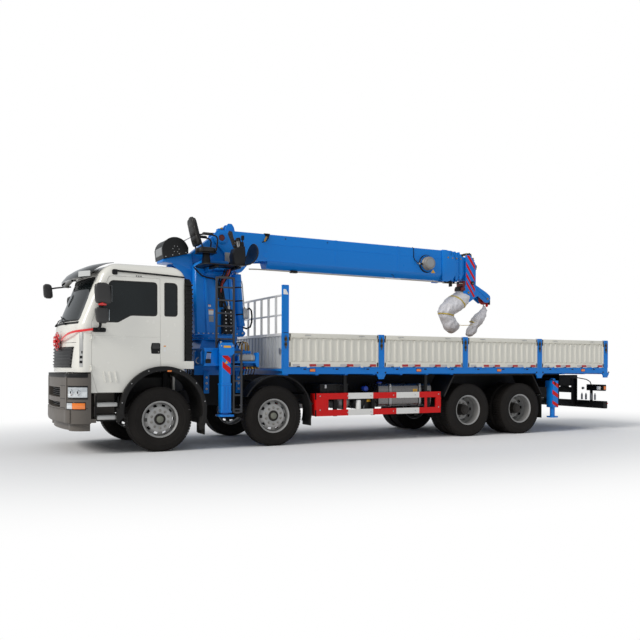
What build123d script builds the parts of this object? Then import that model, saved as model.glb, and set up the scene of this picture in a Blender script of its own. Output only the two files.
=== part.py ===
"""Mobile crane: a four-axle flatbed lorry with a telescopic crane behind its cab.

Millimetres, +X to the front of the lorry, +Y to its left side, +Z up. The origin is on the ground,
in the middle of the lorry's length and width. The boom lies over the bed and points to the back.
"""
import os
from math import cos, radians, sin

from build123d import *

os.makedirs("parts", exist_ok=True)

# ---------------------------------------------------------------- driving sizes of the lorry
HALF_WIDTH = 1250                 # half the legal width of the bed
AXLE_SPACINGS = (2000, 4200, 1350)
FRONT_OVERHANG = 1500             # bumper face in front of the first axle
REAR_OVERHANG = 2580              # underrun bar behind the last axle
RUNNING_GAP = 0.06                # radial play of a pin in its bore
SEAT_GAP = 0.3                    # between a piece and the curved seat that carries it

LENGTH = FRONT_OVERHANG + sum(AXLE_SPACINGS) + REAR_OVERHANG
AXLE_1_X = LENGTH / 2 - FRONT_OVERHANG
AXLE_2_X = AXLE_1_X - AXLE_SPACINGS[0]
AXLE_3_X = AXLE_2_X - AXLE_SPACINGS[1]
AXLE_4_X = AXLE_3_X - AXLE_SPACINGS[2]
FRONT_X = AXLE_1_X + FRONT_OVERHANG
REAR_X = AXLE_4_X - REAR_OVERHANG

# wheels
TYRE_R = 522
TYRE_WIDTH = 284
TREAD_WIDTH = 236
RIM_SEAT_R = 286
RIM_FLANGE_R = 298
RIM_HALF_WIDTH = 120
RIM_WALL = 8
STEER_WHEEL_Y = 1040              # centre plane of a front wheel
TWIN_Y = 928                      # plane between a twin's two discs
TWIN_SPACING = 330
KINGPIN_Y = 850
KINGPIN_R = 24
SPINDLE_R = 40
DRIVE_SPINDLE_R = 60
DRUM_R = 205

# frame
RAIL_OUTER_Y = 430
RAIL_FLANGE = 80
RAIL_BOTTOM = 690
RAIL_TOP = 950
RAIL_SHEET = 10
SUBFRAME_TOP = 1225
CAB_BOTTOM = 960

# cab
CAB_HALF = 1150
CAB_REAR_X = AXLE_1_X - 420
CAB_WALL = 45
CAB_FLOOR_UNDER = 1330
CAB_FLOOR = 1400
DOOR_GAP = 6
ARCH_X = AXLE_1_X - 50            # centre of the front wheel arch
ARCH_Z = 660
ARCH_R = 640

# bed
BED_FRONT_X = AXLE_1_X - 2180     # centre of the front posts
POST_PITCH = 1960
POST_COUNT = 5
POST_WIDTH = 110
POST_DEPTH = 60
FLOOR_TOP = 1340
RAIL_BAND = (1248, 1367)          # bottom and top of the painted edge rail
GATE_TOP = 1964
GATE_SHEET = 40
GATE_GAP = 8

# crane
SLEW_X = AXLE_1_X - 1300
PIVOT_X = AXLE_1_X - 1390
PIVOT_Z = 3710
BOOM_HALF = 180
BOOM_HEIGHT = 640
BOOM_BOTTOM = PIVOT_Z - 500
BOOM_TOP = BOOM_BOTTOM + BOOM_HEIGHT
BOOM_WALL = 10
BOOM_STEP = 22                    # how much a section is smaller than the one around it, each side
BOOM_END_X = AXLE_1_X - 6420


def side_plane(y):
    """Upright plane along the lorry at y: sketch x is X, sketch y is Z, extrusions go to the right."""
    return Plane.XZ.offset(-y)


def bar(x_range, y_range, z_range, mode=Mode.ADD):
    """A rolled or folded bar that fills the three ranges, in the part being built."""
    size = [abs(r[1] - r[0]) for r in (x_range, y_range, z_range)]
    middle = [(r[0] + r[1]) / 2 for r in (x_range, y_range, z_range)]
    with Locations(tuple(middle)):
        Box(*size, mode=mode)


def pin_y(x, z, radius, y_range, mode=Mode.ADD):
    """A round pin or bore along Y."""
    length = abs(y_range[1] - y_range[0])
    with Locations(Location((x, (y_range[0] + y_range[1]) / 2, z), (90, 0, 0))):
        Cylinder(radius, length, mode=mode)


def pin_x(y, z, radius, x_range, mode=Mode.ADD):
    """A round bar along X."""
    length = abs(x_range[1] - x_range[0])
    with Locations(Location(((x_range[0] + x_range[1]) / 2, y, z), (0, 90, 0))):
        Cylinder(radius, length, mode=mode)


def pin_z(x, y, radius, z_range, mode=Mode.ADD):
    """A round bar along Z."""
    with Locations((x, y, (z_range[0] + z_range[1]) / 2)):
        Cylinder(radius, abs(z_range[1] - z_range[0]), mode=mode)


def side_profile(points, y, thickness, mode=Mode.ADD):
    """A flat plate cut to a side-view outline, from y to the right."""
    with BuildSketch(side_plane(y)) as outline:
        with BuildLine():
            Polyline(*points, close=True)
        make_face()
    extrude(outline.sketch, amount=thickness, mode=mode)


def keep(piece, name):
    """Label a finished piece and write it."""
    piece.label = name
    export_step(piece, f"parts/{name}.step")


# ---------------------------------------------------------------- tyres and rims
def tyre_ring(x, y):
    """One tyre as a turned ring: bead seat, bulged side walls, rounded shoulders and a flat tread."""
    half, tread = TYRE_WIDTH / 2, TREAD_WIDTH / 2
    seat, bead = RIM_SEAT_R + SEAT_GAP, RIM_FLANGE_R + 4
    depth = TYRE_R - bead
    wall = [(tread, TYRE_R - 4), (half - 8, TYRE_R - 0.14 * depth), (half, TYRE_R - 0.4 * depth),
            (half, TYRE_R - 0.62 * depth), (half - 8, TYRE_R - 0.85 * depth), (RIM_HALF_WIDTH - 12, bead),
            (RIM_HALF_WIDTH - 14, seat)]
    with BuildSketch(Plane((x, y, TYRE_R), x_dir=(0, 1, 0), z_dir=(1, 0, 0))) as section:
        with BuildLine():
            Polyline((0, TYRE_R), (tread - 14, TYRE_R), *wall, *[(-a, b) for a, b in reversed(wall)],
                     (14 - tread, TYRE_R), close=True)
        make_face()
    revolve(section.sketch, axis=Axis((x, y, TYRE_R), (0, 1, 0)))


def turned(x, outline):
    """Turn a closed outline of (y, radius) points about the wheel axis at x."""
    with BuildSketch(Plane((x, 0, TYRE_R), x_dir=(0, 1, 0), z_dir=(1, 0, 0))) as section:
        with BuildLine():
            Polyline(*outline, close=True)
        make_face()
    revolve(section.sketch, axis=Axis((x, 0, TYRE_R), (0, 1, 0)))


def rim_barrel(x, y):
    """Rolled barrel with its two flanges."""
    half, inner = RIM_HALF_WIDTH, RIM_SEAT_R - RIM_WALL
    turned(x, [(y - half, RIM_FLANGE_R), (y - half + 8, RIM_FLANGE_R), (y - half + 12, RIM_SEAT_R),
               (y + half - 12, RIM_SEAT_R), (y + half - 8, RIM_FLANGE_R), (y + half, RIM_FLANGE_R),
               (y + half, RIM_FLANGE_R - 8), (y + half - 7, inner), (y - half + 7, inner),
               (y - half, RIM_FLANGE_R - 8)])


def steer_rim(x):
    """Front rim, outward-domed disc, hub with its cap, and the brake drum."""
    y = STEER_WHEEL_Y
    bore = SPINDLE_R + RUNNING_GAP
    rim_barrel(x, y)
    turned(x, [(y + 46, 282), (y + 58, 282), (y + 96, 218), (y + 96, 80), (y + 84, 80), (y + 84, 212)])
    turned(x, [(y - 85, bore), (y + 22, bore), (y + 22, 0), (y + 140, 0), (y + 140, 60), (y + 128, 82),
               (y + 96, 88), (y - 85, 88)])
    turned(x, [(y - 92, DRUM_R), (y - 92, DRUM_R - 15), (y + 66, DRUM_R - 15), (y + 66, 80),
               (y + 84, 80), (y + 84, DRUM_R)])


def twin_rims(x):
    """The two rims of a twin, bolted disc to disc on the drive hub, with the brake drum."""
    outer, inner = TWIN_Y + TWIN_SPACING / 2, TWIN_Y - TWIN_SPACING / 2
    bore = DRIVE_SPINDLE_R + RUNNING_GAP
    rim_barrel(x, outer)
    rim_barrel(x, inner)
    turned(x, [(outer - 62, 282), (outer - 50, 282), (TWIN_Y + 12, 216), (TWIN_Y + 12, 90),
               (TWIN_Y, 90), (TWIN_Y, 220)])
    turned(x, [(inner + 62, 282), (inner + 50, 282), (TWIN_Y - 12, 216), (TWIN_Y - 12, 90),
               (TWIN_Y, 90), (TWIN_Y, 220)])
    turned(x, [(inner, bore), (TWIN_Y - 24, bore), (TWIN_Y - 24, 0), (outer + 48, 0), (outer + 48, 80),
               (outer + 30, 112), (TWIN_Y + 12, 122), (TWIN_Y - 30, 122), (inner, 100)])
    turned(x, [(inner - 110, DRUM_R), (inner - 110, DRUM_R - 15), (TWIN_Y - 30, DRUM_R - 15),
               (TWIN_Y - 30, 110), (TWIN_Y - 12, 110), (TWIN_Y - 12, DRUM_R)])


# axle number, place, twin or single
AXLES = ((1, AXLE_1_X, False), (2, AXLE_2_X, False), (3, AXLE_3_X, True), (4, AXLE_4_X, True))
for number, axle_x, twin in AXLES:
    with BuildPart() as tyre:
        if twin:
            tyre_ring(axle_x, TWIN_Y + TWIN_SPACING / 2)
            tyre_ring(axle_x, TWIN_Y - TWIN_SPACING / 2)
        else:
            tyre_ring(axle_x, STEER_WHEEL_Y)
    with BuildPart() as rim:
        if twin:
            twin_rims(axle_x)
        else:
            steer_rim(axle_x)
    keep(tyre.part, f"tyre_{number}_left")
    keep(rim.part, f"rim_{number}_left")
    keep(tyre.part.mirror(Plane.XZ), f"tyre_{number}_right")
    keep(rim.part.mirror(Plane.XZ), f"rim_{number}_right")

# ---------------------------------------------------------------- steering knuckles
EYE_HALF = 55                     # half the height of the beam's eye
EAR_GAP = 5
EAR_THICK = 45
for number, axle_x in ((1, AXLE_1_X), (2, AXLE_2_X)):
    with BuildPart() as knuckle:
        for low in (TYRE_R + EYE_HALF + EAR_GAP, TYRE_R - EYE_HALF - EAR_GAP - EAR_THICK):
            with BuildSketch(Plane.XY.offset(low)):
                with Locations((axle_x, KINGPIN_Y)):
                    Circle(50)
                with Locations((axle_x, KINGPIN_Y + 35)):
                    Rectangle(100, 70)
                with Locations((axle_x, KINGPIN_Y)):
                    Circle(KINGPIN_R + RUNNING_GAP, mode=Mode.SUBTRACT)
            extrude(amount=EAR_THICK)
        flange_half = EYE_HALF + EAR_GAP + EAR_THICK
        bar((axle_x - 50, axle_x + 50), (KINGPIN_Y + 62, KINGPIN_Y + 92),
            (TYRE_R - flange_half, TYRE_R + flange_half))
        pin_y(axle_x, TYRE_R, SPINDLE_R, (KINGPIN_Y + 92, STEER_WHEEL_Y + 18))
    keep(knuckle.part, f"knuckle_{number}_left")
    keep(knuckle.part.mirror(Plane.XZ), f"knuckle_{number}_right")

# ---------------------------------------------------------------- front axle beams and springs
SPRING_Y = RAIL_OUTER_Y - RAIL_FLANGE / 2
SPRING_HALF = 36
BEAM_TOP = 560
with BuildPart() as front_axles:
    for axle_x in (AXLE_1_X, AXLE_2_X):
        with BuildSketch(Plane.YZ.offset(axle_x - 42)):
            with BuildLine():
                Polyline((0, 400), (560, 400), (700, 478), (KINGPIN_Y - 30, 478), (KINGPIN_Y - 30, 566),
                         (680, 566), (560, 500), (0, 500), close=True)
            make_face()
            mirror(about=Plane.YZ)
        extrude(amount=84)
        for side in (1, -1):
            pin_z(axle_x, side * KINGPIN_Y, 48, (TYRE_R - EYE_HALF, TYRE_R + EYE_HALF))
            pin_z(axle_x, side * KINGPIN_Y, KINGPIN_R,
                  (TYRE_R - EYE_HALF - EAR_GAP - EAR_THICK, TYRE_R + EYE_HALF + EAR_GAP + EAR_THICK))
            spring_y = side * SPRING_Y
            with BuildSketch(side_plane(spring_y + SPRING_HALF)):
                with BuildLine():
                    ThreePointArc((axle_x - 640, RAIL_BOTTOM), (axle_x, 560), (axle_x + 640, RAIL_BOTTOM))
                    Line((axle_x + 640, RAIL_BOTTOM), (axle_x + 560, RAIL_BOTTOM))
                    ThreePointArc((axle_x + 560, RAIL_BOTTOM), (axle_x, 610), (axle_x - 560, RAIL_BOTTOM))
                    Line((axle_x - 560, RAIL_BOTTOM), (axle_x - 640, RAIL_BOTTOM))
                make_face()
            extrude(amount=2 * SPRING_HALF)
            bar((axle_x - 60, axle_x + 60), (spring_y - 45, spring_y + 45), (480, 570))

PINION_REACH, PINION_Z = 280, TYRE_R + 60
DIFF_R = 190

# ---------------------------------------------------------------- driven axles and springs
with BuildPart() as rear_axles:
    for axle_x in (AXLE_3_X, AXLE_4_X):
        pin_y(axle_x, TYRE_R, DRIVE_SPINDLE_R, (-TWIN_Y + 30, TWIN_Y - 30))
        pin_y(axle_x, TYRE_R, 78, (-620, 620))
        with BuildSketch(Plane((axle_x, 0, TYRE_R), x_dir=(0, 1, 0), z_dir=(1, 0, 0))):
            with BuildLine():
                Polyline((-250, 0), (-250, 90), (-130, DIFF_R), (110, DIFF_R), (250, 90), (250, 0), close=True)
            make_face()
        revolve(axis=Axis((axle_x, 0, TYRE_R), (0, 1, 0)))
    pin_x(0, PINION_Z, 72, (AXLE_3_X + 100, AXLE_3_X + PINION_REACH))
    bogie_x = (AXLE_3_X + AXLE_4_X) / 2
    for side in (1, -1):
        spring_y = side * SPRING_Y
        with BuildSketch(side_plane(spring_y + SPRING_HALF + 8)):
            with BuildLine():
                Polyline((AXLE_4_X - 60, 600), (AXLE_3_X + 60, 600), (AXLE_3_X + 60, 625),
                         (bogie_x + 160, RAIL_BOTTOM), (bogie_x - 160, RAIL_BOTTOM), (AXLE_4_X - 60, 625),
                         close=True)
            make_face()
        extrude(amount=2 * SPRING_HALF + 16)
        with BuildSketch(side_plane(spring_y + 45)):
            with BuildLine():
                Polyline((bogie_x - 110, 600), (bogie_x + 110, 600), (bogie_x + 60, 400),
                         (bogie_x - 60, 400), close=True)
            make_face()
        extrude(amount=90)
    pin_y(bogie_x, 430, 55, (-SPRING_Y, SPRING_Y))

# ---------------------------------------------------------------- chassis frame, subframe, cross bars
CROSS_X = (FRONT_X - 270, AXLE_2_X - 760, AXLE_2_X - 2100, AXLE_3_X + 620,
           (AXLE_3_X + AXLE_4_X) / 2, AXLE_4_X - 900, AXLE_4_X - 1840)
FRAME_REAR_X = AXLE_4_X - 1840
CROSS_BOTTOM = 800
SUBFRAME_FRONT_X = AXLE_1_X - 700
CAB_MOUNT_X = (FRONT_X - 420, AXLE_1_X - 330)
REAR_LEG_X = AXLE_4_X - 970
REAR_LEG_Y = 1150
FOOT_R = 52
with BuildPart() as chassis_frame:
    for side in (1, -1):
        with BuildSketch(Plane.YZ.offset(FRAME_REAR_X)):
            with BuildLine():
                outer, inner = side * RAIL_OUTER_Y, side * (RAIL_OUTER_Y - RAIL_FLANGE)
                web = side * (RAIL_OUTER_Y - RAIL_SHEET)
                Polyline((outer, RAIL_BOTTOM), (inner, RAIL_BOTTOM), (inner, RAIL_BOTTOM + RAIL_SHEET),
                         (web, RAIL_BOTTOM + RAIL_SHEET), (web, RAIL_TOP - RAIL_SHEET),
                         (inner, RAIL_TOP - RAIL_SHEET), (inner, RAIL_TOP), (outer, RAIL_TOP), close=True)
            make_face()
        extrude(amount=FRONT_X - 200 - FRAME_REAR_X)
        bar((FRAME_REAR_X, SUBFRAME_FRONT_X), (side * RAIL_OUTER_Y, side * (RAIL_OUTER_Y - RAIL_FLANGE)),
            (RAIL_TOP, SUBFRAME_TOP))
    for cross_x in CROSS_X:
        bar((cross_x, cross_x + 60), (-RAIL_OUTER_Y + RAIL_SHEET, RAIL_OUTER_Y - RAIL_SHEET),
            (CROSS_BOTTOM, RAIL_TOP - 20))
    # front cab hinge brackets and the cab's rear mounting arch
    bar((CAB_MOUNT_X[0], CAB_MOUNT_X[0] + 160), (RAIL_OUTER_Y - RAIL_FLANGE, RAIL_OUTER_Y),
        (RAIL_TOP, CAB_BOTTOM))
    bar((CAB_MOUNT_X[0], CAB_MOUNT_X[0] + 160), (-RAIL_OUTER_Y, -RAIL_OUTER_Y + RAIL_FLANGE),
        (RAIL_TOP, CAB_BOTTOM))
    with BuildSketch(Plane.YZ.offset(CAB_MOUNT_X[1])):
        with BuildLine():
            Polyline((RAIL_OUTER_Y, RAIL_TOP), (RAIL_OUTER_Y, CAB_FLOOR_UNDER), (-RAIL_OUTER_Y, CAB_FLOOR_UNDER),
                     (-RAIL_OUTER_Y, RAIL_TOP), (-RAIL_OUTER_Y + 70, RAIL_TOP),
                     (-RAIL_OUTER_Y + 70, CAB_FLOOR_UNDER - 50), (RAIL_OUTER_Y - 70, CAB_FLOOR_UNDER - 50),
                     (RAIL_OUTER_Y - 70, RAIL_TOP), close=True)
        make_face()
    extrude(amount=80)
    # rear jack housings on their cross tube
    bar((REAR_LEG_X - 70, REAR_LEG_X + 70), (-REAR_LEG_Y + 60, REAR_LEG_Y - 60), (RAIL_TOP, 1090))
    for side in (1, -1):
        with BuildSketch(Plane.XY.offset(520)):
            with Locations((REAR_LEG_X, side * REAR_LEG_Y)):
                Circle(75)
                Circle(FOOT_R + SEAT_GAP, mode=Mode.SUBTRACT)
        extrude(amount=570)

# ---------------------------------------------------------------- engine, gearbox and shafts
with BuildPart() as driveline:
    with BuildSketch(Plane.YZ.offset(AXLE_1_X - 620)):
        with BuildLine():
            Polyline((-180, 590), (180, 590), (330, 760), (330, 1180), (200, 1270), (-200, 1270),
                     (-330, 1180), (-330, 760), close=True)
        make_face()
    extrude(amount=1180)
    with BuildSketch(Plane.YZ.offset(AXLE_1_X - 620)):
        with Locations((0, 800)):
            Circle(230)
    extrude(amount=-560, taper=9)
    # rubber-mounted feet on the rails' top flanges
    for foot_x in (AXLE_1_X + 260, AXLE_1_X - 420):
        for side in (1, -1):
            bar((foot_x, foot_x + 90), (side * 300, side * (RAIL_OUTER_Y - RAIL_FLANGE)),
                (RAIL_TOP - 90, RAIL_TOP))
    # propeller shafts: gearbox to the first driven axle, and on to the second
    shaft_rear = Vector(AXLE_3_X + PINION_REACH + 2.4, 0, PINION_Z)
    shaft_front = Vector(AXLE_1_X - 1182, 0, 800)
    with BuildSketch(Plane(origin=shaft_rear, z_dir=shaft_front - shaft_rear)):
        Circle(45)
    extrude(amount=(shaft_front - shaft_rear).length + 4)
    pin_x(0, TYRE_R + 20, 45, (AXLE_4_X + DIFF_R + SEAT_GAP, AXLE_3_X - DIFF_R - SEAT_GAP))

# ---------------------------------------------------------------- cab
# height, rear edge, half width, where the side ends, and the nose on the middle line
CAB_SECTIONS = (
    (CAB_BOTTOM, CAB_REAR_X, CAB_HALF, AXLE_1_X + 1130, AXLE_1_X + 1440),
    (2010, CAB_REAR_X, CAB_HALF, AXLE_1_X + 1110, AXLE_1_X + 1410),
    (2850, CAB_REAR_X, CAB_HALF - 15, AXLE_1_X + 790, AXLE_1_X + 1080),
    (2960, CAB_REAR_X + 30, CAB_HALF - 60, AXLE_1_X + 700, AXLE_1_X + 960),
    (3020, CAB_REAR_X + 160, CAB_HALF - 220, AXLE_1_X + 520, AXLE_1_X + 740),
)
CORNER_X, CORNER_Y = 110, 330     # where the front corner's round meets the nose


def cab_outline(rear, half, side_front, nose, inset):
    """Plan of the cab at one height: flat back and sides, round corners and a bowed front."""
    rear, half, side_front, nose = rear + inset, half - inset, side_front - inset, nose - inset
    corner = (nose - CORNER_X, half - CORNER_Y + inset)
    with BuildLine() as edge:
        Polyline((side_front, half), (rear, half), (rear, -half), (side_front, -half))
        TangentArc((side_front, -half), (corner[0], -corner[1]), tangent=(1, 0))
        ThreePointArc((corner[0], -corner[1]), (nose, 0), corner)
        TangentArc((side_front, half), corner, tangent=(1, 0))
    make_face(edge.edges())


def cab_block(inset, lift, drop):
    """The cab's closed outer form, or a smaller one inside it."""
    with BuildPart() as block:
        for row, (z, rear, half, side_front, nose) in enumerate(CAB_SECTIONS):
            height = z + lift if row == 0 else z - drop * (row == len(CAB_SECTIONS) - 1)
            with BuildSketch(Plane.XY.offset(height)):
                cab_outline(rear, half, side_front, nose, inset)
        loft(ruled=True)
    return block.part


# side-view outline of a door: sill, up the front shut line, along the screen pillar, back and down
DOOR_FRONT_X = AXLE_1_X + 1080
DOOR_REAR_X = AXLE_1_X - 10
DOOR_TOP = 2800
HINGE_X, HINGE_Y = DOOR_FRONT_X + 3, CAB_HALF + 16
DOOR_HINGES_Z = (1345, 1820)
FLARE_R = ARCH_R + 75


def door_outline(grow):
    """Outline of the door; grow is positive for the opening it closes."""
    arch_end = (FLARE_R + DOOR_GAP - grow)
    foot_x = ARCH_X + arch_end * cos(radians(25))
    foot_z = ARCH_Z + arch_end * sin(radians(25))
    mid = (ARCH_X + arch_end * cos(radians(57)), ARCH_Z + arch_end * sin(radians(57)))
    top = (DOOR_REAR_X - grow, ARCH_Z + arch_end * 0.997)
    with BuildLine() as edge:
        Polyline((foot_x, foot_z), (DOOR_FRONT_X + grow, foot_z), (DOOR_FRONT_X + grow, 2060),
                 (AXLE_1_X + 815 + grow, DOOR_TOP + grow), (DOOR_REAR_X - grow, DOOR_TOP + grow), top)
        ThreePointArc(top, mid, (foot_x, foot_z))
    make_face(edge.edges())


def door_window(shrink):
    """Outline of the door's window: its sill steps down towards the front."""
    x = AXLE_1_X
    with BuildLine() as edge:
        Polyline((x + 45 + shrink, 2175 + shrink), (x + 470, 2175 + shrink), (x + 680, 2055 + shrink),
                 (x + 1040 - shrink * 1.3, 2055 + shrink), (x + 800 - shrink, 2735 - shrink),
                 (x + 45 + shrink, 2735 - shrink), close=True)
    make_face(edge.edges())


QUARTER_WINDOW = ((AXLE_1_X - 290, AXLE_1_X - 60), (2180, 2735))
REAR_WINDOW = ((-420, 420), (2180, 2620))
SCREEN_LOW, SCREEN_HIGH = 2075, 2810
SCREEN_LOW_HALF, SCREEN_HIGH_HALF = 1020, 960


def screen_prism(shrink):
    """What the windscreen aperture takes out of the cab's front, seen from ahead."""
    with BuildPart() as prism:
        with BuildSketch(Plane.YZ.offset(AXLE_1_X + 560)):
            with BuildLine():
                Polyline((-SCREEN_LOW_HALF + shrink, SCREEN_LOW + shrink),
                         (SCREEN_LOW_HALF - shrink, SCREEN_LOW + shrink),
                         (SCREEN_HIGH_HALF - shrink, SCREEN_HIGH - shrink),
                         (-SCREEN_HIGH_HALF + shrink, SCREEN_HIGH - shrink), close=True)
            make_face()
        extrude(amount=900)
    return prism.part


# smoked visor: height, nose and half width of its sheet
VISOR_SECTIONS = ((2700, AXLE_1_X + 1235, 1020), (2850, AXLE_1_X + 1175, 1000),
                  (3000, AXLE_1_X + 1020, 950), (3040, AXLE_1_X + 920, 900))
VISOR_BOW, VISOR_SHEET, VISOR_STAY_Z = 130, 8, 2880


def visor_sheet():
    """The visor's bowed sheet, lofted through its levels."""
    with BuildPart() as sheet:
        for z, nose, half in VISOR_SECTIONS:
            with BuildSketch(Plane.XY.offset(z)):
                with BuildLine():
                    ThreePointArc((nose - VISOR_BOW, -half), (nose, 0), (nose - VISOR_BOW, half))
                    Line((nose - VISOR_BOW, half), (nose - VISOR_BOW - VISOR_SHEET, half))
                    ThreePointArc((nose - VISOR_BOW - VISOR_SHEET, half), (nose - VISOR_SHEET, 0),
                                  (nose - VISOR_BOW - VISOR_SHEET, -half))
                    Line((nose - VISOR_BOW - VISOR_SHEET, -half), (nose - VISOR_BOW, -half))
                make_face()
        loft(ruled=True)
    return sheet.part


def visor_stay(y):
    """One round stay from the roof's brow to the visor."""
    with BuildPart() as stay:
        pin_x(y, VISOR_STAY_Z, 14, (AXLE_1_X + 850, AXLE_1_X + 1145 - 78 * (y / 700) ** 2))
        add(cab_block(-SEAT_GAP, 0, 0), mode=Mode.SUBTRACT)
    return stay.part


NOSE_BOTTOM = 1280                # lower edge of the cab's nose, ahead of the doors
with BuildPart() as cab_shell:
    add(cab_block(0, 0, 0))
    bar((DOOR_FRONT_X + DOOR_GAP, FRONT_X), (-CAB_HALF - 10, CAB_HALF + 10), (CAB_BOTTOM - 10, NOSE_BOTTOM),
        mode=Mode.SUBTRACT)
    bar((CAB_REAR_X - 10, AXLE_1_X + 660), (-CAB_HALF - 10, CAB_HALF + 10),
        (CAB_BOTTOM - 10, CAB_FLOOR_UNDER), mode=Mode.SUBTRACT)
    add(cab_block(CAB_WALL, CAB_FLOOR - CAB_BOTTOM, 30), mode=Mode.SUBTRACT)
    # footwell between the wheel arches and the nose
    bar((AXLE_1_X + 720, AXLE_1_X + 1060), (-CAB_HALF + 110, CAB_HALF - 110),
        (CAB_BOTTOM + 60, CAB_FLOOR + 5), mode=Mode.SUBTRACT)
    for side in (1, -1):
        near = side_plane(CAB_HALF + 30 if side > 0 else -560)
        with BuildSketch(near):
            with Locations((ARCH_X, ARCH_Z)):
                Circle(ARCH_R + 60)
        extrude(amount=CAB_HALF + 30 - 560, mode=Mode.SUBTRACT)
        near = side_plane(CAB_HALF + 5 if side > 0 else -CAB_HALF + CAB_WALL + 1)
        with BuildSketch(near):
            door_outline(DOOR_GAP)
        extrude(amount=CAB_WALL + 6, mode=Mode.SUBTRACT)
        with BuildSketch(near):
            with Locations((sum(QUARTER_WINDOW[0]) / 2, sum(QUARTER_WINDOW[1]) / 2)):
                Rectangle(QUARTER_WINDOW[0][1] - QUARTER_WINDOW[0][0],
                          QUARTER_WINDOW[1][1] - QUARTER_WINDOW[1][0])
        extrude(amount=CAB_WALL + 6, mode=Mode.SUBTRACT)
    add(screen_prism(0), mode=Mode.SUBTRACT)
    bar((CAB_REAR_X - 5, CAB_REAR_X + CAB_WALL + 5), REAR_WINDOW[0], REAR_WINDOW[1], mode=Mode.SUBTRACT)
    # door hinge pins, each between two lugs on the skin
    for side in (1, -1):
        for hinge_z in DOOR_HINGES_Z:
            pin_z(HINGE_X, side * HINGE_Y, 8, (hinge_z - 50, hinge_z + 50))
            for low in (hinge_z - 50, hinge_z + 35):
                pin_z(HINGE_X, side * HINGE_Y, 13, (low, low + 15))
                bar((HINGE_X, HINGE_X + 28), (side * (CAB_HALF - 1), side * (HINGE_Y - 1)), (low, low + 15))
    # snorkel intake with its bellows up the back edge of the left side
    bar((CAB_REAR_X - 125, CAB_REAR_X), (CAB_HALF - 260, CAB_HALF - 4), (1465, 2820))

with BuildPart() as cab_glass:
    screen = cab_block(20, 0, 20) - cab_block(26, 0, 26)
    add(screen & screen_prism(SEAT_GAP))
    for side in (1, -1):
        glass_y = (side * (CAB_HALF - 20), side * (CAB_HALF - 26))
        bar((QUARTER_WINDOW[0][0] + SEAT_GAP, QUARTER_WINDOW[0][1] - SEAT_GAP), glass_y,
            (QUARTER_WINDOW[1][0] + SEAT_GAP, QUARTER_WINDOW[1][1] - SEAT_GAP))
    bar((CAB_REAR_X + 18, CAB_REAR_X + 24), (REAR_WINDOW[0][0] + SEAT_GAP, REAR_WINDOW[0][1] - SEAT_GAP),
        (REAR_WINDOW[1][0] + SEAT_GAP, REAR_WINDOW[1][1] - SEAT_GAP))
    # smoked visor over the screen, on three stays from the roof's brow
    add(visor_sheet())
    for stay_y in (-700, 0, 700):
        add(visor_stay(stay_y))

# ---------------------------------------------------------------- doors with their mirrors, door glass
with BuildPart() as door:
    with BuildSketch(side_plane(CAB_HALF)):
        door_outline(0)
    extrude(amount=CAB_WALL)
    with BuildSketch(side_plane(CAB_HALF + 5)):
        door_window(0)
    extrude(amount=CAB_WALL + 10, mode=Mode.SUBTRACT)
    # mirror foot at the front shut line, its arm, and the two stacked mirror housings
    bar((AXLE_1_X + 890, AXLE_1_X + 1050), (CAB_HALF, CAB_HALF + 60), (1900, 1980))
    with BuildSketch(Plane.XY.offset(2035)):
        with Locations((AXLE_1_X + 975, CAB_HALF + 150)):
            RectangleRounded(190, 130, 40)
    extrude(amount=240)
    with BuildSketch(Plane.XY.offset(2300)):
        with Locations((AXLE_1_X + 975, CAB_HALF + 150)):
            RectangleRounded(190, 130, 40)
    extrude(amount=360)
    bar((AXLE_1_X + 950, AXLE_1_X + 1000), (CAB_HALF + 60, CAB_HALF + 180), (1915, 1965))
    pin_z(AXLE_1_X + 975, CAB_HALF + 155, 22, (1915, 2320))
    # hinge eyes on the front shut line
    for hinge_z in DOOR_HINGES_Z:
        bar((HINGE_X - 43, HINGE_X), (CAB_HALF - 1, HINGE_Y - 1), (hinge_z - 30, hinge_z + 30))
        pin_z(HINGE_X, HINGE_Y, 13, (hinge_z - 30, hinge_z + 30))
        pin_z(HINGE_X, HINGE_Y, 8 + RUNNING_GAP, (hinge_z - 40, hinge_z + 40), mode=Mode.SUBTRACT)
keep(door.part, "door_left")
keep(door.part.mirror(Plane.XZ), "door_right")

with BuildPart() as door_glass:
    with BuildSketch(side_plane(CAB_HALF - 18)):
        door_window(SEAT_GAP)
    extrude(amount=6)
keep(door_glass.part, "door_glass_left")
keep(door_glass.part.mirror(Plane.XZ), "door_glass_right")

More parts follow.
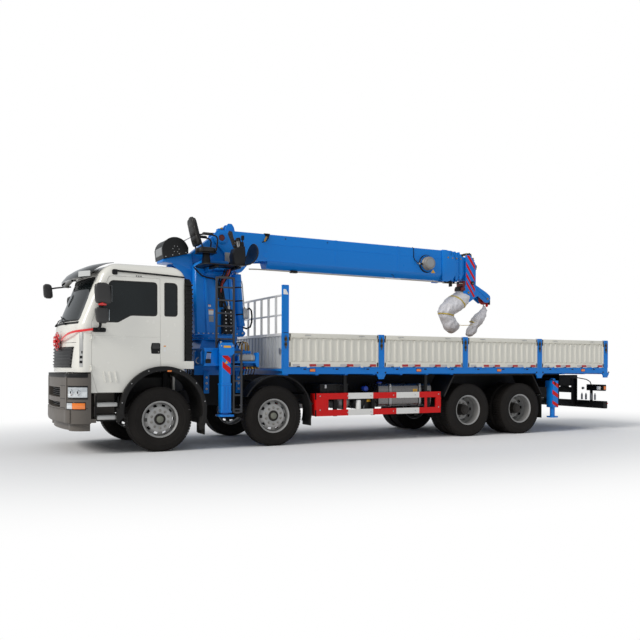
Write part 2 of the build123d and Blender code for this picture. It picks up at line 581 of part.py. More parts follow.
# ---------------------------------------------------------------- inside of the cab
SEAT_X = AXLE_1_X + 60
with BuildPart() as cab_interior:
    # dash panel across the cab, under the screen
    with BuildSketch(side_plane(CAB_HALF - CAB_WALL - 40)):
        with BuildLine():
            x = AXLE_1_X
            Polyline((x + 700, 1500), (x + 760, 1960), (x + 860, 2030), (x + 1030, 2000),
                     (x + 1030, CAB_FLOOR + 10), (x + 1030, CAB_FLOOR), (x + 800, CAB_FLOOR), close=True)
        make_face()
    extrude(amount=2 * (CAB_HALF - CAB_WALL - 40))
    for seat_y in (560, -560):
        with BuildSketch(side_plane(seat_y + 250)):
            with BuildLine():
                x = SEAT_X
                Polyline((x + 230, 1760), (x + 250, 1830), (x + 200, 1870), (x - 230, 1850), (x - 330, 2320),
                         (x - 400, 2330), (x - 370, 1800), (x - 300, 1740), close=True)
            make_face()
        extrude(amount=500)
        bar((SEAT_X - 220, SEAT_X + 120), (seat_y - 130, seat_y + 130), (CAB_FLOOR, 1780))
        bar((SEAT_X - 405, SEAT_X - 335), (seat_y - 140, seat_y + 140), (2325, 2500))
    # steering column and wheel on the left
    with BuildSketch(Plane((AXLE_1_X + 640, 560, 2030), z_dir=(0.45, 0, -0.89))):
        Circle(225)
        Circle(195, mode=Mode.SUBTRACT)
        Rectangle(400, 34)
    extrude(amount=28)
    with BuildSketch(Plane((AXLE_1_X + 640, 560, 2030), z_dir=(0.45, 0, -0.89))):
        Circle(45)
    extrude(amount=300)
keep(cab_interior.part, "cab_interior")
keep(cab_shell.part, "cab_shell")
keep(cab_glass.part, "cab_glass")

# ---------------------------------------------------------------- bumper, grille and lamps
BUMPER_Z = (487, 1262)
BUMPER_BACK = DOOR_FRONT_X + 12
LIP_Z = 370


def bumper_outline(inset):
    """Plan of the bumper: bowed face with swept corners, open towards the frame."""
    nose, side = FRONT_X - inset, HALF_WIDTH - 52 - inset
    back, sweep = BUMPER_BACK, BUMPER_BACK + 25
    with BuildLine() as edge:
        Polyline((back, side), (back, side - 60), (sweep, side - 60),
                 (nose - 190, side - 330), (nose - 110, 0), (nose - 190, -side + 330),
                 (sweep, -side + 60), (back, -side + 60), (back, -side), (sweep + 20, -side))
        TangentArc((sweep + 20, -side), (nose - 80, -side + 330), tangent=(1, 0))
        ThreePointArc((nose - 80, -side + 330), (nose, 0), (nose - 80, side - 330))
        TangentArc((sweep + 20, side), (nose - 80, side - 330), tangent=(1, 0))
        Line((sweep + 20, side), (back, side))
    make_face(edge.edges())


with BuildPart() as bumper:
    with BuildSketch(Plane.XY.offset(BUMPER_Z[0])):
        bumper_outline(0)
    extrude(amount=BUMPER_Z[1] - BUMPER_Z[0])
    with BuildSketch(Plane.XY.offset(LIP_Z)):
        bumper_outline(70)
    extrude(amount=BUMPER_Z[0] - LIP_Z + 5)
    # open slots between the bars of the bumper's middle
    for slot_z in ((720, 810), (885, 1040)):
        bar((FRONT_X - 250, FRONT_X + 10), (-600, 600), slot_z, mode=Mode.SUBTRACT)
    for side in (1, -1):
        # bumper irons down to the frame
        bar((FRONT_X - 440, FRONT_X - 120), (side * 350, side * 410), (642, RAIL_BOTTOM))
        # side arms that carry the corners and the cab steps
        bar((BUMPER_BACK - 80, BUMPER_BACK + 10), (side * 850, side * (HALF_WIDTH - 60)), (500, 560))
        # cab steps behind the corners
        bar((AXLE_1_X + 672, AXLE_1_X + 1030), (side * 850, side * (CAB_HALF + 20)), (540, 590))
        bar((AXLE_1_X + 672, AXLE_1_X + 1030), (side * 850, side * 880), (540, CAB_BOTTOM - 10))
        bar((AXLE_1_X + 672, AXLE_1_X + 1030), (side * 850, side * (CAB_HALF + 10)), (760, 790))
        bar((AXLE_1_X + 1000, AXLE_1_X + 1030), (side * 850, side * (CAB_HALF - 40)), (540, CAB_BOTTOM - 10))
keep(bumper.part, "bumper")

# ---------------------------------------------------------------- wheel arches and mudguards
GUARD_SHEET = 12


def guard_strip(x, z, radius, degrees, y, width, sheet):
    """A strip of curved sheet over a wheel, between two angles counted from the front."""
    start, end = (radians(a) for a in degrees)
    middle = (start + end) / 2

    def at(r, a):
        return (x + r * cos(a), z + r * sin(a))

    with BuildSketch(side_plane(y)) as strip:
        with BuildLine():
            ThreePointArc(at(radius, start), at(radius, middle), at(radius, end))
            Line(at(radius, end), at(radius + sheet, end))
            ThreePointArc(at(radius + sheet, end), at(radius + sheet, middle), at(radius + sheet, start))
            Line(at(radius + sheet, start), at(radius, start))
        make_face()
    extrude(strip.sketch, amount=width)


GUARD_2_X, GUARD_2_Z, GUARD_2_R = AXLE_2_X - 80, 575, 640
BOGIE_GUARD_TOP = SUBFRAME_TOP
with BuildPart() as mudguards:
    for side in (1, -1):
        def left_edge(y, width):
            return y if side > 0 else -y + width
        # front arch: an inner liner and the proud flare round the cab's cut-out
        guard_strip(ARCH_X, ARCH_Z, ARCH_R, (13, 200), left_edge(CAB_HALF, 600), 600, GUARD_SHEET)
        guard_strip(ARCH_X, ARCH_Z, ARCH_R, (-8, 200), left_edge(CAB_HALF + 75, 75), 75, FLARE_R - ARCH_R)
        bar((ARCH_X - ARCH_R - 45, ARCH_X - ARCH_R - 35), (side * 800, side * (CAB_HALF + 60)), (260, 460))
        # second axle
        guard_strip(GUARD_2_X, GUARD_2_Z, GUARD_2_R, (26, 196), left_edge(CAB_HALF + 10, 330), 330, GUARD_SHEET)
        bar((GUARD_2_X - GUARD_2_R - 4, GUARD_2_X - GUARD_2_R + 6), (side * 830, side * (CAB_HALF + 10)),
            (330, 430))
        pin_y(GUARD_2_X - GUARD_2_R - 14, 720, 18, (side * RAIL_OUTER_Y, side * (CAB_HALF + 10)))
        pin_y(ARCH_X - ARCH_R - 14, 720, 18, (side * RAIL_OUTER_Y, side * CAB_HALF))
        # one long guard over the bogie, sloping down at both ends
        with BuildSketch(side_plane(left_edge(HALF_WIDTH - 20, 620))):
            with BuildLine():
                t = GUARD_SHEET
                Polyline((AXLE_3_X + 600, 800), (AXLE_3_X + 360, BOGIE_GUARD_TOP), (AXLE_4_X - 330, BOGIE_GUARD_TOP),
                         (AXLE_4_X - 590, 800), (AXLE_4_X - 590 + t, 800), (AXLE_4_X - 322, BOGIE_GUARD_TOP - t),
                         (AXLE_3_X + 352, BOGIE_GUARD_TOP - t), (AXLE_3_X + 600 - t, 800), close=True)
            make_face()
        extrude(amount=620)
keep(mudguards.part, "mudguards")

# ---------------------------------------------------------------- places along the bed
POST_X = [BED_FRONT_X - POST_PITCH * i for i in range(POST_COUNT)]
BED_REAR_X = POST_X[-1] - POST_WIDTH / 2
BED_NOSE_X = POST_X[0] + POST_WIDTH / 2
BEARER_WIDTH, BEARER_COUNT = 60, 14
BEARER_PITCH = (BED_NOSE_X - BED_REAR_X - 3 * BEARER_WIDTH) / (BEARER_COUNT - 1)
BEARER_X = [BED_REAR_X + BEARER_WIDTH + i * BEARER_PITCH for i in range(BEARER_COUNT)]

# ---------------------------------------------------------------- side guards and rear underrun bar
SIDE_GUARD_X = (AXLE_1_X - 5540, AXLE_1_X - 2800)
SIDE_GUARD_Z = (490, 900)
with BuildPart() as guards:
    for side in (1, -1):
        face = side * (HALF_WIDTH - 50)
        back = side * (HALF_WIDTH - 80)
        for rail_z in (SIDE_GUARD_Z[0], SIDE_GUARD_Z[1] - 110):
            bar(SIDE_GUARD_X, (face, back), (rail_z, rail_z + 110))
        bar((SIDE_GUARD_X[1] - 160, SIDE_GUARD_X[1]), (face, back), SIDE_GUARD_Z)
        bar((SIDE_GUARD_X[0], SIDE_GUARD_X[0] + 120), (face, back), SIDE_GUARD_Z)
        # hangers from the bed's cross bearers
        for hanger_x in (BEARER_X[8], BEARER_X[11]):
            bar((hanger_x, hanger_x + 60), (side * (HALF_WIDTH - 80), side * (HALF_WIDTH - 120)),
                (SIDE_GUARD_Z[0], SUBFRAME_TOP))
    # underrun bar on two stays from the frame
    bar((REAR_X, REAR_X + 120), (-HALF_WIDTH + 60, HALF_WIDTH - 60), (460, 620))
    for side in (1, -1):
        bar((FRAME_REAR_X - 60, FRAME_REAR_X), (side * 340, side * 430), (560, SUBFRAME_TOP))
        with BuildSketch(side_plane(430 if side > 0 else -340)):
            with BuildLine():
                Polyline((FRAME_REAR_X, 620), (REAR_X + 120, 560), (REAR_X + 120, 500), (FRAME_REAR_X, 540),
                         close=True)
            make_face()
        extrude(amount=90)
        bar((REAR_X + 40, REAR_X + 110), (side * 700, side * (HALF_WIDTH - 60)), (850, 990))
        bar((REAR_X + 60, REAR_X + 90), (side * 780, side * 840), (620, 850))
keep(guards.part, "guards")

# ---------------------------------------------------------------- tank, air vessels and boxes on the frame
TANK_X = (AXLE_1_X - 5380, AXLE_1_X - 4160)
TANK_Y = HALF_WIDTH - 425         # middle of the tank
with BuildPart() as side_equipment:
    # fuel tank, left: rounded aluminium box on two straps
    with BuildSketch(Plane.YZ.offset(TANK_X[0])):
        with Locations((TANK_Y, 835)):
            RectangleRounded(560, 430, 90)
    extrude(amount=TANK_X[1] - TANK_X[0])
    for strap_x in (TANK_X[0] + 240, TANK_X[1] - 300):
        with BuildSketch(Plane.YZ.offset(strap_x)):
            with Locations((TANK_Y, 835)):
                RectangleRounded(576, 446, 98)
                RectangleRounded(560 - 2, 430 - 2, 89, mode=Mode.SUBTRACT)
        extrude(amount=60)
        bar((strap_x, strap_x + 60), (RAIL_OUTER_Y, TANK_Y - 265), (600, 640))
        bar((strap_x, strap_x + 60), (RAIL_OUTER_Y, RAIL_OUTER_Y + 40), (600, 940))
    pin_z(TANK_X[1] - 160, TANK_Y + 60, 55, (1040, 1085))
    # air vessels, battery box and valve box ahead of the tank
    pin_y(AXLE_1_X - 3430, 730, 135, (RAIL_OUTER_Y, HALF_WIDTH - 130))
    pin_y(AXLE_1_X - 3760, 730, 135, (RAIL_OUTER_Y, HALF_WIDTH - 130))
    bar((AXLE_1_X - 3540, AXLE_1_X - 2960), (RAIL_OUTER_Y, HALF_WIDTH - 200), (880, 1060))
    # right: battery box and silencer
    bar((AXLE_1_X - 3500, AXLE_1_X - 2960), (130 - HALF_WIDTH, -RAIL_OUTER_Y), (620, 1050))
    with BuildSketch(Plane.YZ.offset(AXLE_1_X - 4900)):
        with Locations((450 - HALF_WIDTH, 800)):
            RectangleRounded(600, 440, 150)
    extrude(amount=1000)
    bar((AXLE_1_X - 4700, AXLE_1_X - 4100), (-560, -RAIL_OUTER_Y), (700, 900))
keep(side_equipment.part, "side_equipment")
keep(driveline.part, "driveline")
keep(front_axles.part, "front_axles")
keep(rear_axles.part, "rear_axles")
keep(chassis_frame.part, "chassis_frame")

# ---------------------------------------------------------------- gate hinges
GATE_FACE_Y = HALF_WIDTH - 4
GATE_FOOT = RAIL_BAND[1] + 5
HINGE_OUT, HINGE_UP = 16, 1       # gate hinge axis from the foot of the gate's outer face
HINGE_EYE_R, HINGE_PIN_R = 11, 6
GATE_LENGTH = POST_PITCH - POST_WIDTH - 2 * GATE_GAP
TAIL_LENGTH = 2 * (HALF_WIDTH - POST_DEPTH - GATE_GAP)
GATE_MIDDLES = [(POST_X[i] + POST_X[i + 1]) / 2 for i in range(POST_COUNT - 1)]
LEFT_GATES = [Location((x, GATE_FACE_Y, GATE_FOOT)) for x in GATE_MIDDLES]
RIGHT_GATES = [Location((x, -GATE_FACE_Y, GATE_FOOT), (0, 0, 180)) for x in GATE_MIDDLES]
TAIL = Location((BED_REAR_X + 4, 0, GATE_FOOT), (0, 0, 90))


def hinge_spots(length):
    """Two hinges on each gate, at three tenths of its length from the middle."""
    return (-0.3 * length, 0.3 * length)


def gate_hinge_pins(length, along):
    """Pins and lugs on the edge rail that carry one gate."""
    with BuildPart() as lugs:
        for x in hinge_spots(length):
            pin_x(HINGE_OUT, HINGE_UP, HINGE_PIN_R, (x - 44, x + 44))
            for low in (x - 44, x + 32):
                bar((low, low + 12), (4, HINGE_OUT + 9), (-26, HINGE_UP + 7))
                bar((low, low + 12), (0, 5), (-26, -6))
    return lugs.part.moved(along)


# ---------------------------------------------------------------- bed
STAKE_LUG_BOTTOM = 1150
with BuildPart() as bed:
    bar((BED_REAR_X, BED_NOSE_X), (-HALF_WIDTH + 40, HALF_WIDTH - 40), (FLOOR_TOP - 40, FLOOR_TOP))
    for cross_x in BEARER_X:
        bar((cross_x, cross_x + BEARER_WIDTH), (-HALF_WIDTH + 40, HALF_WIDTH - 40), (SUBFRAME_TOP, FLOOR_TOP - 40))
    for side in (1, -1):
        rail_y = (side * (HALF_WIDTH - 40), side * HALF_WIDTH)
        bar((BED_REAR_X, BED_NOSE_X), rail_y, RAIL_BAND)
        for i, post_x in enumerate(POST_X):
            top = 2790 if i == 0 else GATE_TOP
            bar((post_x - POST_WIDTH / 2, post_x + POST_WIDTH / 2),
                (side * (HALF_WIDTH - POST_DEPTH), side * HALF_WIDTH), (FLOOR_TOP, top))
            if i in (1, 3, 4):
                bar((post_x - POST_WIDTH / 2, post_x + POST_WIDTH / 2), rail_y, (STAKE_LUG_BOTTOM, RAIL_BAND[0]))
    bar((BED_REAR_X, BED_REAR_X + 40), (-HALF_WIDTH + 40, HALF_WIDTH - 40), RAIL_BAND)
    for along in LEFT_GATES + RIGHT_GATES:
        add(gate_hinge_pins(GATE_LENGTH, along))
    add(gate_hinge_pins(TAIL_LENGTH, TAIL))
keep(bed.part, "bed")

with BuildPart() as headboard:
    inner = HALF_WIDTH - POST_DEPTH
    board_x = POST_X[0] - 20
    pitch = 2 * inner / 16
    # ribbed lower board: an open corrugation between two rails
    with BuildSketch(Plane.XY.offset(FLOOR_TOP)):
        with BuildLine():
            front, back = [], []
            for i in range(16):
                y0 = -inner + i * pitch
                depth = 30 if i % 2 else 0
                front += [(board_x + depth, y0), (board_x + depth, y0 + pitch - 14)]
                back += [(board_x + depth - 6, y0), (board_x + depth - 6, y0 + pitch - 14)]
            front[-1] = (front[-1][0], inner)
            back[-1] = (back[-1][0], inner)
            Polyline(*front, *reversed(back), close=True)
        make_face()
    extrude(amount=GATE_TOP - FLOOR_TOP)
    bar((board_x - 10, board_x + 40), (-inner, inner), (GATE_TOP - 50, GATE_TOP))
    # open tube rack above it
    bar((board_x - 10, board_x + 40), (-inner, inner), (2600, 2650))
    for i in range(8):
        tube_y = -inner + 40 + i * (2 * inner - 80) / 7
        bar((board_x - 5, board_x + 35), (tube_y - 20, tube_y + 20), (GATE_TOP, 2600))
keep(headboard.part, "headboard")


def gate(length, along):
    """One dropside, standing: folded frame with a corrugated skin; built about its lower middle."""
    ribs = 12
    pitch = (length - 80) / ribs
    height = GATE_TOP - GATE_FOOT
    outer, inner = 0, -GATE_SHEET
    with BuildPart() as panel:
        with BuildSketch(Plane.XY.offset(50)):
            with BuildLine():
                face, back = [], []
                for i in range(ribs):
                    start = -length / 2 + 40 + i * pitch
                    face += [(start, outer - 12), (start + pitch * 0.18, outer),
                             (start + pitch * 0.62, outer), (start + pitch * 0.8, outer - 12)]
                face.append((length / 2 - 40, outer - 12))
                back = [(length / 2 - 40, inner + 8), (-length / 2 + 40, inner + 8)]
                Polyline(*face, *back, close=True)
            make_face()
        extrude(amount=height - 100)
        for low, high in ((0, 50), (height - 50, height)):
            with Locations((0, (outer + inner) / 2, (low + high) / 2)):
                Box(length, GATE_SHEET, high - low)
        for end in (-length / 2 + 20, length / 2 - 20):
            with Locations((end, (outer + inner) / 2, height / 2)):
                Box(40, GATE_SHEET, height)
        for x in hinge_spots(length):
            bar((x - 28, x + 28), (-6, HINGE_OUT), (HINGE_UP, HINGE_UP + HINGE_EYE_R))
            pin_x(HINGE_OUT, HINGE_UP, HINGE_EYE_R, (x - 28, x + 28))
            pin_x(HINGE_OUT, HINGE_UP, HINGE_PIN_R + RUNNING_GAP, (x - 40, x + 40), mode=Mode.SUBTRACT)
    return panel.part.moved(along)


keep(Compound(children=[gate(GATE_LENGTH, along) for along in LEFT_GATES]), "gates_left")
keep(Compound(children=[gate(GATE_LENGTH, along) for along in RIGHT_GATES]), "gates_right")
keep(gate(TAIL_LENGTH, TAIL), "tailgate")

# ---------------------------------------------------------------- crane base with the leg beams' box
BEAM_LEFT_X = AXLE_1_X - 1100     # middle of the left leg's beam
BEAM_RIGHT_X = AXLE_1_X - 900     # middle of the right leg's beam
BOX_X = (BEAM_LEFT_X - 140, BEAM_RIGHT_X + 125)
BEAM_WIDTH, BEAM_Z = 170, (1430, 1630)
BEAM_GAP = 6
BASE_HALF = 1060
BASE_TOP = 1680
SLEW_Z = 1880
with BuildPart() as crane_base:
    with BuildSketch(side_plane(BASE_HALF)):
        with Locations(((BOX_X[0] + BOX_X[1]) / 2, (1390 + BASE_TOP) / 2)):
            Rectangle(BOX_X[1] - BOX_X[0], BASE_TOP - 1390)
        for beam_x in (BEAM_LEFT_X, BEAM_RIGHT_X):
            with Locations((beam_x, (BEAM_Z[0] + BEAM_Z[1] + BEAM_GAP - SEAT_GAP) / 2)):
                Rectangle(BEAM_WIDTH + 2 * BEAM_GAP, BEAM_Z[1] - BEAM_Z[0] + BEAM_GAP + SEAT_GAP,
                          mode=Mode.SUBTRACT)
    extrude(amount=2 * BASE_HALF)
    # saddle on the subframe, the deep box behind the beams, and the clamped feet
    bar((AXLE_1_X - 1740, BOX_X[1]), (-RAIL_OUTER_Y, RAIL_OUTER_Y), (SUBFRAME_TOP, 1390))
    bar((AXLE_1_X - 1740, BOX_X[0]), (-560, 560), (1300, BASE_TOP))
    # pedestal and ring under the column
    with BuildSketch(Plane.XY.offset(BASE_TOP)):
        with Locations((SLEW_X, 0)):
            Rectangle(760, 700)
    with BuildSketch(Plane.XY.offset(SLEW_Z - 40)):
        with Locations((SLEW_X, 0)):
            Rectangle(640, 640)
    loft(ruled=True)
    pin_z(SLEW_X, 0, 420, (SLEW_Z - 40, SLEW_Z))
    # ladder up to the operator's platform, left side
    for rung_z in (1830, 2050, 2270, 2490, 2710):
        bar((AXLE_1_X - 1320, AXLE_1_X - 1010), (BASE_HALF - 75, BASE_HALF - 50), (rung_z, rung_z + 25))
    for stile_x in (AXLE_1_X - 1020, AXLE_1_X - 1330):
        bar((stile_x, stile_x + 30), (BASE_HALF - 80, BASE_HALF - 45), (BASE_TOP, 2900))
    bar((AXLE_1_X - 1330, AXLE_1_X - 990), (BASE_HALF - 80, BASE_HALF - 45), (2870, 2900))
    bar((AXLE_1_X - 1335, BOX_X[0]), (BASE_HALF - 85, BASE_HALF - 40), (BASE_TOP - 40, BASE_TOP))
    # valve bank behind the box
    bar((BOX_X[0] - 300, BOX_X[0]), (560, BASE_HALF - 160), (1400, 1600))
    # hydraulic drum beside it, on a cradle from the box
    pin_x(BASE_HALF - 130, 1520, 62, (BOX_X[0] - 475, BOX_X[0] - 175))
    bar((BOX_X[0] - 545, BOX_X[0]), (BASE_HALF - 200, BASE_HALF - 60), (1435, 1465))
    bar((BOX_X[0] - 545, BOX_X[0] - 515), (BASE_HALF - 200, BASE_HALF - 60), (1360, 1620))
    # lower ladder down to the ground, outboard behind the left leg
    for stile_x in (AXLE_1_X - 1392, AXLE_1_X - 1247):
        bar((stile_x, stile_x + 25), (BASE_HALF + 125, BASE_HALF + 155), (600, 1640))
    for rung_z in (640, 880, 1120, 1360):
        bar((AXLE_1_X - 1392, AXLE_1_X - 1222), (BASE_HALF + 128, BASE_HALF + 152), (rung_z, rung_z + 25))
    bar((AXLE_1_X - 1392, AXLE_1_X - 1222), (BASE_HALF - 30, BASE_HALF + 155), (1600, 1640))
keep(crane_base.part, "crane_base")

# ---------------------------------------------------------------- outrigger beams, legs and feet
LEG_Y = BASE_HALF + 90
LEG_HALF = 80
LEG_Z = (700, 1750)
LEG_SLEEVE = (605, 1085)          # the wider lower half of the casing
FRONT_FOOT_R = 50


def outrigger(beam_x):
    """Left beam with its leg casing at the end, pushed in."""
    with BuildPart() as leg:
        bar((beam_x - BEAM_WIDTH / 2, beam_x + BEAM_WIDTH / 2), (-BASE_HALF + 60, LEG_Y - LEG_HALF), BEAM_Z)
        with BuildSketch(Plane.XY.offset(LEG_Z[0])):
            with Locations((beam_x, LEG_Y)):
                RectangleRounded(2 * LEG_HALF, 2 * LEG_HALF, 20)
        extrude(amount=LEG_Z[1] - LEG_Z[0])
        with BuildSketch(Plane.XY.offset(LEG_SLEEVE[0])):
            with Locations((beam_x, LEG_Y)):
                RectangleRounded(2 * LEG_HALF + 16, 2 * LEG_HALF + 16, 22)
        extrude(amount=LEG_SLEEVE[1] - LEG_SLEEVE[0])
        # lugs of the head, outside the casing
        with BuildSketch(side_plane(LEG_Y + LEG_HALF + 22)):
            with BuildLine():
                Polyline((beam_x - 90, 1560), (beam_x + 90, 1560), (beam_x + 130, 1600), (beam_x + 130, 1720),
                         (beam_x + 90, 1775), (beam_x - 90, 1775), (beam_x - 130, 1720), (beam_x - 130, 1600),
                         close=True)
            make_face()
        extrude(amount=24)
        pin_z(beam_x, LEG_Y, FRONT_FOOT_R + SEAT_GAP, (LEG_SLEEVE[0] - 5, LEG_Z[1] - 30), mode=Mode.SUBTRACT)
    return leg.part


def foot_pad(x, y, rod_r, rod_z, pad, pad_z):
    """A jack's rod with its foot plate."""
    with BuildPart() as jack:
        pin_z(x, y, rod_r, rod_z)
        with BuildSketch(Plane.XY.offset(pad_z[0])):
            with Locations((x, y)):
                RectangleRounded(*pad, 40)
        extrude(amount=pad_z[1] - pad_z[0])
    return jack.part


keep(outrigger(BEAM_LEFT_X), "outrigger_left")
keep(outrigger(BEAM_RIGHT_X).mirror(Plane.XZ), "outrigger_right")
for name, foot_x, foot_y in (("foot_front_left", BEAM_LEFT_X, LEG_Y),
                             ("foot_front_right", BEAM_RIGHT_X, -LEG_Y)):
    keep(foot_pad(foot_x, foot_y, FRONT_FOOT_R, (570, 1700), (240, 300), (540, 572)), name)
for name, foot_y in (("foot_rear_left", REAR_LEG_Y), ("foot_rear_right", -REAR_LEG_Y)):
    keep(foot_pad(REAR_LEG_X, foot_y, FOOT_R, (330, 1040), (200, 180), (305, 333)), name)

# ---------------------------------------------------------------- turning column
CYLINDER_FOOT = (AXLE_1_X - 1830, 1990)
WINCH_SEAT = ((AXLE_1_X - 830, 3390), (AXLE_1_X - 300, 3250))   # sloping top of the winch bracket
COLUMN_HALF = 300
HEAD_HALF = 135
with BuildPart() as column:
    with BuildSketch(side_plane(COLUMN_HALF)):
        with BuildLine():
            x = AXLE_1_X
            Polyline((x - 860, SLEW_Z + 45), (x - 830, 3180), (x - 1010, 3280), (x - 1500, 3280), (x - 1540, 3050),
                     (x - 1680, SLEW_Z + 45), close=True)
        make_face()
    extrude(amount=2 * COLUMN_HALF)
    # narrow head that carries the boom's pivot
    with BuildSketch(side_plane(HEAD_HALF)):
        with BuildLine():
            Polyline((x - 840, 3180), (x - 820, 3390), (PIVOT_X + 110, PIVOT_Z + 60), (PIVOT_X, PIVOT_Z + 125),
                     (PIVOT_X - 110, PIVOT_Z + 60), (x - 1500, 3400), (x - 1500, 3180), close=True)
        make_face()
    extrude(amount=2 * HEAD_HALF)
    pin_z(SLEW_X, 0, 440, (SLEW_Z + SEAT_GAP, SLEW_Z + 45))
    pin_y(PIVOT_X, PIVOT_Z, 60 + RUNNING_GAP, (-HEAD_HALF - 5, HEAD_HALF + 5), mode=Mode.SUBTRACT)
    # fork for the foot of the lift cylinder
    for side in (1, -1):
        with BuildSketch(side_plane(95 if side > 0 else -65)):
            with BuildLine():
                Polyline((x - 1600, 1925), (x - 1850, 1925), (x - 1905, 1990), (x - 1850, 2045), (x - 1720, 2060),
                         (x - 1600, 2100), close=True)
            make_face()
        extrude(amount=30)
    pin_y(CYLINDER_FOOT[0], CYLINDER_FOOT[1], 32, (-95, 95))
    # bracket in front for the winch
    side_profile([(x - 860, 3080), WINCH_SEAT[0], WINCH_SEAT[1], (x - 300, 3200), (x - 560, 3180)], 200, 400)
    # arms that carry the operator's platform
    bar((x - 1480, x - 1000), (COLUMN_HALF, 560), (3060, 3110))
    # valve block on the column's left side
    bar((x - 1525, x - 1330), (COLUMN_HALF - 2, COLUMN_HALF + 110), (1960, 2400))
keep(column.part, "column")

# ---------------------------------------------------------------- winch
SEAT_SLOPE = (WINCH_SEAT[0][1] - WINCH_SEAT[1][1]) / (WINCH_SEAT[0][0] - WINCH_SEAT[1][0])
WINCH_BACK = (AXLE_1_X - 740, WINCH_SEAT[1][1] + SEAT_SLOPE * (AXLE_1_X - 740 - WINCH_SEAT[1][0]))
with BuildPart() as winch:
    with BuildSketch(side_plane(260)):
        with BuildLine():
            x = AXLE_1_X
            Polyline(WINCH_SEAT[1], (x - 280, 3430))
            ThreePointArc((x - 280, 3430), (x - 500, 3640), (x - 740, 3480))
            Line((x - 740, 3480), WINCH_BACK)
            Line(WINCH_BACK, WINCH_SEAT[1])
        make_face()
    extrude(amount=520)
keep(winch.part, "winch")

# ---------------------------------------------------------------- operator's platform and seat
with BuildPart() as operator_station:
    with BuildSketch(Plane.XY.offset(3110)):
        with Locations((AXLE_1_X - 1280, 640)):
            RectangleRounded(760, 640, 160)
    extrude(amount=30)
    with BuildSketch(side_plane(960)):
        with BuildLine():
            x = AXLE_1_X
            Polyline((x - 1610, 3125), (x - 1800, 3300), (x - 1830, 3560), (x - 1800, 3560), (x - 1770, 3310),
                     (x - 1580, 3125), close=True)
        make_face()
    extrude(amount=420)
    bar((AXLE_1_X - 1560, AXLE_1_X - 1380), (620, 900), (3140, 3420))
    with BuildSketch(side_plane(560)):
        with BuildLine():
            Polyline((x - 1180, 3380), (x - 1170, 3450), (x - 850, 3470), (x - 740, 3960), (x - 660, 3960),
                     (x - 760, 3400), (x - 860, 3380), close=True)
        make_face()
    extrude(amount=330)
    bar((AXLE_1_X - 1060, AXLE_1_X - 940), (340, 440), (3140, 3390))
keep(operator_station.part, "operator_station")

# ---------------------------------------------------------------- telescopic boom
SECTION_COUNT = 5
COLLAR_PITCH = 118
BOOM_BOX_X = AXLE_1_X - 2300      # where the closed box of the base section starts
CYLINDER_EYE = (AXLE_1_X - 1720, 3190)
REEL = (AXLE_1_X - 5915, 3535)    # centre of the cable reel


def boom_ring(half, top, bottom, wall):
    """Section across the boom: flat top, upright sides, and a keel with chamfered corners."""
    keel = (top - bottom) * 0.2
    outer = [(half, top), (-half, top), (-half, bottom + keel), (-half * 0.55, bottom), (half * 0.55, bottom),
             (half, bottom + keel)]
    with BuildLine() as edge:
        Polyline(*outer, close=True)
    make_face(edge.edges())
    h, t, b = half - wall, top - wall, bottom + wall
    with BuildLine() as hollow:
        Polyline((h, t), (-h, t), (-h, b + keel * 0.94), (-h * 0.55, b), (h * 0.55, b), (h, b + keel * 0.94),
                 close=True)
    make_face(hollow.edges(), mode=Mode.SUBTRACT)


def section_end(index):
    """Outer end of a section's tube when the boom is in."""
    return BOOM_END_X - (30 + COLLAR_PITCH * index if index else 0)


def wear_pad(index):
    """Slide strip on the keel inside a section's outer end; the next section runs on it."""
    half = (BOOM_HALF - BOOM_STEP * index) * 0.4
    floor_z = BOOM_BOTTOM + BOOM_STEP * index + BOOM_WALL
    bar((section_end(index), section_end(index) + 200), (-half, half),
        (floor_z - 1, floor_z + BOOM_STEP - BOOM_WALL - SEAT_GAP))


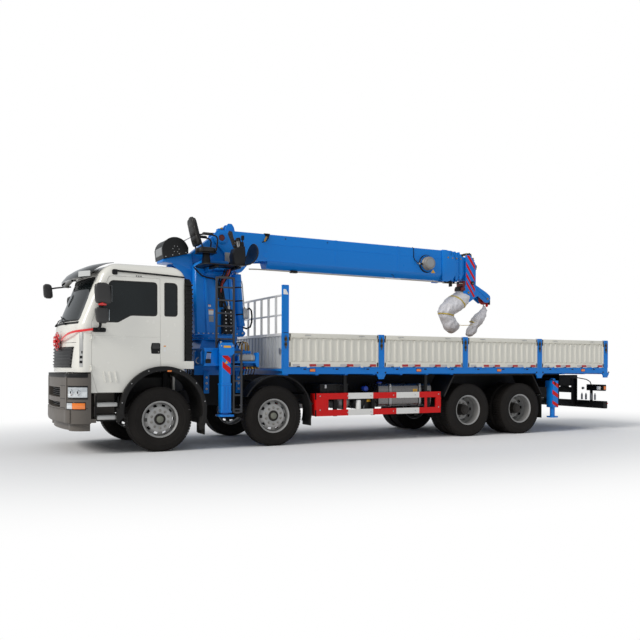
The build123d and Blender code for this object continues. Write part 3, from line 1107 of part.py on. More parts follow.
with BuildPart() as boom_base:
    with BuildSketch(Plane.YZ.offset(BOOM_END_X)):
        boom_ring(BOOM_HALF, BOOM_TOP, BOOM_BOTTOM, BOOM_WALL)
    extrude(amount=BOOM_BOX_X - BOOM_END_X)
    with BuildSketch(Plane.YZ.offset(BOOM_END_X - 10)):
        boom_ring(BOOM_HALF + 18, BOOM_TOP + 14, BOOM_BOTTOM - 14, 30)
    extrude(amount=70)
    # cheeks from the pivot to the box, and the top plate between them
    for side in (1, -1):
        with BuildSketch(side_plane(BOOM_HALF if side > 0 else -BOOM_HALF + 30)):
            with BuildLine():
                x = AXLE_1_X
                ThreePointArc((PIVOT_X + 60, BOOM_TOP), (PIVOT_X + 150, PIVOT_Z), (PIVOT_X + 60, PIVOT_Z - 137))
                Polyline((PIVOT_X + 60, PIVOT_Z - 137), (x - 1600, 3200), (x - 1700, 3090), (x - 1830, 3170))
                ThreePointArc((x - 1830, 3170), (x - 2010, 3310), (x - 2300, 3350))
                Polyline((x - 2300, 3350), (BOOM_BOX_X - 12, 3350), (BOOM_BOX_X - 12, BOOM_TOP),
                         (PIVOT_X + 60, BOOM_TOP))
            make_face()
            with Locations((PIVOT_X, PIVOT_Z)):
                Circle(60 - 0.5, mode=Mode.SUBTRACT)
        extrude(amount=30)
    bar((BOOM_BOX_X - 12, x - 1560), (-BOOM_HALF + 30, BOOM_HALF - 30), (BOOM_TOP - 12, BOOM_TOP))
    # lifting lugs on the root's top plate
    for lug_y in (100, -75):
        side_profile([(x - 1680, BOOM_TOP - 8), (x - 1655, BOOM_TOP + 90), (x - 1615, BOOM_TOP + 145),
                      (x - 1545, BOOM_TOP + 145), (x - 1500, BOOM_TOP + 80), (x - 1470, BOOM_TOP - 8)], lug_y, 25)
    bar((x - 1690, x - 1440), (-BOOM_HALF + 30, BOOM_HALF - 30), (BOOM_TOP - 12, BOOM_TOP))
    # cable reel on the left side
    pin_y(REEL[0], REEL[1], 185, (BOOM_HALF - 2, BOOM_HALF + 22))
    pin_y(REEL[0], REEL[1], 140, (BOOM_HALF + 20, BOOM_HALF + 160))
    pin_y(PIVOT_X, PIVOT_Z, 60, (-BOOM_HALF, BOOM_HALF))
    wear_pad(0)
keep(boom_base.part, "boom_base")


def inner_section(index):
    """Telescoping section, 1 for the widest: a box tube with a collar at its outer end."""
    shrink = BOOM_STEP * index
    half, top, bottom = BOOM_HALF - shrink, BOOM_TOP - shrink, BOOM_BOTTOM + shrink
    end_x = section_end(index)
    with BuildPart() as section:
        with BuildSketch(Plane.YZ.offset(end_x)):
            boom_ring(half, top, bottom, BOOM_WALL)
        extrude(amount=BOOM_BOX_X - 60 * index - end_x)
        with BuildSketch(Plane.YZ.offset(end_x)):
            boom_ring(half + 16 + shrink * 0.6, top + 14 + shrink * 0.7, bottom - 14 - shrink * 0.7,
                      24 + shrink * 0.6)
        extrude(amount=60)
        wear_pad(index)
    return section.part


for index in range(1, SECTION_COUNT - 1):
    keep(inner_section(index), f"boom_{index + 1}")

HEAD_X = AXLE_1_X - 7010
HOOK_SHEAVE = (AXLE_1_X - 7060, 2990)
TIP_SHEAVE = (AXLE_1_X - 7590, 2880)
SHEAVE_R = 115
with BuildPart() as boom_tip:
    shrink = BOOM_STEP * (SECTION_COUNT - 1)
    with BuildSketch(Plane.YZ.offset(HEAD_X)):
        boom_ring(BOOM_HALF - shrink, BOOM_TOP - shrink, BOOM_BOTTOM + shrink, BOOM_WALL)
    extrude(amount=BOOM_BOX_X - 60 * (SECTION_COUNT - 1) - HEAD_X)
    for side in (1, -1):
        with BuildSketch(side_plane(130 if side > 0 else -112)):
            with BuildLine():
                x = AXLE_1_X
                Polyline((x - 6990, 3800), (x - 7110, 3820), (x - 7260, 3640), (x - 7260, 3160), (x - 7560, 2975),
                         (x - 7680, 2890), (x - 7640, 2800), (x - 7540, 2790), (x - 7330, 2960), (x - 7070, 2800),
                         (x - 6960, 3010), (x - 6990, 3160), close=True)
            make_face()
        extrude(amount=18)
    bar((x - 7250, x - 6990), (-112, 112), (3700, 3712))
    bar((x - 7250, x - 6990), (-112, 112), (3240, 3252))
    bar((x - 7002, x - 6990), (-112, 112), (3240, 3712))
    for sheave in (HOOK_SHEAVE, TIP_SHEAVE):
        pin_y(sheave[0], sheave[1], 26, (-130, 130))
        pin_y(sheave[0], sheave[1], SHEAVE_R, (-40, 40))
keep(boom_tip.part, "boom_tip")

# ---------------------------------------------------------------- lift cylinder
BARREL_R, ROD_R = 92, 55
BARREL_FOOT = 130                 # from the foot pin to the barrel's end plate
CYLINDER_AXIS = Plane(origin=(CYLINDER_FOOT[0], 0, CYLINDER_FOOT[1]),
                      x_dir=(0, 1, 0),
                      z_dir=(CYLINDER_EYE[0] - CYLINDER_FOOT[0], 0, CYLINDER_EYE[1] - CYLINDER_FOOT[1]))
CLOSED_LENGTH = ((CYLINDER_EYE[0] - CYLINDER_FOOT[0]) ** 2 + (CYLINDER_EYE[1] - CYLINDER_FOOT[1]) ** 2) ** 0.5
with BuildPart() as lift_barrel:
    with BuildSketch(CYLINDER_AXIS.offset(BARREL_FOOT)):
        Circle(BARREL_R)
    extrude(amount=CLOSED_LENGTH - BARREL_FOOT - 110)
    with BuildSketch(CYLINDER_AXIS.offset(BARREL_FOOT + 40)):
        Circle(ROD_R + SEAT_GAP)
    extrude(amount=CLOSED_LENGTH, mode=Mode.SUBTRACT)
    with BuildSketch(side_plane(58)):
        with Locations(CYLINDER_FOOT):
            Circle(62)
        with Locations((CYLINDER_FOOT[0] + 7, CYLINDER_FOOT[1] + 75)):
            Rectangle(90, 150)
    extrude(amount=116)
    pin_y(CYLINDER_FOOT[0], CYLINDER_FOOT[1], 32 + RUNNING_GAP, (-100, 100), mode=Mode.SUBTRACT)
keep(lift_barrel.part, "lift_barrel")

with BuildPart() as lift_rod:
    with BuildSketch(CYLINDER_AXIS.offset(BARREL_FOOT + 50)):
        Circle(ROD_R)
    extrude(amount=CLOSED_LENGTH - BARREL_FOOT - 90)
    with BuildSketch(side_plane(50)):
        with Locations(CYLINDER_EYE):
            Circle(68)
            Circle(34, mode=Mode.SUBTRACT)
    extrude(amount=100)
keep(lift_rod.part, "lift_rod")

# ---------------------------------------------------------------- wrapped hooks under the boom's tip
# across-sections of each bundle: x behind the first axle, height, radius
MAIN_HOOK = ((6840, 3050, 95), (6680, 2900, 190), (6560, 2700, 200), (6500, 2480, 120), (6600, 2300, 150),
             (6700, 2160, 110))
AUXILIARY_HOOK = ((7590, TIP_SHEAVE[1] - SHEAVE_R - 3.6, 12), (7555, 2640, 30), (7480, 2520, 95), (7380, 2360, 100), (7290, 2280, 70),
                  (7200, 2120, 60))


def bundle(rows):
    """A wrapped hook: round sections set square to the line through their centres."""
    with BuildPart() as wrap:
        for i, (back, z, radius) in enumerate(rows):
            before, after = rows[max(i - 1, 0)], rows[min(i + 1, len(rows) - 1)]
            along = (-(after[0] - before[0]), 0, after[1] - before[1])
            with BuildSketch(Plane(origin=(AXLE_1_X - back, 0, z), x_dir=(0, 1, 0), z_dir=along)):
                RegularPolygon(radius, 8)
        loft(ruled=True)
    return wrap.part


with BuildPart() as main_hook:
    add(bundle(MAIN_HOOK))
    # rope end up to the underside of the tip section
    pin_z(AXLE_1_X - 6840, 0, 11, (3020, BOOM_BOTTOM + BOOM_STEP * (SECTION_COUNT - 1)))
keep(main_hook.part, "main_hook")
keep(bundle(AUXILIARY_HOOK), "auxiliary_hook")
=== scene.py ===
import math
import bmesh
import bpy
from mathutils import Matrix, Vector, bvhtree, noise


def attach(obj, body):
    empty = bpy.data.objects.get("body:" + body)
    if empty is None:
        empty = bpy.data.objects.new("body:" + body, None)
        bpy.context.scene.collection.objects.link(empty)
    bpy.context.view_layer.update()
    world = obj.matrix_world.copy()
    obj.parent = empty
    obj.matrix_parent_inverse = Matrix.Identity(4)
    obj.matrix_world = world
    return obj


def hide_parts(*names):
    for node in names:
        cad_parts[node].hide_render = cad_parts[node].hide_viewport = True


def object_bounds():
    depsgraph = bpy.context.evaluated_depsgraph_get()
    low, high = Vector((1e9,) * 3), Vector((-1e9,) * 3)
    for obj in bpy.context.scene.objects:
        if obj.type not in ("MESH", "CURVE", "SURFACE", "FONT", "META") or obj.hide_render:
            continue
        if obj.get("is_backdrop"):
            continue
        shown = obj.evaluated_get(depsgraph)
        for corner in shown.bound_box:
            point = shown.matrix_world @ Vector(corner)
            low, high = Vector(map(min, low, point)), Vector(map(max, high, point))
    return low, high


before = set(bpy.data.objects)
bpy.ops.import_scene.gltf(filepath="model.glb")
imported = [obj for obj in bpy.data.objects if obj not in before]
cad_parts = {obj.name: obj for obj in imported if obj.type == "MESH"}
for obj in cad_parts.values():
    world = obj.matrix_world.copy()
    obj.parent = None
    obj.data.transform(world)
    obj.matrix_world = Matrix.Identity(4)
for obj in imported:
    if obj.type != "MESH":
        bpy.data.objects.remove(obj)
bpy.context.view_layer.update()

# ---------------------------------------------------------------- studio
# A pale floor that fades to white, one broad sun from ahead of the lorry and an even sky.
# The camera stands level at eye height on the lorry's left, a little ahead of its front axle.
scene = bpy.context.scene
scene.view_settings.view_transform = "Standard"

EYE = Vector((7.591, 12.988, 1.399))
LOOK = Vector((-0.4628, -0.8865, 0.0))
camera = bpy.data.objects.new("camera", bpy.data.cameras.new("camera"))
scene.collection.objects.link(camera)
side_of_view = LOOK.cross(Vector((0, 0, 1))).normalized()
up_of_view = side_of_view.cross(LOOK).normalized()
turn = Matrix((side_of_view, up_of_view, -LOOK.normalized())).transposed().to_4x4()
camera.matrix_world = Matrix.Translation(EYE) @ turn @ Matrix.Rotation(0.0032, 4, "Z")
camera.data.sensor_width = 36.0
camera.data.lens = 41.9
camera.data.shift_y = 0.071
camera.data.clip_end = 400.0
scene.camera = camera


def node_after(tree, kind, **settings):
    """A new shader or geometry node with its settings."""
    node = tree.nodes.new(kind)
    for key, value in settings.items():
        setattr(node, key, value)
    return node


world = bpy.data.worlds.new("sky")
scene.world = world
world.use_nodes = True
tree = world.node_tree
tree.nodes.clear()
ray = node_after(tree, "ShaderNodeLightPath")
seen = node_after(tree, "ShaderNodeMath", operation="MAXIMUM")
tree.links.new(ray.outputs["Is Camera Ray"], seen.inputs[0])
tree.links.new(ray.outputs["Is Transmission Ray"], seen.inputs[1])
sky_light = node_after(tree, "ShaderNodeBackground")
sky_light.inputs["Color"].default_value = (0.92, 0.96, 1.0, 1)
sky_light.inputs["Strength"].default_value = 0.52
sky_white = node_after(tree, "ShaderNodeBackground")
sky_white.inputs["Color"].default_value = (1, 1, 1, 1)
sky_pick = node_after(tree, "ShaderNodeMixShader")
tree.links.new(seen.outputs[0], sky_pick.inputs[0])
tree.links.new(sky_light.outputs[0], sky_pick.inputs[1])
tree.links.new(sky_white.outputs[0], sky_pick.inputs[2])
tree.links.new(sky_pick.outputs[0], node_after(tree, "ShaderNodeOutputWorld").inputs["Surface"])

sun = bpy.data.objects.new("sun", bpy.data.lights.new("sun", "SUN"))
sun.data.energy = 1.9
sun.data.angle = math.radians(24)
sun.data.color = (1.0, 0.97, 0.92)
sun.rotation_euler = Vector((1.0, 0.2, 0.72)).to_track_quat("Z", "Y").to_euler()
scene.collection.objects.link(sun)

floor_finish = bpy.data.materials.new("studio_floor")
floor_finish.use_nodes = True
tree = floor_finish.node_tree
tree.nodes.clear()
spot = node_after(tree, "ShaderNodeTexCoord")
middle = node_after(tree, "ShaderNodeVectorMath", operation="MULTIPLY")
middle.inputs[1].default_value = (0.1, 0.17, 0)
tree.links.new(spot.outputs["Object"], middle.inputs[0])
away = node_after(tree, "ShaderNodeVectorMath", operation="LENGTH")
tree.links.new(middle.outputs[0], away.inputs[0])
fade = node_after(tree, "ShaderNodeMapRange", interpolation_type="SMOOTHSTEP")
fade.inputs["From Min"].default_value = 0.55
fade.inputs["From Max"].default_value = 1.35
tree.links.new(away.outputs["Value"], fade.inputs["Value"])
ground = node_after(tree, "ShaderNodeBsdfDiffuse")
ground.inputs["Color"].default_value = (0.83, 0.83, 0.84, 1)
bright = node_after(tree, "ShaderNodeEmission")
bright.inputs["Color"].default_value = (1, 1, 1, 1)
blend_floor = node_after(tree, "ShaderNodeMixShader")
tree.links.new(fade.outputs["Result"], blend_floor.inputs[0])
tree.links.new(ground.outputs[0], blend_floor.inputs[1])
tree.links.new(bright.outputs[0], blend_floor.inputs[2])
tree.links.new(blend_floor.outputs[0], node_after(tree, "ShaderNodeOutputMaterial").inputs["Surface"])
floor_mesh = bpy.data.meshes.new("floor")
floor_mesh.from_pydata([(-90, -90, 0), (90, -90, 0), (90, 90, 0), (-90, 90, 0)], [], [(0, 1, 2, 3)])
floor_mesh.materials.append(floor_finish)
floor = bpy.data.objects.new("floor", floor_mesh)
scene.collection.objects.link(floor)
floor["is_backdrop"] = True

# ---------------------------------------------------------------- chassis frame, axles and driveline
# Pressed steel rails, cross members, springs, cast axles and the shafts behind the gearbox,
# all riveted or bolted together and sprayed satin black; road dust settles on them low down.


def finish(name, colour, rough, metal=0.0, drift=0.06, drift_size=1.3, grain=0.0, grain_size=90.0, clear=0.0,
           dust=0.0, dust_top=0.9, gloss=0.5):
    """A real surface: colour that drifts a little, uneven gloss, fine grain and dust gathering low down."""
    material = bpy.data.materials.new(name)
    material.use_nodes = True
    tree = material.node_tree
    shader = tree.nodes["Principled BSDF"]
    shader.inputs["Metallic"].default_value = metal
    shader.inputs["Specular IOR Level"].default_value = gloss
    shader.inputs["Coat Weight"].default_value = clear
    shader.inputs["Coat Roughness"].default_value = 0.06
    place = node_after(tree, "ShaderNodeTexCoord")
    cloud = node_after(tree, "ShaderNodeTexNoise")
    cloud.inputs["Scale"].default_value = drift_size
    cloud.inputs["Detail"].default_value = 4
    tree.links.new(place.outputs["Object"], cloud.inputs["Vector"])
    shade = node_after(tree, "ShaderNodeMix", data_type="RGBA")
    shade.inputs["A"].default_value = (*[c * (1 - drift) for c in colour], 1)
    shade.inputs["B"].default_value = (*[min(c * (1 + drift), 1) for c in colour], 1)
    tree.links.new(cloud.outputs["Fac"], shade.inputs["Factor"])
    out = shade.outputs["Result"]
    if dust:
        height = node_after(tree, "ShaderNodeSeparateXYZ")
        tree.links.new(place.outputs["Object"], height.inputs[0])
        low = node_after(tree, "ShaderNodeMapRange")
        low.inputs["From Min"].default_value = dust_top
        low.inputs["From Max"].default_value = 0.1
        low.inputs["To Max"].default_value = dust
        tree.links.new(height.outputs["Z"], low.inputs["Value"])
        patch = node_after(tree, "ShaderNodeTexNoise")
        patch.inputs["Scale"].default_value = 7
        patch.inputs["Detail"].default_value = 6
        tree.links.new(place.outputs["Object"], patch.inputs["Vector"])
        share = node_after(tree, "ShaderNodeMath", operation="MULTIPLY")
        tree.links.new(low.outputs["Result"], share.inputs[0])
        tree.links.new(patch.outputs["Fac"], share.inputs[1])
        dusty = node_after(tree, "ShaderNodeMix", data_type="RGBA")
        dusty.inputs["B"].default_value = (0.21, 0.17, 0.13, 1)
        tree.links.new(share.outputs[0], dusty.inputs["Factor"])
        tree.links.new(out, dusty.inputs["A"])
        out = dusty.outputs["Result"]
    tree.links.new(out, shader.inputs["Base Color"])
    patchy = node_after(tree, "ShaderNodeTexNoise")
    patchy.inputs["Scale"].default_value = 9
    patchy.inputs["Detail"].default_value = 5
    tree.links.new(place.outputs["Object"], patchy.inputs["Vector"])
    gloss_range = node_after(tree, "ShaderNodeMapRange")
    gloss_range.inputs["To Min"].default_value = max(rough - 0.07, 0.02)
    gloss_range.inputs["To Max"].default_value = min(rough + 0.09, 1.0)
    tree.links.new(patchy.outputs["Fac"], gloss_range.inputs["Value"])
    tree.links.new(gloss_range.outputs["Result"], shader.inputs["Roughness"])
    if grain:
        fine = node_after(tree, "ShaderNodeTexNoise")
        fine.inputs["Scale"].default_value = grain_size
        fine.inputs["Detail"].default_value = 3
        tree.links.new(place.outputs["Object"], fine.inputs["Vector"])
        relief = node_after(tree, "ShaderNodeBump")
        relief.inputs["Strength"].default_value = grain
        relief.inputs["Distance"].default_value = 0.002
        tree.links.new(fine.outputs["Fac"], relief.inputs["Height"])
        tree.links.new(relief.outputs["Normal"], shader.inputs["Normal"])
    return material


def wear(material, *nodes):
    """Puts a finish on CAD nodes."""
    for name in nodes:
        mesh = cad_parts[name].data
        mesh.materials.clear()
        mesh.materials.append(material)


def across(way, one, two):
    """Least and greatest y of a span between two distances from the middle line, on the side way."""
    return sorted((way * one, way * two))


SIDES = (("left", 1), ("right", -1))
chassis_black = finish("chassis_black", (0.005, 0.005, 0.006), 0.5, dust=0.1, grain=0.15, gloss=0.2)
axle_iron = finish("axle_iron", (0.012, 0.011, 0.01), 0.62, dust=0.2, grain=0.4, grain_size=60, gloss=0.25)
gearbox_grey = finish("gearbox_grey", (0.035, 0.035, 0.036), 0.55, metal=0.3, dust=0.25, grain=0.4, gloss=0.3)
wear(chassis_black, "chassis_frame")
wear(axle_iron, "front_axles", "rear_axles", *[f"knuckle_{n}_{side}" for n in (1, 2) for side, _ in SIDES])
wear(gearbox_grey, "driveline")

# ---------------------------------------------------------------- tyres
# Moulded all-steel road tyres, one on each steered hub and two side by side on each driven hub.
# The blocks of the tread stand on the casing; the side walls carry turned ribs near bead and shoulder.
TYRE_R = 0.522
AXLE_X = (4.315, 2.315, -1.885, -3.235)
STEER_Y, TWIN_Y, TWIN_HALF = 1.04, 0.928, 0.165


class Piece:
    """Mesh data of one piece. Shapes added to it take the finish named last with use()."""

    def __init__(self, name, body, slot, first):
        self.name, self.body, self.slot = name, body, slot
        self.bm, self.finishes, self.now = bmesh.new(), [first], 0

    def use(self, material):
        if material not in self.finishes:
            self.finishes.append(material)
        self.now = self.finishes.index(material)
        return self

    def take(self, part, edge=0.0, rounds=2, sharp=50):
        """Adds a small mesh, its hard edges rounded by edge metres."""
        bmesh.ops.recalc_face_normals(part, faces=part.faces)
        if edge:
            hard = [e for e in part.edges if len(e.link_faces) == 2 and e.calc_face_angle(0) > math.radians(sharp)]
            bmesh.ops.bevel(part, geom=hard, offset=edge, segments=rounds, affect="EDGES", profile=0.6)
        for face in part.faces:
            face.material_index = self.now
        mesh = bpy.data.meshes.new("part")
        part.to_mesh(mesh)
        part.free()
        self.bm.from_mesh(mesh)
        bpy.data.meshes.remove(mesh)
        return self

    def prism(self, outline, axis, low, high, edge=0.0, rounds=2):
        """A plate of the given outline, pairs on the other two axes in X, Y, Z order, from low to high."""
        part = bmesh.new()
        rings = []
        for level in (low, high):
            ring = []
            for a, b in outline:
                place = [a, b]
                place.insert("XYZ".index(axis), level)
                ring.append(part.verts.new(place))
            rings.append(ring)
        part.faces.new(rings[0])
        part.faces.new(reversed(rings[1]))
        for i in range(len(outline)):
            j = (i + 1) % len(outline)
            part.faces.new((rings[0][i], rings[0][j], rings[1][j], rings[1][i]))
        return self.take(part, edge, rounds, 30)

    def bar(self, x, y, z, edge=0.004, rounds=2):
        """A squared bar with rounded edges."""
        return self.prism(((x[0], y[0]), (x[1], y[0]), (x[1], y[1]), (x[0], y[1])), "Z", z[0], z[1], edge, rounds)

    def tube(self, points, radius, sides=10, closed=False, hollow=0.0):
        """A round tube swept along points, its radius one number or one for each point."""
        points = [Vector(p) for p in points]
        count = len(points)
        radii = radius if hasattr(radius, "__len__") else [radius] * count
        part = bmesh.new()
        rings, normal = [], None
        for i, point in enumerate(points):
            before = points[i - 1] if i or closed else point
            after = points[(i + 1) % count] if i < count - 1 or closed else point
            along = (after - before).normalized()
            if normal is None:
                normal = along.orthogonal().normalized()
            else:
                normal = (normal - along * normal.dot(along)).normalized()
            across = along.cross(normal)
            rings.append([part.verts.new(point + (normal * math.cos(t) + across * math.sin(t)) * radii[i])
                          for t in (2 * math.pi * k / sides for k in range(sides))])
        for i in range(count if closed else count - 1):
            one, two = rings[i], rings[(i + 1) % count]
            for k in range(sides):
                part.faces.new((one[k], one[(k + 1) % sides], two[(k + 1) % sides], two[k]))
        if not closed:
            part.faces.new(reversed(rings[0]))
            part.faces.new(rings[-1])
        return self.take(part)

    def rod(self, start, end, radius, sides=20, edge=0.0):
        """A turned bar from start to end with its ends chamfered."""
        start, end = Vector(start), Vector(end)
        if not edge:
            return self.tube((start, end), radius, sides)
        along = (end - start).normalized() * edge
        return self.tube((start, start + along, end - along, end), (radius - edge, radius, radius, radius - edge),
                         sides)

    def lathe(self, rows, centre, axis="Y", steps=48, closed=True):
        """Turns (along, radius) rows about an axis through centre; closed joins the last row to the first."""
        part = bmesh.new()
        centre = Vector(centre)
        at = "XYZ".index(axis)
        rings = []
        for along, radius in rows:
            if radius < 1e-6:
                place = [0.0, 0.0]
                place.insert(at, along)
                rings.append([part.verts.new(centre + Vector(place))] * steps)
                continue
            ring = []
            for k in range(steps):
                t = 2 * math.pi * k / steps
                place = [radius * math.cos(t), radius * math.sin(t)]
                place.insert(at, along)
                ring.append(part.verts.new(centre + Vector(place)))
            rings.append(ring)
        last = len(rings) if closed else len(rings) - 1
        for i in range(last):
            one, two = rings[i], rings[(i + 1) % len(rings)]
            for k in range(steps):
                corners = [one[k], one[(k + 1) % steps], two[(k + 1) % steps], two[k]]
                corners = [c for n, c in enumerate(corners) if c not in corners[:n]]
                if len(corners) > 2:
                    part.faces.new(corners)
        return self.take(part)

    def ball(self, centre, radii, sides=20, rings=12):
        """A rounded body, such as a lamp or a cap, from its three half sizes."""
        part = bmesh.new()
        bmesh.ops.create_uvsphere(part, u_segments=sides, v_segments=rings, radius=1)
        bmesh.ops.scale(part, vec=Vector(radii), verts=part.verts)
        bmesh.ops.translate(part, vec=Vector(centre), verts=part.verts)
        return self.take(part)

    def add_mesh(self, mesh):
        """Takes over a finished mesh, such as one from a node tree."""
        part = bmesh.new()
        part.from_mesh(mesh)
        for face in part.faces:
            face.material_index = self.now
        copy = bpy.data.meshes.new("part")
        part.to_mesh(copy)
        part.free()
        self.bm.from_mesh(copy)
        bpy.data.meshes.remove(copy)
        return self

    def done(self, *replaces, smooth=38):
        """Makes the object, gives it its finishes and lets it ride on its body."""
        mesh = bpy.data.meshes.new(self.name)
        self.bm.to_mesh(mesh)
        self.bm.free()
        mesh.polygons.foreach_set("use_smooth", [True] * len(mesh.polygons))
        mesh.set_sharp_from_angle(angle=math.radians(smooth))
        for material in self.finishes:
            mesh.materials.append(material)
        obj = bpy.data.objects.new(self.name, mesh)
        scene.collection.objects.link(obj)
        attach(obj, self.body)
        if replaces:
            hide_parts(*replaces)
        return obj


def small_mesh(name, build):
    """A loose mesh object that a node tree repeats; build fills a Piece."""
    shape = Piece(name, "", "", None)
    build(shape)
    mesh = bpy.data.meshes.new(name)
    shape.bm.to_mesh(mesh)
    shape.bm.free()
    return bpy.data.objects.new(name, mesh)


def repeat_tree(name, ring):
    """A node tree that repeats a small piece along a straight row, or round a ring about the Y axis."""
    tree = bpy.data.node_groups.new(name, "GeometryNodeTree")
    sockets = {}
    tree.interface.new_socket("Geometry", in_out="OUTPUT", socket_type="NodeSocketGeometry")
    for label, kind in (("Piece", "NodeSocketObject"), ("Count", "NodeSocketInt"), ("Start", "NodeSocketVector"),
                        ("Step", "NodeSocketVector"), ("Radius", "NodeSocketFloat"), ("Finish", "NodeSocketMaterial")):
        sockets[label] = tree.interface.new_socket(label, in_out="INPUT", socket_type=kind).identifier
    given = node_after(tree, "NodeGroupInput")
    small = node_after(tree, "GeometryNodeObjectInfo")
    small.inputs["As Instance"].default_value = True
    tree.links.new(given.outputs["Piece"], small.inputs["Object"])
    line = node_after(tree, "GeometryNodeMeshLine", mode="OFFSET")
    tree.links.new(given.outputs["Count"], line.inputs["Count"])
    place = node_after(tree, "GeometryNodeInstanceOnPoints")
    if ring:
        line.inputs["Offset"].default_value = (0, 0, 0)
        tree.links.new(line.outputs["Mesh"], place.inputs["Points"])
        number = node_after(tree, "GeometryNodeInputIndex")
        share = node_after(tree, "ShaderNodeMath", operation="DIVIDE")
        tree.links.new(number.outputs[0], share.inputs[0])
        tree.links.new(given.outputs["Count"], share.inputs[1])
        angle = node_after(tree, "ShaderNodeMath", operation="MULTIPLY")
        angle.inputs[1].default_value = 2 * math.pi
        tree.links.new(share.outputs[0], angle.inputs[0])
        spin = node_after(tree, "ShaderNodeCombineXYZ")
        tree.links.new(angle.outputs[0], spin.inputs["Y"])
        tree.links.new(spin.outputs[0], place.inputs["Rotation"])
        lift = node_after(tree, "GeometryNodeTransform")
        up = node_after(tree, "ShaderNodeCombineXYZ")
        tree.links.new(given.outputs["Radius"], up.inputs["Z"])
        tree.links.new(small.outputs["Geometry"], lift.inputs["Geometry"])
        tree.links.new(up.outputs[0], lift.inputs["Translation"])
        tree.links.new(lift.outputs[0], place.inputs["Instance"])
    else:
        tree.links.new(given.outputs["Step"], line.inputs["Offset"])
        tree.links.new(line.outputs["Mesh"], place.inputs["Points"])
        tree.links.new(small.outputs["Geometry"], place.inputs["Instance"])
    real = node_after(tree, "GeometryNodeRealizeInstances")
    tree.links.new(place.outputs[0], real.inputs[0])
    move = node_after(tree, "GeometryNodeTransform")
    tree.links.new(real.outputs[0], move.inputs["Geometry"])
    tree.links.new(given.outputs["Start"], move.inputs["Translation"])
    dress = node_after(tree, "GeometryNodeSetMaterial")
    tree.links.new(move.outputs[0], dress.inputs["Geometry"])
    tree.links.new(given.outputs["Finish"], dress.inputs["Material"])
    tree.links.new(dress.outputs[0], node_after(tree, "NodeGroupOutput").inputs[0])
    return tree, sockets


RING, ROW = repeat_tree("repeat_round", True), repeat_tree("repeat_along", False)


def repeated(kind, small, count, start, step=(0, 0, 0), radius=0.0, material=None):
    """The realised mesh of a node tree that repeats a small piece."""
    tree, sockets = kind
    holder = bpy.data.objects.new("holder", bpy.data.meshes.new("holder"))
    scene.collection.objects.link(holder)
    modifier = holder.modifiers.new("repeat", "NODES")
    modifier.node_group = tree
    for label, value in (("Piece", small), ("Count", count), ("Start", start), ("Step", step), ("Radius", radius),
                         ("Finish", material)):
        modifier[sockets[label]] = value
    bpy.context.view_layer.update()
    mesh = bpy.data.meshes.new_from_object(holder.evaluated_get(bpy.context.evaluated_depsgraph_get()))
    holder.modifiers.remove(modifier)
    bpy.data.objects.remove(holder)
    return mesh


tyre_rubber = finish("tyre_rubber", (0.0095, 0.0082, 0.0075), 0.7, dust=0.045, dust_top=1.5, drift=0.25, drift_size=3,
                     grain=0.35, grain_size=140, gloss=0.2)
CROWN = TYRE_R - 0.013
CASING = [(-0.105, CROWN), (0.105, CROWN), (0.119, CROWN - 0.004), (0.127, 0.49), (0.136, 0.468), (0.1405, 0.44),
          (0.142, 0.425), (0.1455, 0.42), (0.1455, 0.412), (0.1425, 0.407), (0.141, 0.38), (0.138, 0.352),
          (0.1355, 0.348), (0.137, 0.343), (0.134, 0.336), (0.128, 0.322), (0.125, 0.318), (0.1255, 0.313),
          (0.119, 0.305), (0.109, 0.302), (0.104, 0.288)]
CASING += [(-a, r) for a, r in reversed(CASING[2:])]


def tread_blocks(shape):
    """One pitch of the tread: two shoulder lugs and three centre blocks, standing on the casing."""
    def block(y, x, lean, skirt=0.0):
        part = bmesh.new()
        low = [part.verts.new((x[0], y[0] + lean, -0.016)), part.verts.new((x[1], y[0] - lean, -0.016)),
               part.verts.new((x[1], y[1] - lean, -0.016)), part.verts.new((x[0], y[1] + lean, -0.016))]
        top = [part.verts.new((v.co.x * 0.94, v.co.y * (1 - skirt), 0)) for v in low]
        part.faces.new(top)
        for i in range(4):
            part.faces.new((low[i], low[(i + 1) % 4], top[(i + 1) % 4], top[i]))
        shape.take(part)
    for way in (1, -1):
        block(across(way, 0.079, 0.1245), (-0.0235, 0.0195) if way > 0 else (-0.0195, 0.0235), 0.0, 0.05)
        block(across(way, 0.034, 0.069), (-0.0215, 0.0215), 0.004)
    block((-0.026, 0.026), (-0.0225, 0.0225), -0.004)


tread_pitch = small_mesh("tread_pitch", tread_blocks)
TREAD = repeated(RING, tread_pitch, 66, (0, 0, 0), radius=TYRE_R)
for number, x in enumerate(AXLE_X, 1):
    for side, way in SIDES:
        middles = (STEER_Y,) if number < 3 else (TWIN_Y + TWIN_HALF, TWIN_Y - TWIN_HALF)
        tyre = Piece(f"road_tyre_{number}_{side}", f"wheel_{number}_{side}", "tyre", tyre_rubber)
        for y in middles:
            tyre.lathe(CASING, (x, way * y, TYRE_R), steps=72)
            blocks = TREAD.copy()
            blocks.transform(Matrix.Translation((x, way * y, TYRE_R)))
            tyre.add_mesh(blocks)
            bpy.data.meshes.remove(blocks)
        tyre.done(f"tyre_{number}_{side}", smooth=30)

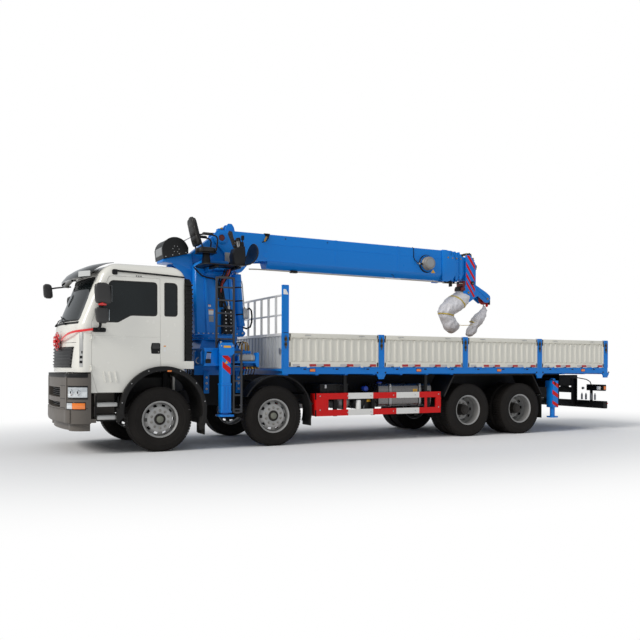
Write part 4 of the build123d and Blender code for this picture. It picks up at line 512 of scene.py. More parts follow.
# ---------------------------------------------------------------- wheels
# Rolled steel rims sprayed silver, with a pressed disc, ten cone nuts on studs and hand holes.
# The steered discs dome outwards round a greasy hub; the driven ones lie deep behind the outer barrel.
rim_silver = finish("rim_silver", (0.42, 0.42, 0.415), 0.38, metal=0.55, drift=0.1, drift_size=5, dust=0.35,
                    dust_top=1.2, grain=0.12)
hub_iron = finish("hub_iron", (0.022, 0.02, 0.0185), 0.5, metal=0.4, dust=0.15, dust_top=1.2, grain=0.3)
nut_steel = finish("nut_steel", (0.3, 0.29, 0.27), 0.4, metal=0.8, drift=0.2, drift_size=20)
cap_olive = finish("cap_olive", (0.17, 0.175, 0.14), 0.5, drift=0.15, drift_size=12)
BARREL = [(-0.12, 0.297), (-0.112, 0.297), (-0.106, 0.286), (0.106, 0.286), (0.112, 0.297), (0.12, 0.297),
          (0.1225, 0.292), (0.119, 0.286), (0.113, 0.279), (0.108, 0.271), (0.09, 0.266), (-0.09, 0.266),
          (-0.108, 0.271), (-0.12, 0.289)]


def disc_grid(shape, rows, holes, hole_rows, thick, steps=120):
    """A pressed disc of (along, radius) rows about Y with slots left out between two of its rows."""
    part = bmesh.new()
    rings = [[part.verts.new((r * math.sin(2 * math.pi * k / steps), a, r * math.cos(2 * math.pi * k / steps)))
              for k in range(steps)] for a, r in rows]
    for i in range(len(rows) - 1):
        for k in range(steps):
            place = (k * holes / steps) % 1
            if hole_rows[0] <= i < hole_rows[1] and 0.3 < place < 0.7:
                continue
            part.faces.new((rings[i][k], rings[i][(k + 1) % steps], rings[i + 1][(k + 1) % steps], rings[i + 1][k]))
    bmesh.ops.recalc_face_normals(part, faces=part.faces)
    bmesh.ops.solidify(part, geom=part.faces, thickness=thick)
    shape.take(part)


def wheel_nut(shape):
    """A hexagon nut with its washer on a stud, standing out along Y."""
    shape.lathe([(0.0, 0.0), (0.0, 0.0225), (0.003, 0.0225), (0.005, 0.019), (0.005, 0.0)], (0, 0, 0), steps=18,
                closed=False)
    shape.lathe([(0.004, 0.0175), (0.019, 0.0175), (0.022, 0.0145), (0.022, 0.0)], (0, 0, 0), steps=6, closed=False)
    shape.lathe([(0.02, 0.0), (0.02, 0.0095), (0.034, 0.0095), (0.036, 0.0075), (0.036, 0.0)], (0, 0, 0), steps=12,
                closed=False)


nut = small_mesh("nut", wheel_nut)
NUTS = repeated(RING, nut, 10, (0, 0, 0), radius=0.1425)


def placed(mesh, way, x, y):
    """A wheel's repeated pieces on the hub at x, turned outwards on the right side."""
    copy = mesh.copy()
    copy.transform(Matrix.Translation((x, way * y, TYRE_R)) @ Matrix.Rotation(0 if way > 0 else math.pi, 4, "Z"))
    return copy


for number, x in enumerate(AXLE_X, 1):
    for side, way in SIDES:
        wheel = Piece(f"wheel_disc_{number}_{side}", f"wheel_{number}_{side}", "rim_paint", rim_silver)
        disc = Piece("disc", "", "", None)
        if number < 3:
            centre = (x, way * STEER_Y, TYRE_R)
            wheel.lathe([(way * a, r) for a, r in BARREL], centre, steps=72)
            disc_grid(disc, [(0.05, 0.262), (0.055, 0.256), (0.062, 0.247), (0.074, 0.226), (0.087, 0.207),
                             (0.096, 0.197), (0.0985, 0.19), (0.0985, 0.1), (0.094, 0.09)], 10, (2, 4), 0.009)
            face, hub_rows = STEER_Y + 0.0985, [(0.02, 0.0), (0.02, 0.093), (0.1, 0.093), (0.104, 0.089),
                                                (0.104, 0.074), (0.09, 0.068), (0.09, 0.0)]
            cap_rows = [(0.088, 0.0), (0.088, 0.058), (0.118, 0.056), (0.127, 0.048), (0.134, 0.03), (0.136, 0.0)]
            drum_rows = [(-0.09, 0.205), (0.06, 0.205), (0.064, 0.19), (0.064, 0.09), (-0.085, 0.09), (-0.085, 0.19)]
        else:
            centre = (x, way * (TWIN_Y + TWIN_HALF), TYRE_R)
            for y in (TWIN_Y + TWIN_HALF, TWIN_Y - TWIN_HALF):
                wheel.lathe([(way * a, r) for a, r in BARREL], (x, way * y, TYRE_R), steps=72)
            disc_grid(disc, [(-0.05, 0.262), (-0.06, 0.256), (-0.09, 0.244), (-0.12, 0.229), (-0.148, 0.213),
                             (-0.157, 0.2), (-0.1575, 0.19), (-0.1575, 0.1)], 10, (2, 4), 0.011)
            disc_grid(disc, [(-0.29, 0.262), (-0.28, 0.256), (-0.25, 0.244), (-0.22, 0.229), (-0.192, 0.213),
                             (-0.183, 0.2), (-0.1825, 0.19), (-0.1825, 0.1)], 10, (2, 4), 0.011)
            face, hub_rows = TWIN_Y + TWIN_HALF - 0.152, [(-0.2, 0.0), (-0.2, 0.118), (-0.135, 0.118), (-0.12, 0.108),
                                                        (0.02, 0.1), (0.03, 0.092), (0.03, 0.0)]
            cap_rows = [(0.028, 0.0), (0.028, 0.07), (0.04, 0.066), (0.046, 0.05), (0.047, 0.0)]
            drum_rows = [(-0.27, 0.205), (-0.16, 0.205), (-0.156, 0.19), (-0.156, 0.11), (-0.265, 0.11), (-0.265, 0.19)]
        mesh = bpy.data.meshes.new("disc")
        disc.bm.to_mesh(mesh)
        disc.bm.free()
        middle_y = STEER_Y if number < 3 else TWIN_Y + TWIN_HALF
        wheel.add_mesh(placed(mesh, way, x, middle_y))
        wheel.use(nut_steel).add_mesh(placed(NUTS, way, x, face))
        wheel.use(hub_iron).lathe([(way * a, r) for a, r in hub_rows], centre, steps=40, closed=False)
        wheel.lathe([(way * a, r) for a, r in drum_rows], centre, steps=48)
        wheel.use(cap_olive if number < 3 else hub_iron).lathe([(way * a, r) for a, r in cap_rows], centre, steps=32,
                                                               closed=False)
        wheel.done(f"rim_{number}_{side}", smooth=32)

# ---------------------------------------------------------------- cab body and doors
# Pressed steel panels in cream-white gloss paint: one smooth skin, cut for the doors, windows and wheel
# arches with real shut lines, its edges hemmed inwards; rubber seals frame every pane.
NOSE_DROP, ROOF_Z = 2.01, 3.02


def cab_level(z):
    """Rear edge, half width, where the side ends and the nose of the cab's plan at height z."""
    rear, half, side_end, nose = 3.895, 1.15, 5.445, 5.755
    t = (min(z, NOSE_DROP) - 0.96) / (NOSE_DROP - 0.96)
    side_end, nose = side_end - 0.02 * t, nose - 0.03 * t + 0.012 * math.sin(math.pi * t)
    if z > NOSE_DROP:
        t = min((z - NOSE_DROP) / 0.84, 1.2)
        half -= 0.015 * t
        side_end -= 0.32 * t
        nose -= 0.33 * t
    if z > 2.8:
        t = min((z - 2.8) / (ROOF_Z - 2.8), 1.0)
        fall = 1 - math.sqrt(max(1 - t * t, 0))
        rear += 0.2 * fall
        half -= 0.24 * fall
        side_end -= 0.16 * fall
        nose -= 0.3 * fall
    return rear, half, side_end, nose


def cab_ring(z, inset=0.0):
    """Points of the plan at height z, from the middle of the back round the left side to the nose."""
    rear, half, side_end, nose = cab_level(z)
    rear, half, side_end, nose = rear + inset, half - inset, side_end - inset, nose - inset
    ring = [Vector((rear, (half - 0.07) * i / 10, z)) for i in range(10)]
    ring += [Vector((rear + 0.07 * (1 - math.cos(a)), half - 0.07 + 0.07 * math.sin(a), z))
             for a in (math.pi / 2 * i / 6 for i in range(6))]
    ring += [Vector((rear + 0.07 + (side_end - rear - 0.07) * i / 30, half, z)) for i in range(30)]
    end, way = Vector((nose - 0.11, half - 0.33)), Vector((0.264, -0.965))
    start = Vector((side_end, half))
    reach = (end - start).length * 0.5
    one, two = start + Vector((reach * 0.95, 0)), end - way * reach * 0.72
    for i in range(18):
        t = i / 18
        p = start * (1 - t) ** 3 + one * 3 * t * (1 - t) ** 2 + two * 3 * t * t * (1 - t) + end * t ** 3
        ring.append(Vector((p.x, p.y, z)))
    for i in range(15):
        y = end.y * (1 - i / 14)
        ring.append(Vector((nose - 0.11 * (y / end.y) ** 2, y, z)))
    return ring


def cab_skin(levels, inset=0.0, closed_top=False):
    """The left half of the cab's surface as a grid of quads through the given heights, and its mirror image."""
    part = bmesh.new()
    rows = [[part.verts.new(p) for p in cab_ring(z, inset)] for z in levels]
    for low, high in zip(rows, rows[1:]):
        for i in range(len(low) - 1):
            part.faces.new((low[i], low[i + 1], high[i + 1], high[i]))
    if closed_top:
        ring = [v.co.copy() for v in rows[-1]]
        inner = rows[-1]
        for k in range(1, 6):
            t = k / 6
            row = [part.verts.new(Vector((p.x * (1 - t) + 4.5 * t, p.y * (1 - t), p.z + 0.012 * (1 - (1 - t) ** 2))))
                   for p in ring]
            for i in range(len(row) - 1):
                part.faces.new((inner[i], inner[i + 1], row[i + 1], row[i]))
            inner = row
        middle = part.verts.new((4.5, 0, ring[0].z + 0.013))
        for i in range(len(inner) - 1):
            part.faces.new((inner[i], inner[i + 1], middle))
    double = part.copy()
    bmesh.ops.scale(double, vec=Vector((1, -1, 1)), verts=double.verts)
    bmesh.ops.reverse_faces(double, faces=double.faces)
    mesh = bpy.data.meshes.new("half")
    double.to_mesh(mesh)
    double.free()
    part.from_mesh(mesh)
    bpy.data.meshes.remove(mesh)
    bmesh.ops.remove_doubles(part, verts=part.verts, dist=1e-5)
    return part


def rounded(outline, radius, steps=5):
    """An outline with its corners rounded; radius is one number or one for each corner."""
    points = [Vector(p) for p in outline]
    count = len(points)
    radii = radius if hasattr(radius, "__len__") else [radius] * count
    result = []
    for i, point in enumerate(points):
        to_last, to_next = points[i - 1] - point, points[(i + 1) % count] - point
        r = radii[i]
        if r <= 0:
            result.append(point)
            continue
        half = to_last.angle(to_next) / 2
        back = min(r / math.tan(half), to_last.length * 0.49, to_next.length * 0.49)
        start, end = point + to_last.normalized() * back, point + to_next.normalized() * back
        for k in range(steps + 1):
            t = k / steps
            result.append(start * (1 - t) ** 2 + point * 2 * t * (1 - t) + end * t * t)
    return result


def plate(left, right, foot, top, radius, *more):
    """Outline of a rectangle with rounded corners."""
    return rounded([(left, foot), (right, foot), (right, top), (left, top)], radius, *more)


def grown(outline, by):
    """The outline moved outwards by a distance (inwards when negative); the outline runs anticlockwise."""
    points = [Vector(p) for p in outline]
    area = sum(points[i - 1].x * p.y - p.x * points[i - 1].y for i, p in enumerate(points))
    way = 1 if area > 0 else -1
    result = []
    for i, point in enumerate(points):
        last, after = (point - points[i - 1]).normalized(), (points[(i + 1) % len(points)] - point).normalized()
        one, two = Vector((last.y, -last.x)) * way, Vector((after.y, -after.x)) * way
        middle = (one + two).normalized()
        result.append(point + middle * by / max(middle.dot(one), 0.4))
    return result


def inside(outline, a, b):
    """Whether the point (a, b) lies in the outline."""
    odd = False
    for i, p in enumerate(outline):
        q = outline[i - 1]
        if (p[1] > b) != (q[1] > b) and a < (q[0] - p[0]) * (b - p[1]) / (q[1] - p[1]) + p[0]:
            odd = not odd
    return odd


def cut(part, outline, axes, wanted, near=lambda c: True):
    """Cuts the surface along an outline seen along one axis, and keeps what lies inside it or outside it."""
    first, second = axes
    for i, p in enumerate(outline):
        q = outline[i - 1]
        low = (min(p[0], q[0]) - 0.004, min(p[1], q[1]) - 0.004)
        high = (max(p[0], q[0]) + 0.004, max(p[1], q[1]) + 0.004)
        touched = []
        for face in part.faces:
            if not near(face.calc_center_median()):
                continue
            a = [v.co[first] for v in face.verts]
            b = [v.co[second] for v in face.verts]
            if max(a) >= low[0] and min(a) <= high[0] and max(b) >= low[1] and min(b) <= high[1]:
                touched.append(face)
        if not touched:
            continue
        point, normal = Vector((0, 0, 0)), Vector((0, 0, 0))
        point[first], point[second] = p[0], p[1]
        normal[first], normal[second] = q[1] - p[1], p[0] - q[0]
        if normal.length < 1e-7:
            continue
        edges = list({e for f in touched for e in f.edges})
        verts = list({v for f in touched for v in f.verts})
        bmesh.ops.bisect_plane(part, geom=touched + edges + verts, plane_co=point, plane_no=normal.normalized(),
                               dist=1e-6)
    drop = []
    for face in part.faces:
        centre = face.calc_center_median()
        if near(centre):
            if inside(outline, centre[first], centre[second]) != (wanted == "inside"):
                drop.append(face)
        elif wanted == "inside":
            drop.append(face)
    bmesh.ops.delete(part, geom=drop, context="FACES")
    return part


def hem(part, depth):
    """Gives a skin its thickness inwards, with a small rolled edge."""
    bmesh.ops.recalc_face_normals(part, faces=part.faces)
    centre = Vector((4.75, 0, 1.9))
    if sum(((f.calc_center_median() - centre).dot(f.normal) * f.calc_area()) for f in part.faces) < 0:
        bmesh.ops.reverse_faces(part, faces=part.faces)
    rim = [e for e in part.edges if len(e.link_faces) == 1]
    made = bmesh.ops.extrude_edge_only(part, edges=rim)
    fresh = [v for v in made["geom"] if isinstance(v, bmesh.types.BMVert)]
    for vert in fresh:
        near_centre = Vector((vert.co.x, 0, vert.co.z)) if abs(vert.co.y) > 0.9 and vert.co.x < 5.4 else \
            Vector((4.75, 0, vert.co.z))
        inward = near_centre - vert.co
        if inward.length > 1e-6:
            vert.co += inward.normalized() * depth
    return part


left_side = lambda c: c.y > 0.55
right_side = lambda c: c.y < -0.55
ahead = lambda c: c.x > 4.95 and abs(c.y) < 1.09
BOTH_SIDES = ((left_side, 1), (right_side, -1))
ARCH, ARCH_R = (4.265, 0.66), 0.715
arch_line = [(ARCH[0] + ARCH_R * math.cos(math.radians(a)), ARCH[1] + ARCH_R * math.sin(math.radians(a)))
             for a in range(-5, 186, 5)] + [(3.5, 0.2), (5.1, 0.2)]
door_line = rounded([(4.926, 0.968), (5.305, 0.968), (5.392, 1.29), (5.392, 2.05), (5.128, 2.79), (4.308, 2.79)],
                    [0.004, 0.03, 0.05, 0.12, 0.06, 0.035])
door_line += [(ARCH[0] + (ARCH_R + 0.004) * math.cos(math.radians(a)),
               ARCH[1] + (ARCH_R + 0.004) * math.sin(math.radians(a))) for a in range(86, 26, -6)]
window_line = rounded([(5.343, 2.062), (5.112, 2.728), (4.362, 2.728), (4.362, 2.178), (4.79, 2.178), (4.99, 2.062)],
                      [0.05, 0.09, 0.07, 0.06, 0.16, 0.1])
quarter_line = rounded([(4.252, 2.182), (4.252, 2.732), (4.028, 2.732), (4.028, 2.182)], [0.03, 0.03, 0.08, 0.06])
screen_line = rounded([(-1.0, 2.085), (1.0, 2.085), (0.95, 2.795), (-0.95, 2.795)], 0.07)
rear_line = plate(-0.42, 0.42, 2.18, 2.62, 0.06)

LEVELS = [0.962 + 0.0475 * i for i in range(23)] + [2.01 + 0.04 * i for i in range(20)] + \
         [2.8 + (ROOF_Z - 2.8) * math.sin(math.radians(4 * i)) for i in range(1, 23)]
cab_cream = finish("cab_cream", (0.80, 0.785, 0.725), 0.24, clear=0.45, drift=0.015, drift_size=0.8, dust=0.1,
                   dust_top=1.3)
seal_rubber = finish("seal_rubber", (0.005, 0.005, 0.005), 0.55, grain=0.1)
glass_dark = finish("glass_dark", (0.009, 0.012, 0.0125), 0.05, drift=0.7, drift_size=1.4, gloss=0.45)
shell = cab_skin(LEVELS, closed_top=True)
cut(shell, [(5.4015, 0.9), (5.9, 0.9), (5.9, 1.282), (5.4015, 1.282)], (0, 2), "outside")
for near, way in BOTH_SIDES:
    cut(shell, arch_line, (0, 2), "outside", near)
    cut(shell, grown(door_line, 0.0035), (0, 2), "outside", near)
    cut(shell, quarter_line, (0, 2), "outside", near)
cut(shell, screen_line, (1, 2), "outside", ahead)
cut(shell, rear_line, (1, 2), "outside", lambda c: c.x < 3.92)
body = Piece("cab_body", "chassis", "cab_paint", cab_cream)
hem(shell, 0.035)
for face in shell.faces:
    face.material_index = 0
mesh = bpy.data.meshes.new("shell")
shell.to_mesh(mesh)
shell.free()
body.add_mesh(mesh)


def framed(piece, part_levels, outline, axes, near, border, glass, rubber, depth=0.012):
    """A pane with its rubber seal: the seal fills the border inside the outline, the glass the rest."""
    pane = cut(cab_skin(part_levels, depth), outline, axes, "inside", near)
    mesh = bpy.data.meshes.new("pane")
    pane.to_mesh(mesh)
    pane.free()
    glass.add_mesh(mesh)
    strip = cut(cut(cab_skin(part_levels, depth - 0.006), grown(outline, 0.0), axes, "inside", near),
                grown(outline, -border), axes, "outside", near)
    edges = [e for e in strip.edges if len(e.link_faces) == 1]
    made = bmesh.ops.extrude_edge_only(strip, edges=edges)
    for vert in [v for v in made["geom"] if isinstance(v, bmesh.types.BMVert)]:
        if axes[0] == 0:
            vert.co.y -= math.copysign(0.012, vert.co.y)
        else:
            vert.co.x -= 0.012 if vert.co.x > 4.5 else -0.012
    mesh = bpy.data.meshes.new("seal")
    strip.to_mesh(mesh)
    strip.free()
    piece.use(rubber).add_mesh(mesh)


WINDOW_LEVELS = [z for z in LEVELS if 1.99 < z < 2.9]
glass = Piece("cab_panes", "chassis", "window_glass", glass_dark)
framed(body, WINDOW_LEVELS, screen_line, (1, 2), ahead, 0.03, glass, seal_rubber)
framed(body, WINDOW_LEVELS, rear_line, (1, 2), lambda c: c.x < 3.92, 0.03, glass, seal_rubber)
for near, way in BOTH_SIDES:
    framed(body, WINDOW_LEVELS, quarter_line, (0, 2), near, 0.022, glass, seal_rubber)
body.done("cab_shell", smooth=32)
glass.done(smooth=32)
for (near, way), (side, _) in zip(BOTH_SIDES, SIDES):
    skin = cut(cab_skin([z for z in LEVELS if z < 2.9]), door_line, (0, 2), "inside", near)
    cut(skin, window_line, (0, 2), "outside", near)
    hem(skin, 0.04)
    mesh = bpy.data.meshes.new("door")
    skin.to_mesh(mesh)
    skin.free()
    door = Piece(f"door_skin_{side}", f"door_{side}", "cab_paint", cab_cream).add_mesh(mesh)
    pane = Piece(f"door_pane_{side}", f"door_{side}", "window_glass", glass_dark)
    framed(door, WINDOW_LEVELS, window_line, (0, 2), near, 0.022, pane, seal_rubber)
    door.done(f"door_{side}", smooth=32)
    pane.done(f"door_glass_{side}", smooth=32)

# ---------------------------------------------------------------- bumper, lamps and cab steps
# A moulded grey bumper in three tiers with dark slots through it; glass headlamps and clear-and-amber
# indicators wrap round its corners, and folded aluminium steps hang below each door.
bumper_grey = finish("bumper_grey", (0.115, 0.102, 0.09), 0.46, grain=0.18, dust=0.1, gloss=0.3,
                     dust_top=0.9, drift=0.08)
trim_black = finish("trim_black", (0.006, 0.006, 0.0065), 0.5, grain=0.2, dust=0.05, gloss=0.25)
lamp_glass = finish("lamp_glass", (0.62, 0.65, 0.67), 0.06, metal=0.35, drift=0.25, drift_size=16, gloss=0.9, clear=1.0)
lamp_bowl = finish("lamp_bowl", (0.8, 0.82, 0.84), 0.12, metal=0.9, drift=0.05)
lamp_amber = finish("lamp_amber", (0.85, 0.2, 0.01), 0.12, clear=1.0, drift=0.12, drift_size=30)
lamp_red = finish("lamp_red", (0.6, 0.012, 0.01), 0.14, clear=1.0, drift=0.12, drift_size=30)
step_alloy = finish("step_alloy", (0.5, 0.5, 0.49), 0.34, metal=0.85, drift=0.12, drift_size=8, dust=0.2)
wear(bumper_grey, "bumper")


def bumper_plan(start, end, off=0.0, steps=16):
    """Plan points of the bumper's left half between two lengths along it: 0 to 0.868 runs from the middle
    to where the corner starts, then one metre more for the corner's full turn."""
    points = []
    for i in range(steps + 1):
        s = start + (end - start) * i / steps
        if s <= 0.868:
            x = 1.066 + math.sqrt(4.749 ** 2 - s * s)
            way = Vector((x - 1.066, s)).normalized()
            points.append(Vector((x, s)) + way * off)
        else:
            a = math.radians(98.8) * (1 - (s - 0.868))
            points.append(Vector((5.452 + (0.2863 + off) * math.sin(a), 0.9117 + (0.2863 + off) * math.cos(a))))
    return points


def swept(piece, path, low, high, inner, outer, way=1, edge=0.0):
    """A strip that follows a plan path, from height low to high and from inner to outer beside the path."""
    part = bmesh.new()
    rings = []
    for i, p in enumerate(path):
        before, after = path[max(i - 1, 0)], path[min(i + 1, len(path) - 1)]
        along = (Vector(after[:2]) - Vector(before[:2])).normalized()
        out = Vector((along.y, -along.x))
        if out.dot(Vector(p[:2]) - Vector((4.6, 0))) < 0:
            out = -out
        rings.append([part.verts.new((p[0] + out.x * off, way * (p[1] + out.y * off), z))
                      for off, z in ((inner, low), (outer, low), (outer, high), (inner, high))])
    for one, two in zip(rings, rings[1:]):
        for k in range(4):
            part.faces.new((one[k], one[(k + 1) % 4], two[(k + 1) % 4], two[k]))
    part.faces.new(reversed(rings[0]))
    part.faces.new(rings[-1])
    return piece.take(part, edge, 2, 50)


lamps = Piece("bumper_lamps", "chassis", "bumper_paint", trim_black)
for way in (1, -1):
    swept(lamps.use(trim_black), bumper_plan(1.16, 1.86), 0.876, 1.066, -0.02, 0.004, way, 0.003)
    swept(lamps, bumper_plan(1.1, 1.8), 0.7, 0.822, -0.02, 0.003, way, 0.003)
    swept(lamps.use(lamp_glass), bumper_plan(1.185, 1.845), 0.893, 1.05, -0.01, 0.01, way, 0.006)
    swept(lamps.use(lamp_glass), bumper_plan(1.12, 1.37), 0.716, 0.808, -0.01, 0.01, way, 0.004)
    swept(lamps.use(lamp_amber), bumper_plan(1.375, 1.78), 0.716, 0.808, -0.01, 0.01, way, 0.004)
    for s, r in ((1.32, 0.056), (1.56, 0.05)):
        at = bumper_plan(s, s + 0.01, 0.011)[0]
        ahead_of = (at - Vector((5.452, 0.9117))).normalized()
        lamps.use(lamp_bowl).tube([(at.x - ahead_of.x * 0.03, way * (at.y - ahead_of.y * 0.03), 0.972),
                                   (at.x, way * at.y, 0.972), (at.x + 0.002 * ahead_of.x, way * at.y, 0.972)],
                                  [r, r, r * 0.94], 24)
        lamps.use(trim_black).ball((at.x + 0.002, way * at.y, 0.972), (0.01, 0.02, 0.02))
    # fog lamps in the lower beam, the towing eye covers and the shut lines of the tiers
    swept(lamps.use(trim_black), bumper_plan(0.66, 0.84), 0.53, 0.66, -0.01, 0.003, way, 0.003)
    swept(lamps.use(lamp_glass), bumper_plan(0.68, 0.82), 0.55, 0.64, -0.01, 0.006, way, 0.004)
    for z in (0.724, 0.866, 1.07):
        swept(lamps.use(trim_black), bumper_plan(0.62, 1.86, 0.0, 30), z - 0.004, z + 0.004, -0.01, 0.0015, way)
    swept(lamps.use(bumper_grey), bumper_plan(0.0, 1.3, 0.0, 30), 0.497, 0.7, -0.02, 0.018, way, 0.012)
    swept(lamps, bumper_plan(0.0, 1.86, 0.0, 30), 1.232, 1.252, -0.02, 0.006, way, 0.004)
    swept(lamps, bumper_plan(1.0, 1.1, 0.0, 6), 0.71, 1.215, -0.01, 0.012, way, 0.005)
    swept(lamps.use(trim_black), bumper_plan(0.0, 1.86, 0.0, 30), 1.2, 1.262, -0.01, 0.0085, way, 0.004)
    lamps.use(bumper_grey)
for z in (0.912, 0.944, 0.976, 1.008):
    for way in (1, -1):
        swept(lamps.use(trim_black), bumper_plan(0.0, 0.6, -0.06), z - 0.006, z + 0.006, -0.05, 0.0, way)
for z in (0.75, 0.78):
    for way in (1, -1):
        swept(lamps, bumper_plan(0.0, 0.6, -0.06), z - 0.005, z + 0.005, -0.05, 0.0, way)
lamps.use(trim_black).bar((5.5, 5.56), (-0.62, 0.62), (0.7, 1.06), 0.01)
lamps.done()


def step_plate(shape):
    """One serrated rib of a step's tread."""
    shape.bar((-0.15, 0.15), (-0.004, 0.004), (0, 0.008), 0.0015, 1)


rib = small_mesh("step_rib", step_plate)
steps = Piece("cab_steps", "chassis", "bumper_paint", trim_black)
for way in (1, -1):
    for z, low, high in ((0.59, 0.87, 1.172), (0.79, 0.87, 1.162)):
        middle = way * (low + high) / 2
        steps.use(step_alloy).bar((5.0, 5.31), across(way, low, high), (z - 0.004, z + 0.012), 0.004)
        steps.prism(((5.0, z + 0.012), (5.31, z + 0.012), (5.31, z - 0.045), (5.0, z - 0.045)), "Y",
                    *across(way, high + 0.004, high - 0.006), edge=0.004)
        steps.add_mesh(repeated(ROW, rib, 9, (5.155, middle - 0.12, z + 0.012), (0, 0.03, 0)))
    steps.use(trim_black).tube([(5.33, way * 1.175, 0.92), (5.34, way * 1.178, 0.7), (5.335, way * 1.17, 0.56),
                                (5.31, way * 1.165, 0.53), (5.02, way * 1.165, 0.53), (4.99, way * 1.165, 0.56),
                                (4.985, way * 1.16, 0.9)], 0.011, 8)
steps.done()

# ---------------------------------------------------------------- grille, screen pillars, visor and wipers
# A black moulded grille of slats let into the cab's nose, vent slots beside it, a smoked acrylic visor
# screwed to the brow, two pantograph wipers and a folded gutter over each door.
grille_black = finish("grille_black", (0.009, 0.009, 0.01), 0.36, grain=0.12, gloss=0.3)
visor_smoke = finish("visor_smoke", (0.008, 0.01, 0.01), 0.1, clear=0.5, gloss=0.5, drift=0.3)
visor_pale = finish("visor_pale", (0.55, 0.56, 0.55), 0.2, clear=0.6, drift=0.06)
NOSE_LEVELS = [z for z in LEVELS if 1.2 < z < 2.1]


def nose_line(z, low, high, inset=0.0, steps=24):
    """Plan points on the cab's front at height z between two offsets from the middle line."""
    ring = [p for p in cab_ring(z, inset)[46:]]
    ring.reverse()
    points = []
    for i in range(steps + 1):
        y = low + (high - low) * i / steps
        a = abs(y)
        for p, q in zip(ring, ring[1:]):
            if p.y <= a <= q.y or q is ring[-1]:
                t = (a - p.y) / max(q.y - p.y, 1e-6)
                points.append(Vector((p.x + (q.x - p.x) * t, y)))
                break
    return points


front = Piece("grille_and_trim", "chassis", "cab_paint", grille_black)
grille_line = rounded([(-0.83, 1.36), (0.83, 1.36), (0.905, 1.67), (-0.905, 1.67)], 0.03)
panel = cut(cab_skin(NOSE_LEVELS, -0.003), grille_line, (1, 2), "inside", ahead)
mesh = bpy.data.meshes.new("panel")
panel.to_mesh(mesh)
panel.free()
front.add_mesh(mesh)
for i in range(6):
    z = 1.385 + 0.052 * i
    half = 0.815 + 0.07 * (z - 1.36) / 0.31
    swept(front, nose_line(z, -half, half, 0, 30), z, z + 0.022, 0.0, 0.02, 1, 0.004)
for z, half in ((1.352, 0.84), (1.664, 0.915)):
    swept(front, nose_line(z, -half, half, 0, 30), z, z + 0.016, -0.004, 0.013, 1, 0.003)
# crease across the nose under the screen, drawn as a thin black strip that is painted shade along it, and the two air
# slots on each front corner
for z in (1.745,):
    swept(front.use(seal_rubber), nose_line(z, -1.0, 1.0, 0, 30), z - 0.003, z + 0.003, -0.01, 0.0008)
for way in (1, -1):
    swept(front.use(step_alloy), nose_line(1.36, 1.092, 1.132, 0, 8), 1.36, 1.9, -0.01, 0.0012, way, 0.001)
    for i in range(6):
        z = 1.42 + 0.075 * i
        swept(front.use(trim_black), nose_line(z, 1.096, 1.128, 0, 8), z, z + 0.042, -0.01, 0.004, way, 0.001)
# wipers: spindle, arm and blade on the dark screen
for y, reach in ((0.52, 0.62), (-0.28, 0.62)):
    foot = nose_line(2.035, y, y + 0.01)[0]
    mid = nose_line(2.15, y - 0.32, y - 0.31)[0]
    front.use(trim_black).rod((foot.x - 0.01, y, 2.045), (foot.x + 0.03, y, 2.05), 0.014, 12)
    front.tube([(foot.x + 0.024, y, 2.05), (mid.x + 0.045, y - 0.22, 2.115), (mid.x + 0.024, y - 0.32, 2.15)],
               [0.01, 0.008, 0.006], 8)
    low_end, high_end = nose_line(2.1, y, y + 0.01)[0], nose_line(2.2, y - 0.63, y - 0.62)[0]
    front.tube([(low_end.x + 0.012, y, 2.1), (mid.x + 0.018, y - 0.32, 2.15), (high_end.x + 0.012, y - 0.62, 2.2)],
               0.009, 6)
# body-coloured lip and cowl panel under the screen
swept(front.use(trim_black), nose_line(2.06, -1.0, 1.0, 0, 30), 2.04, 2.075, -0.004, 0.012, 1, 0.004)
front.done()


def visor_x(nose, t):
    """The visor's plan: curved back from its nose, tightest near the two ends at t -1 and 1."""
    return nose - 0.13 * t * t - 0.1 * t ** 8


visor = Piece("sun_visor", "chassis", "window_glass", visor_smoke)
VISOR_ROWS = ((2.775, 5.63, 1.03), (2.81, 5.627, 1.028), (2.89, 5.565, 1.01), (2.955, 5.47, 0.985), (3.005, 5.36, 0.95),
              (3.038, 5.235, 0.9))
part = bmesh.new()
rows = []
for z, nose, half in VISOR_ROWS:
    rows.append([part.verts.new((visor_x(nose, t), half * t, z)) for t in
                 ((i - 20) / 20 for i in range(41))])
for low, high in zip(rows, rows[1:]):
    for i in range(40):
        face = part.faces.new((low[i], low[i + 1], high[i + 1], high[i]))
bmesh.ops.recalc_face_normals(part, faces=part.faces)
bmesh.ops.solidify(part, geom=part.faces, thickness=0.007)
visor.take(part)
pale = [Vector((visor_x(5.626, t), 1.028 * t)) for t in (0.78 + 0.22 * i / 10 for i in range(11))]
swept(visor.use(visor_pale), pale, 2.785, 2.87, -0.006, 0.004, 1)
for y in (-0.7, 0.0, 0.7):
    visor.use(trim_black).rod((5.17, y, 2.88), (5.42 - 0.06 * abs(y) / 0.7, y, 2.88), 0.012, 12)
    visor.ball((5.45 - 0.065 * abs(y) / 0.7, y, 2.88), (0.02, 0.02, 0.02), 12, 8)
visor.done("cab_glass")

# ---------------------------------------------------------------- mirrors, handles and other cab fittings
# Moulded mirror housings on tube arms, a pull handle let into each door, the ribbed air intake up the
# cab's back corner, and small lamps; all screwed on from outside.
mirror_grey = finish("mirror_grey", (0.035, 0.034, 0.034), 0.36, grain=0.12, drift=0.06, gloss=0.4)
mirror_face = finish("mirror_face", (0.6, 0.63, 0.65), 0.04, metal=1.0, drift=0.03)
label_white = finish("label_white", (0.8, 0.8, 0.78), 0.45, drift=0.03)
label_orange = finish("label_orange", (0.75, 0.3, 0.05), 0.45, drift=0.05)


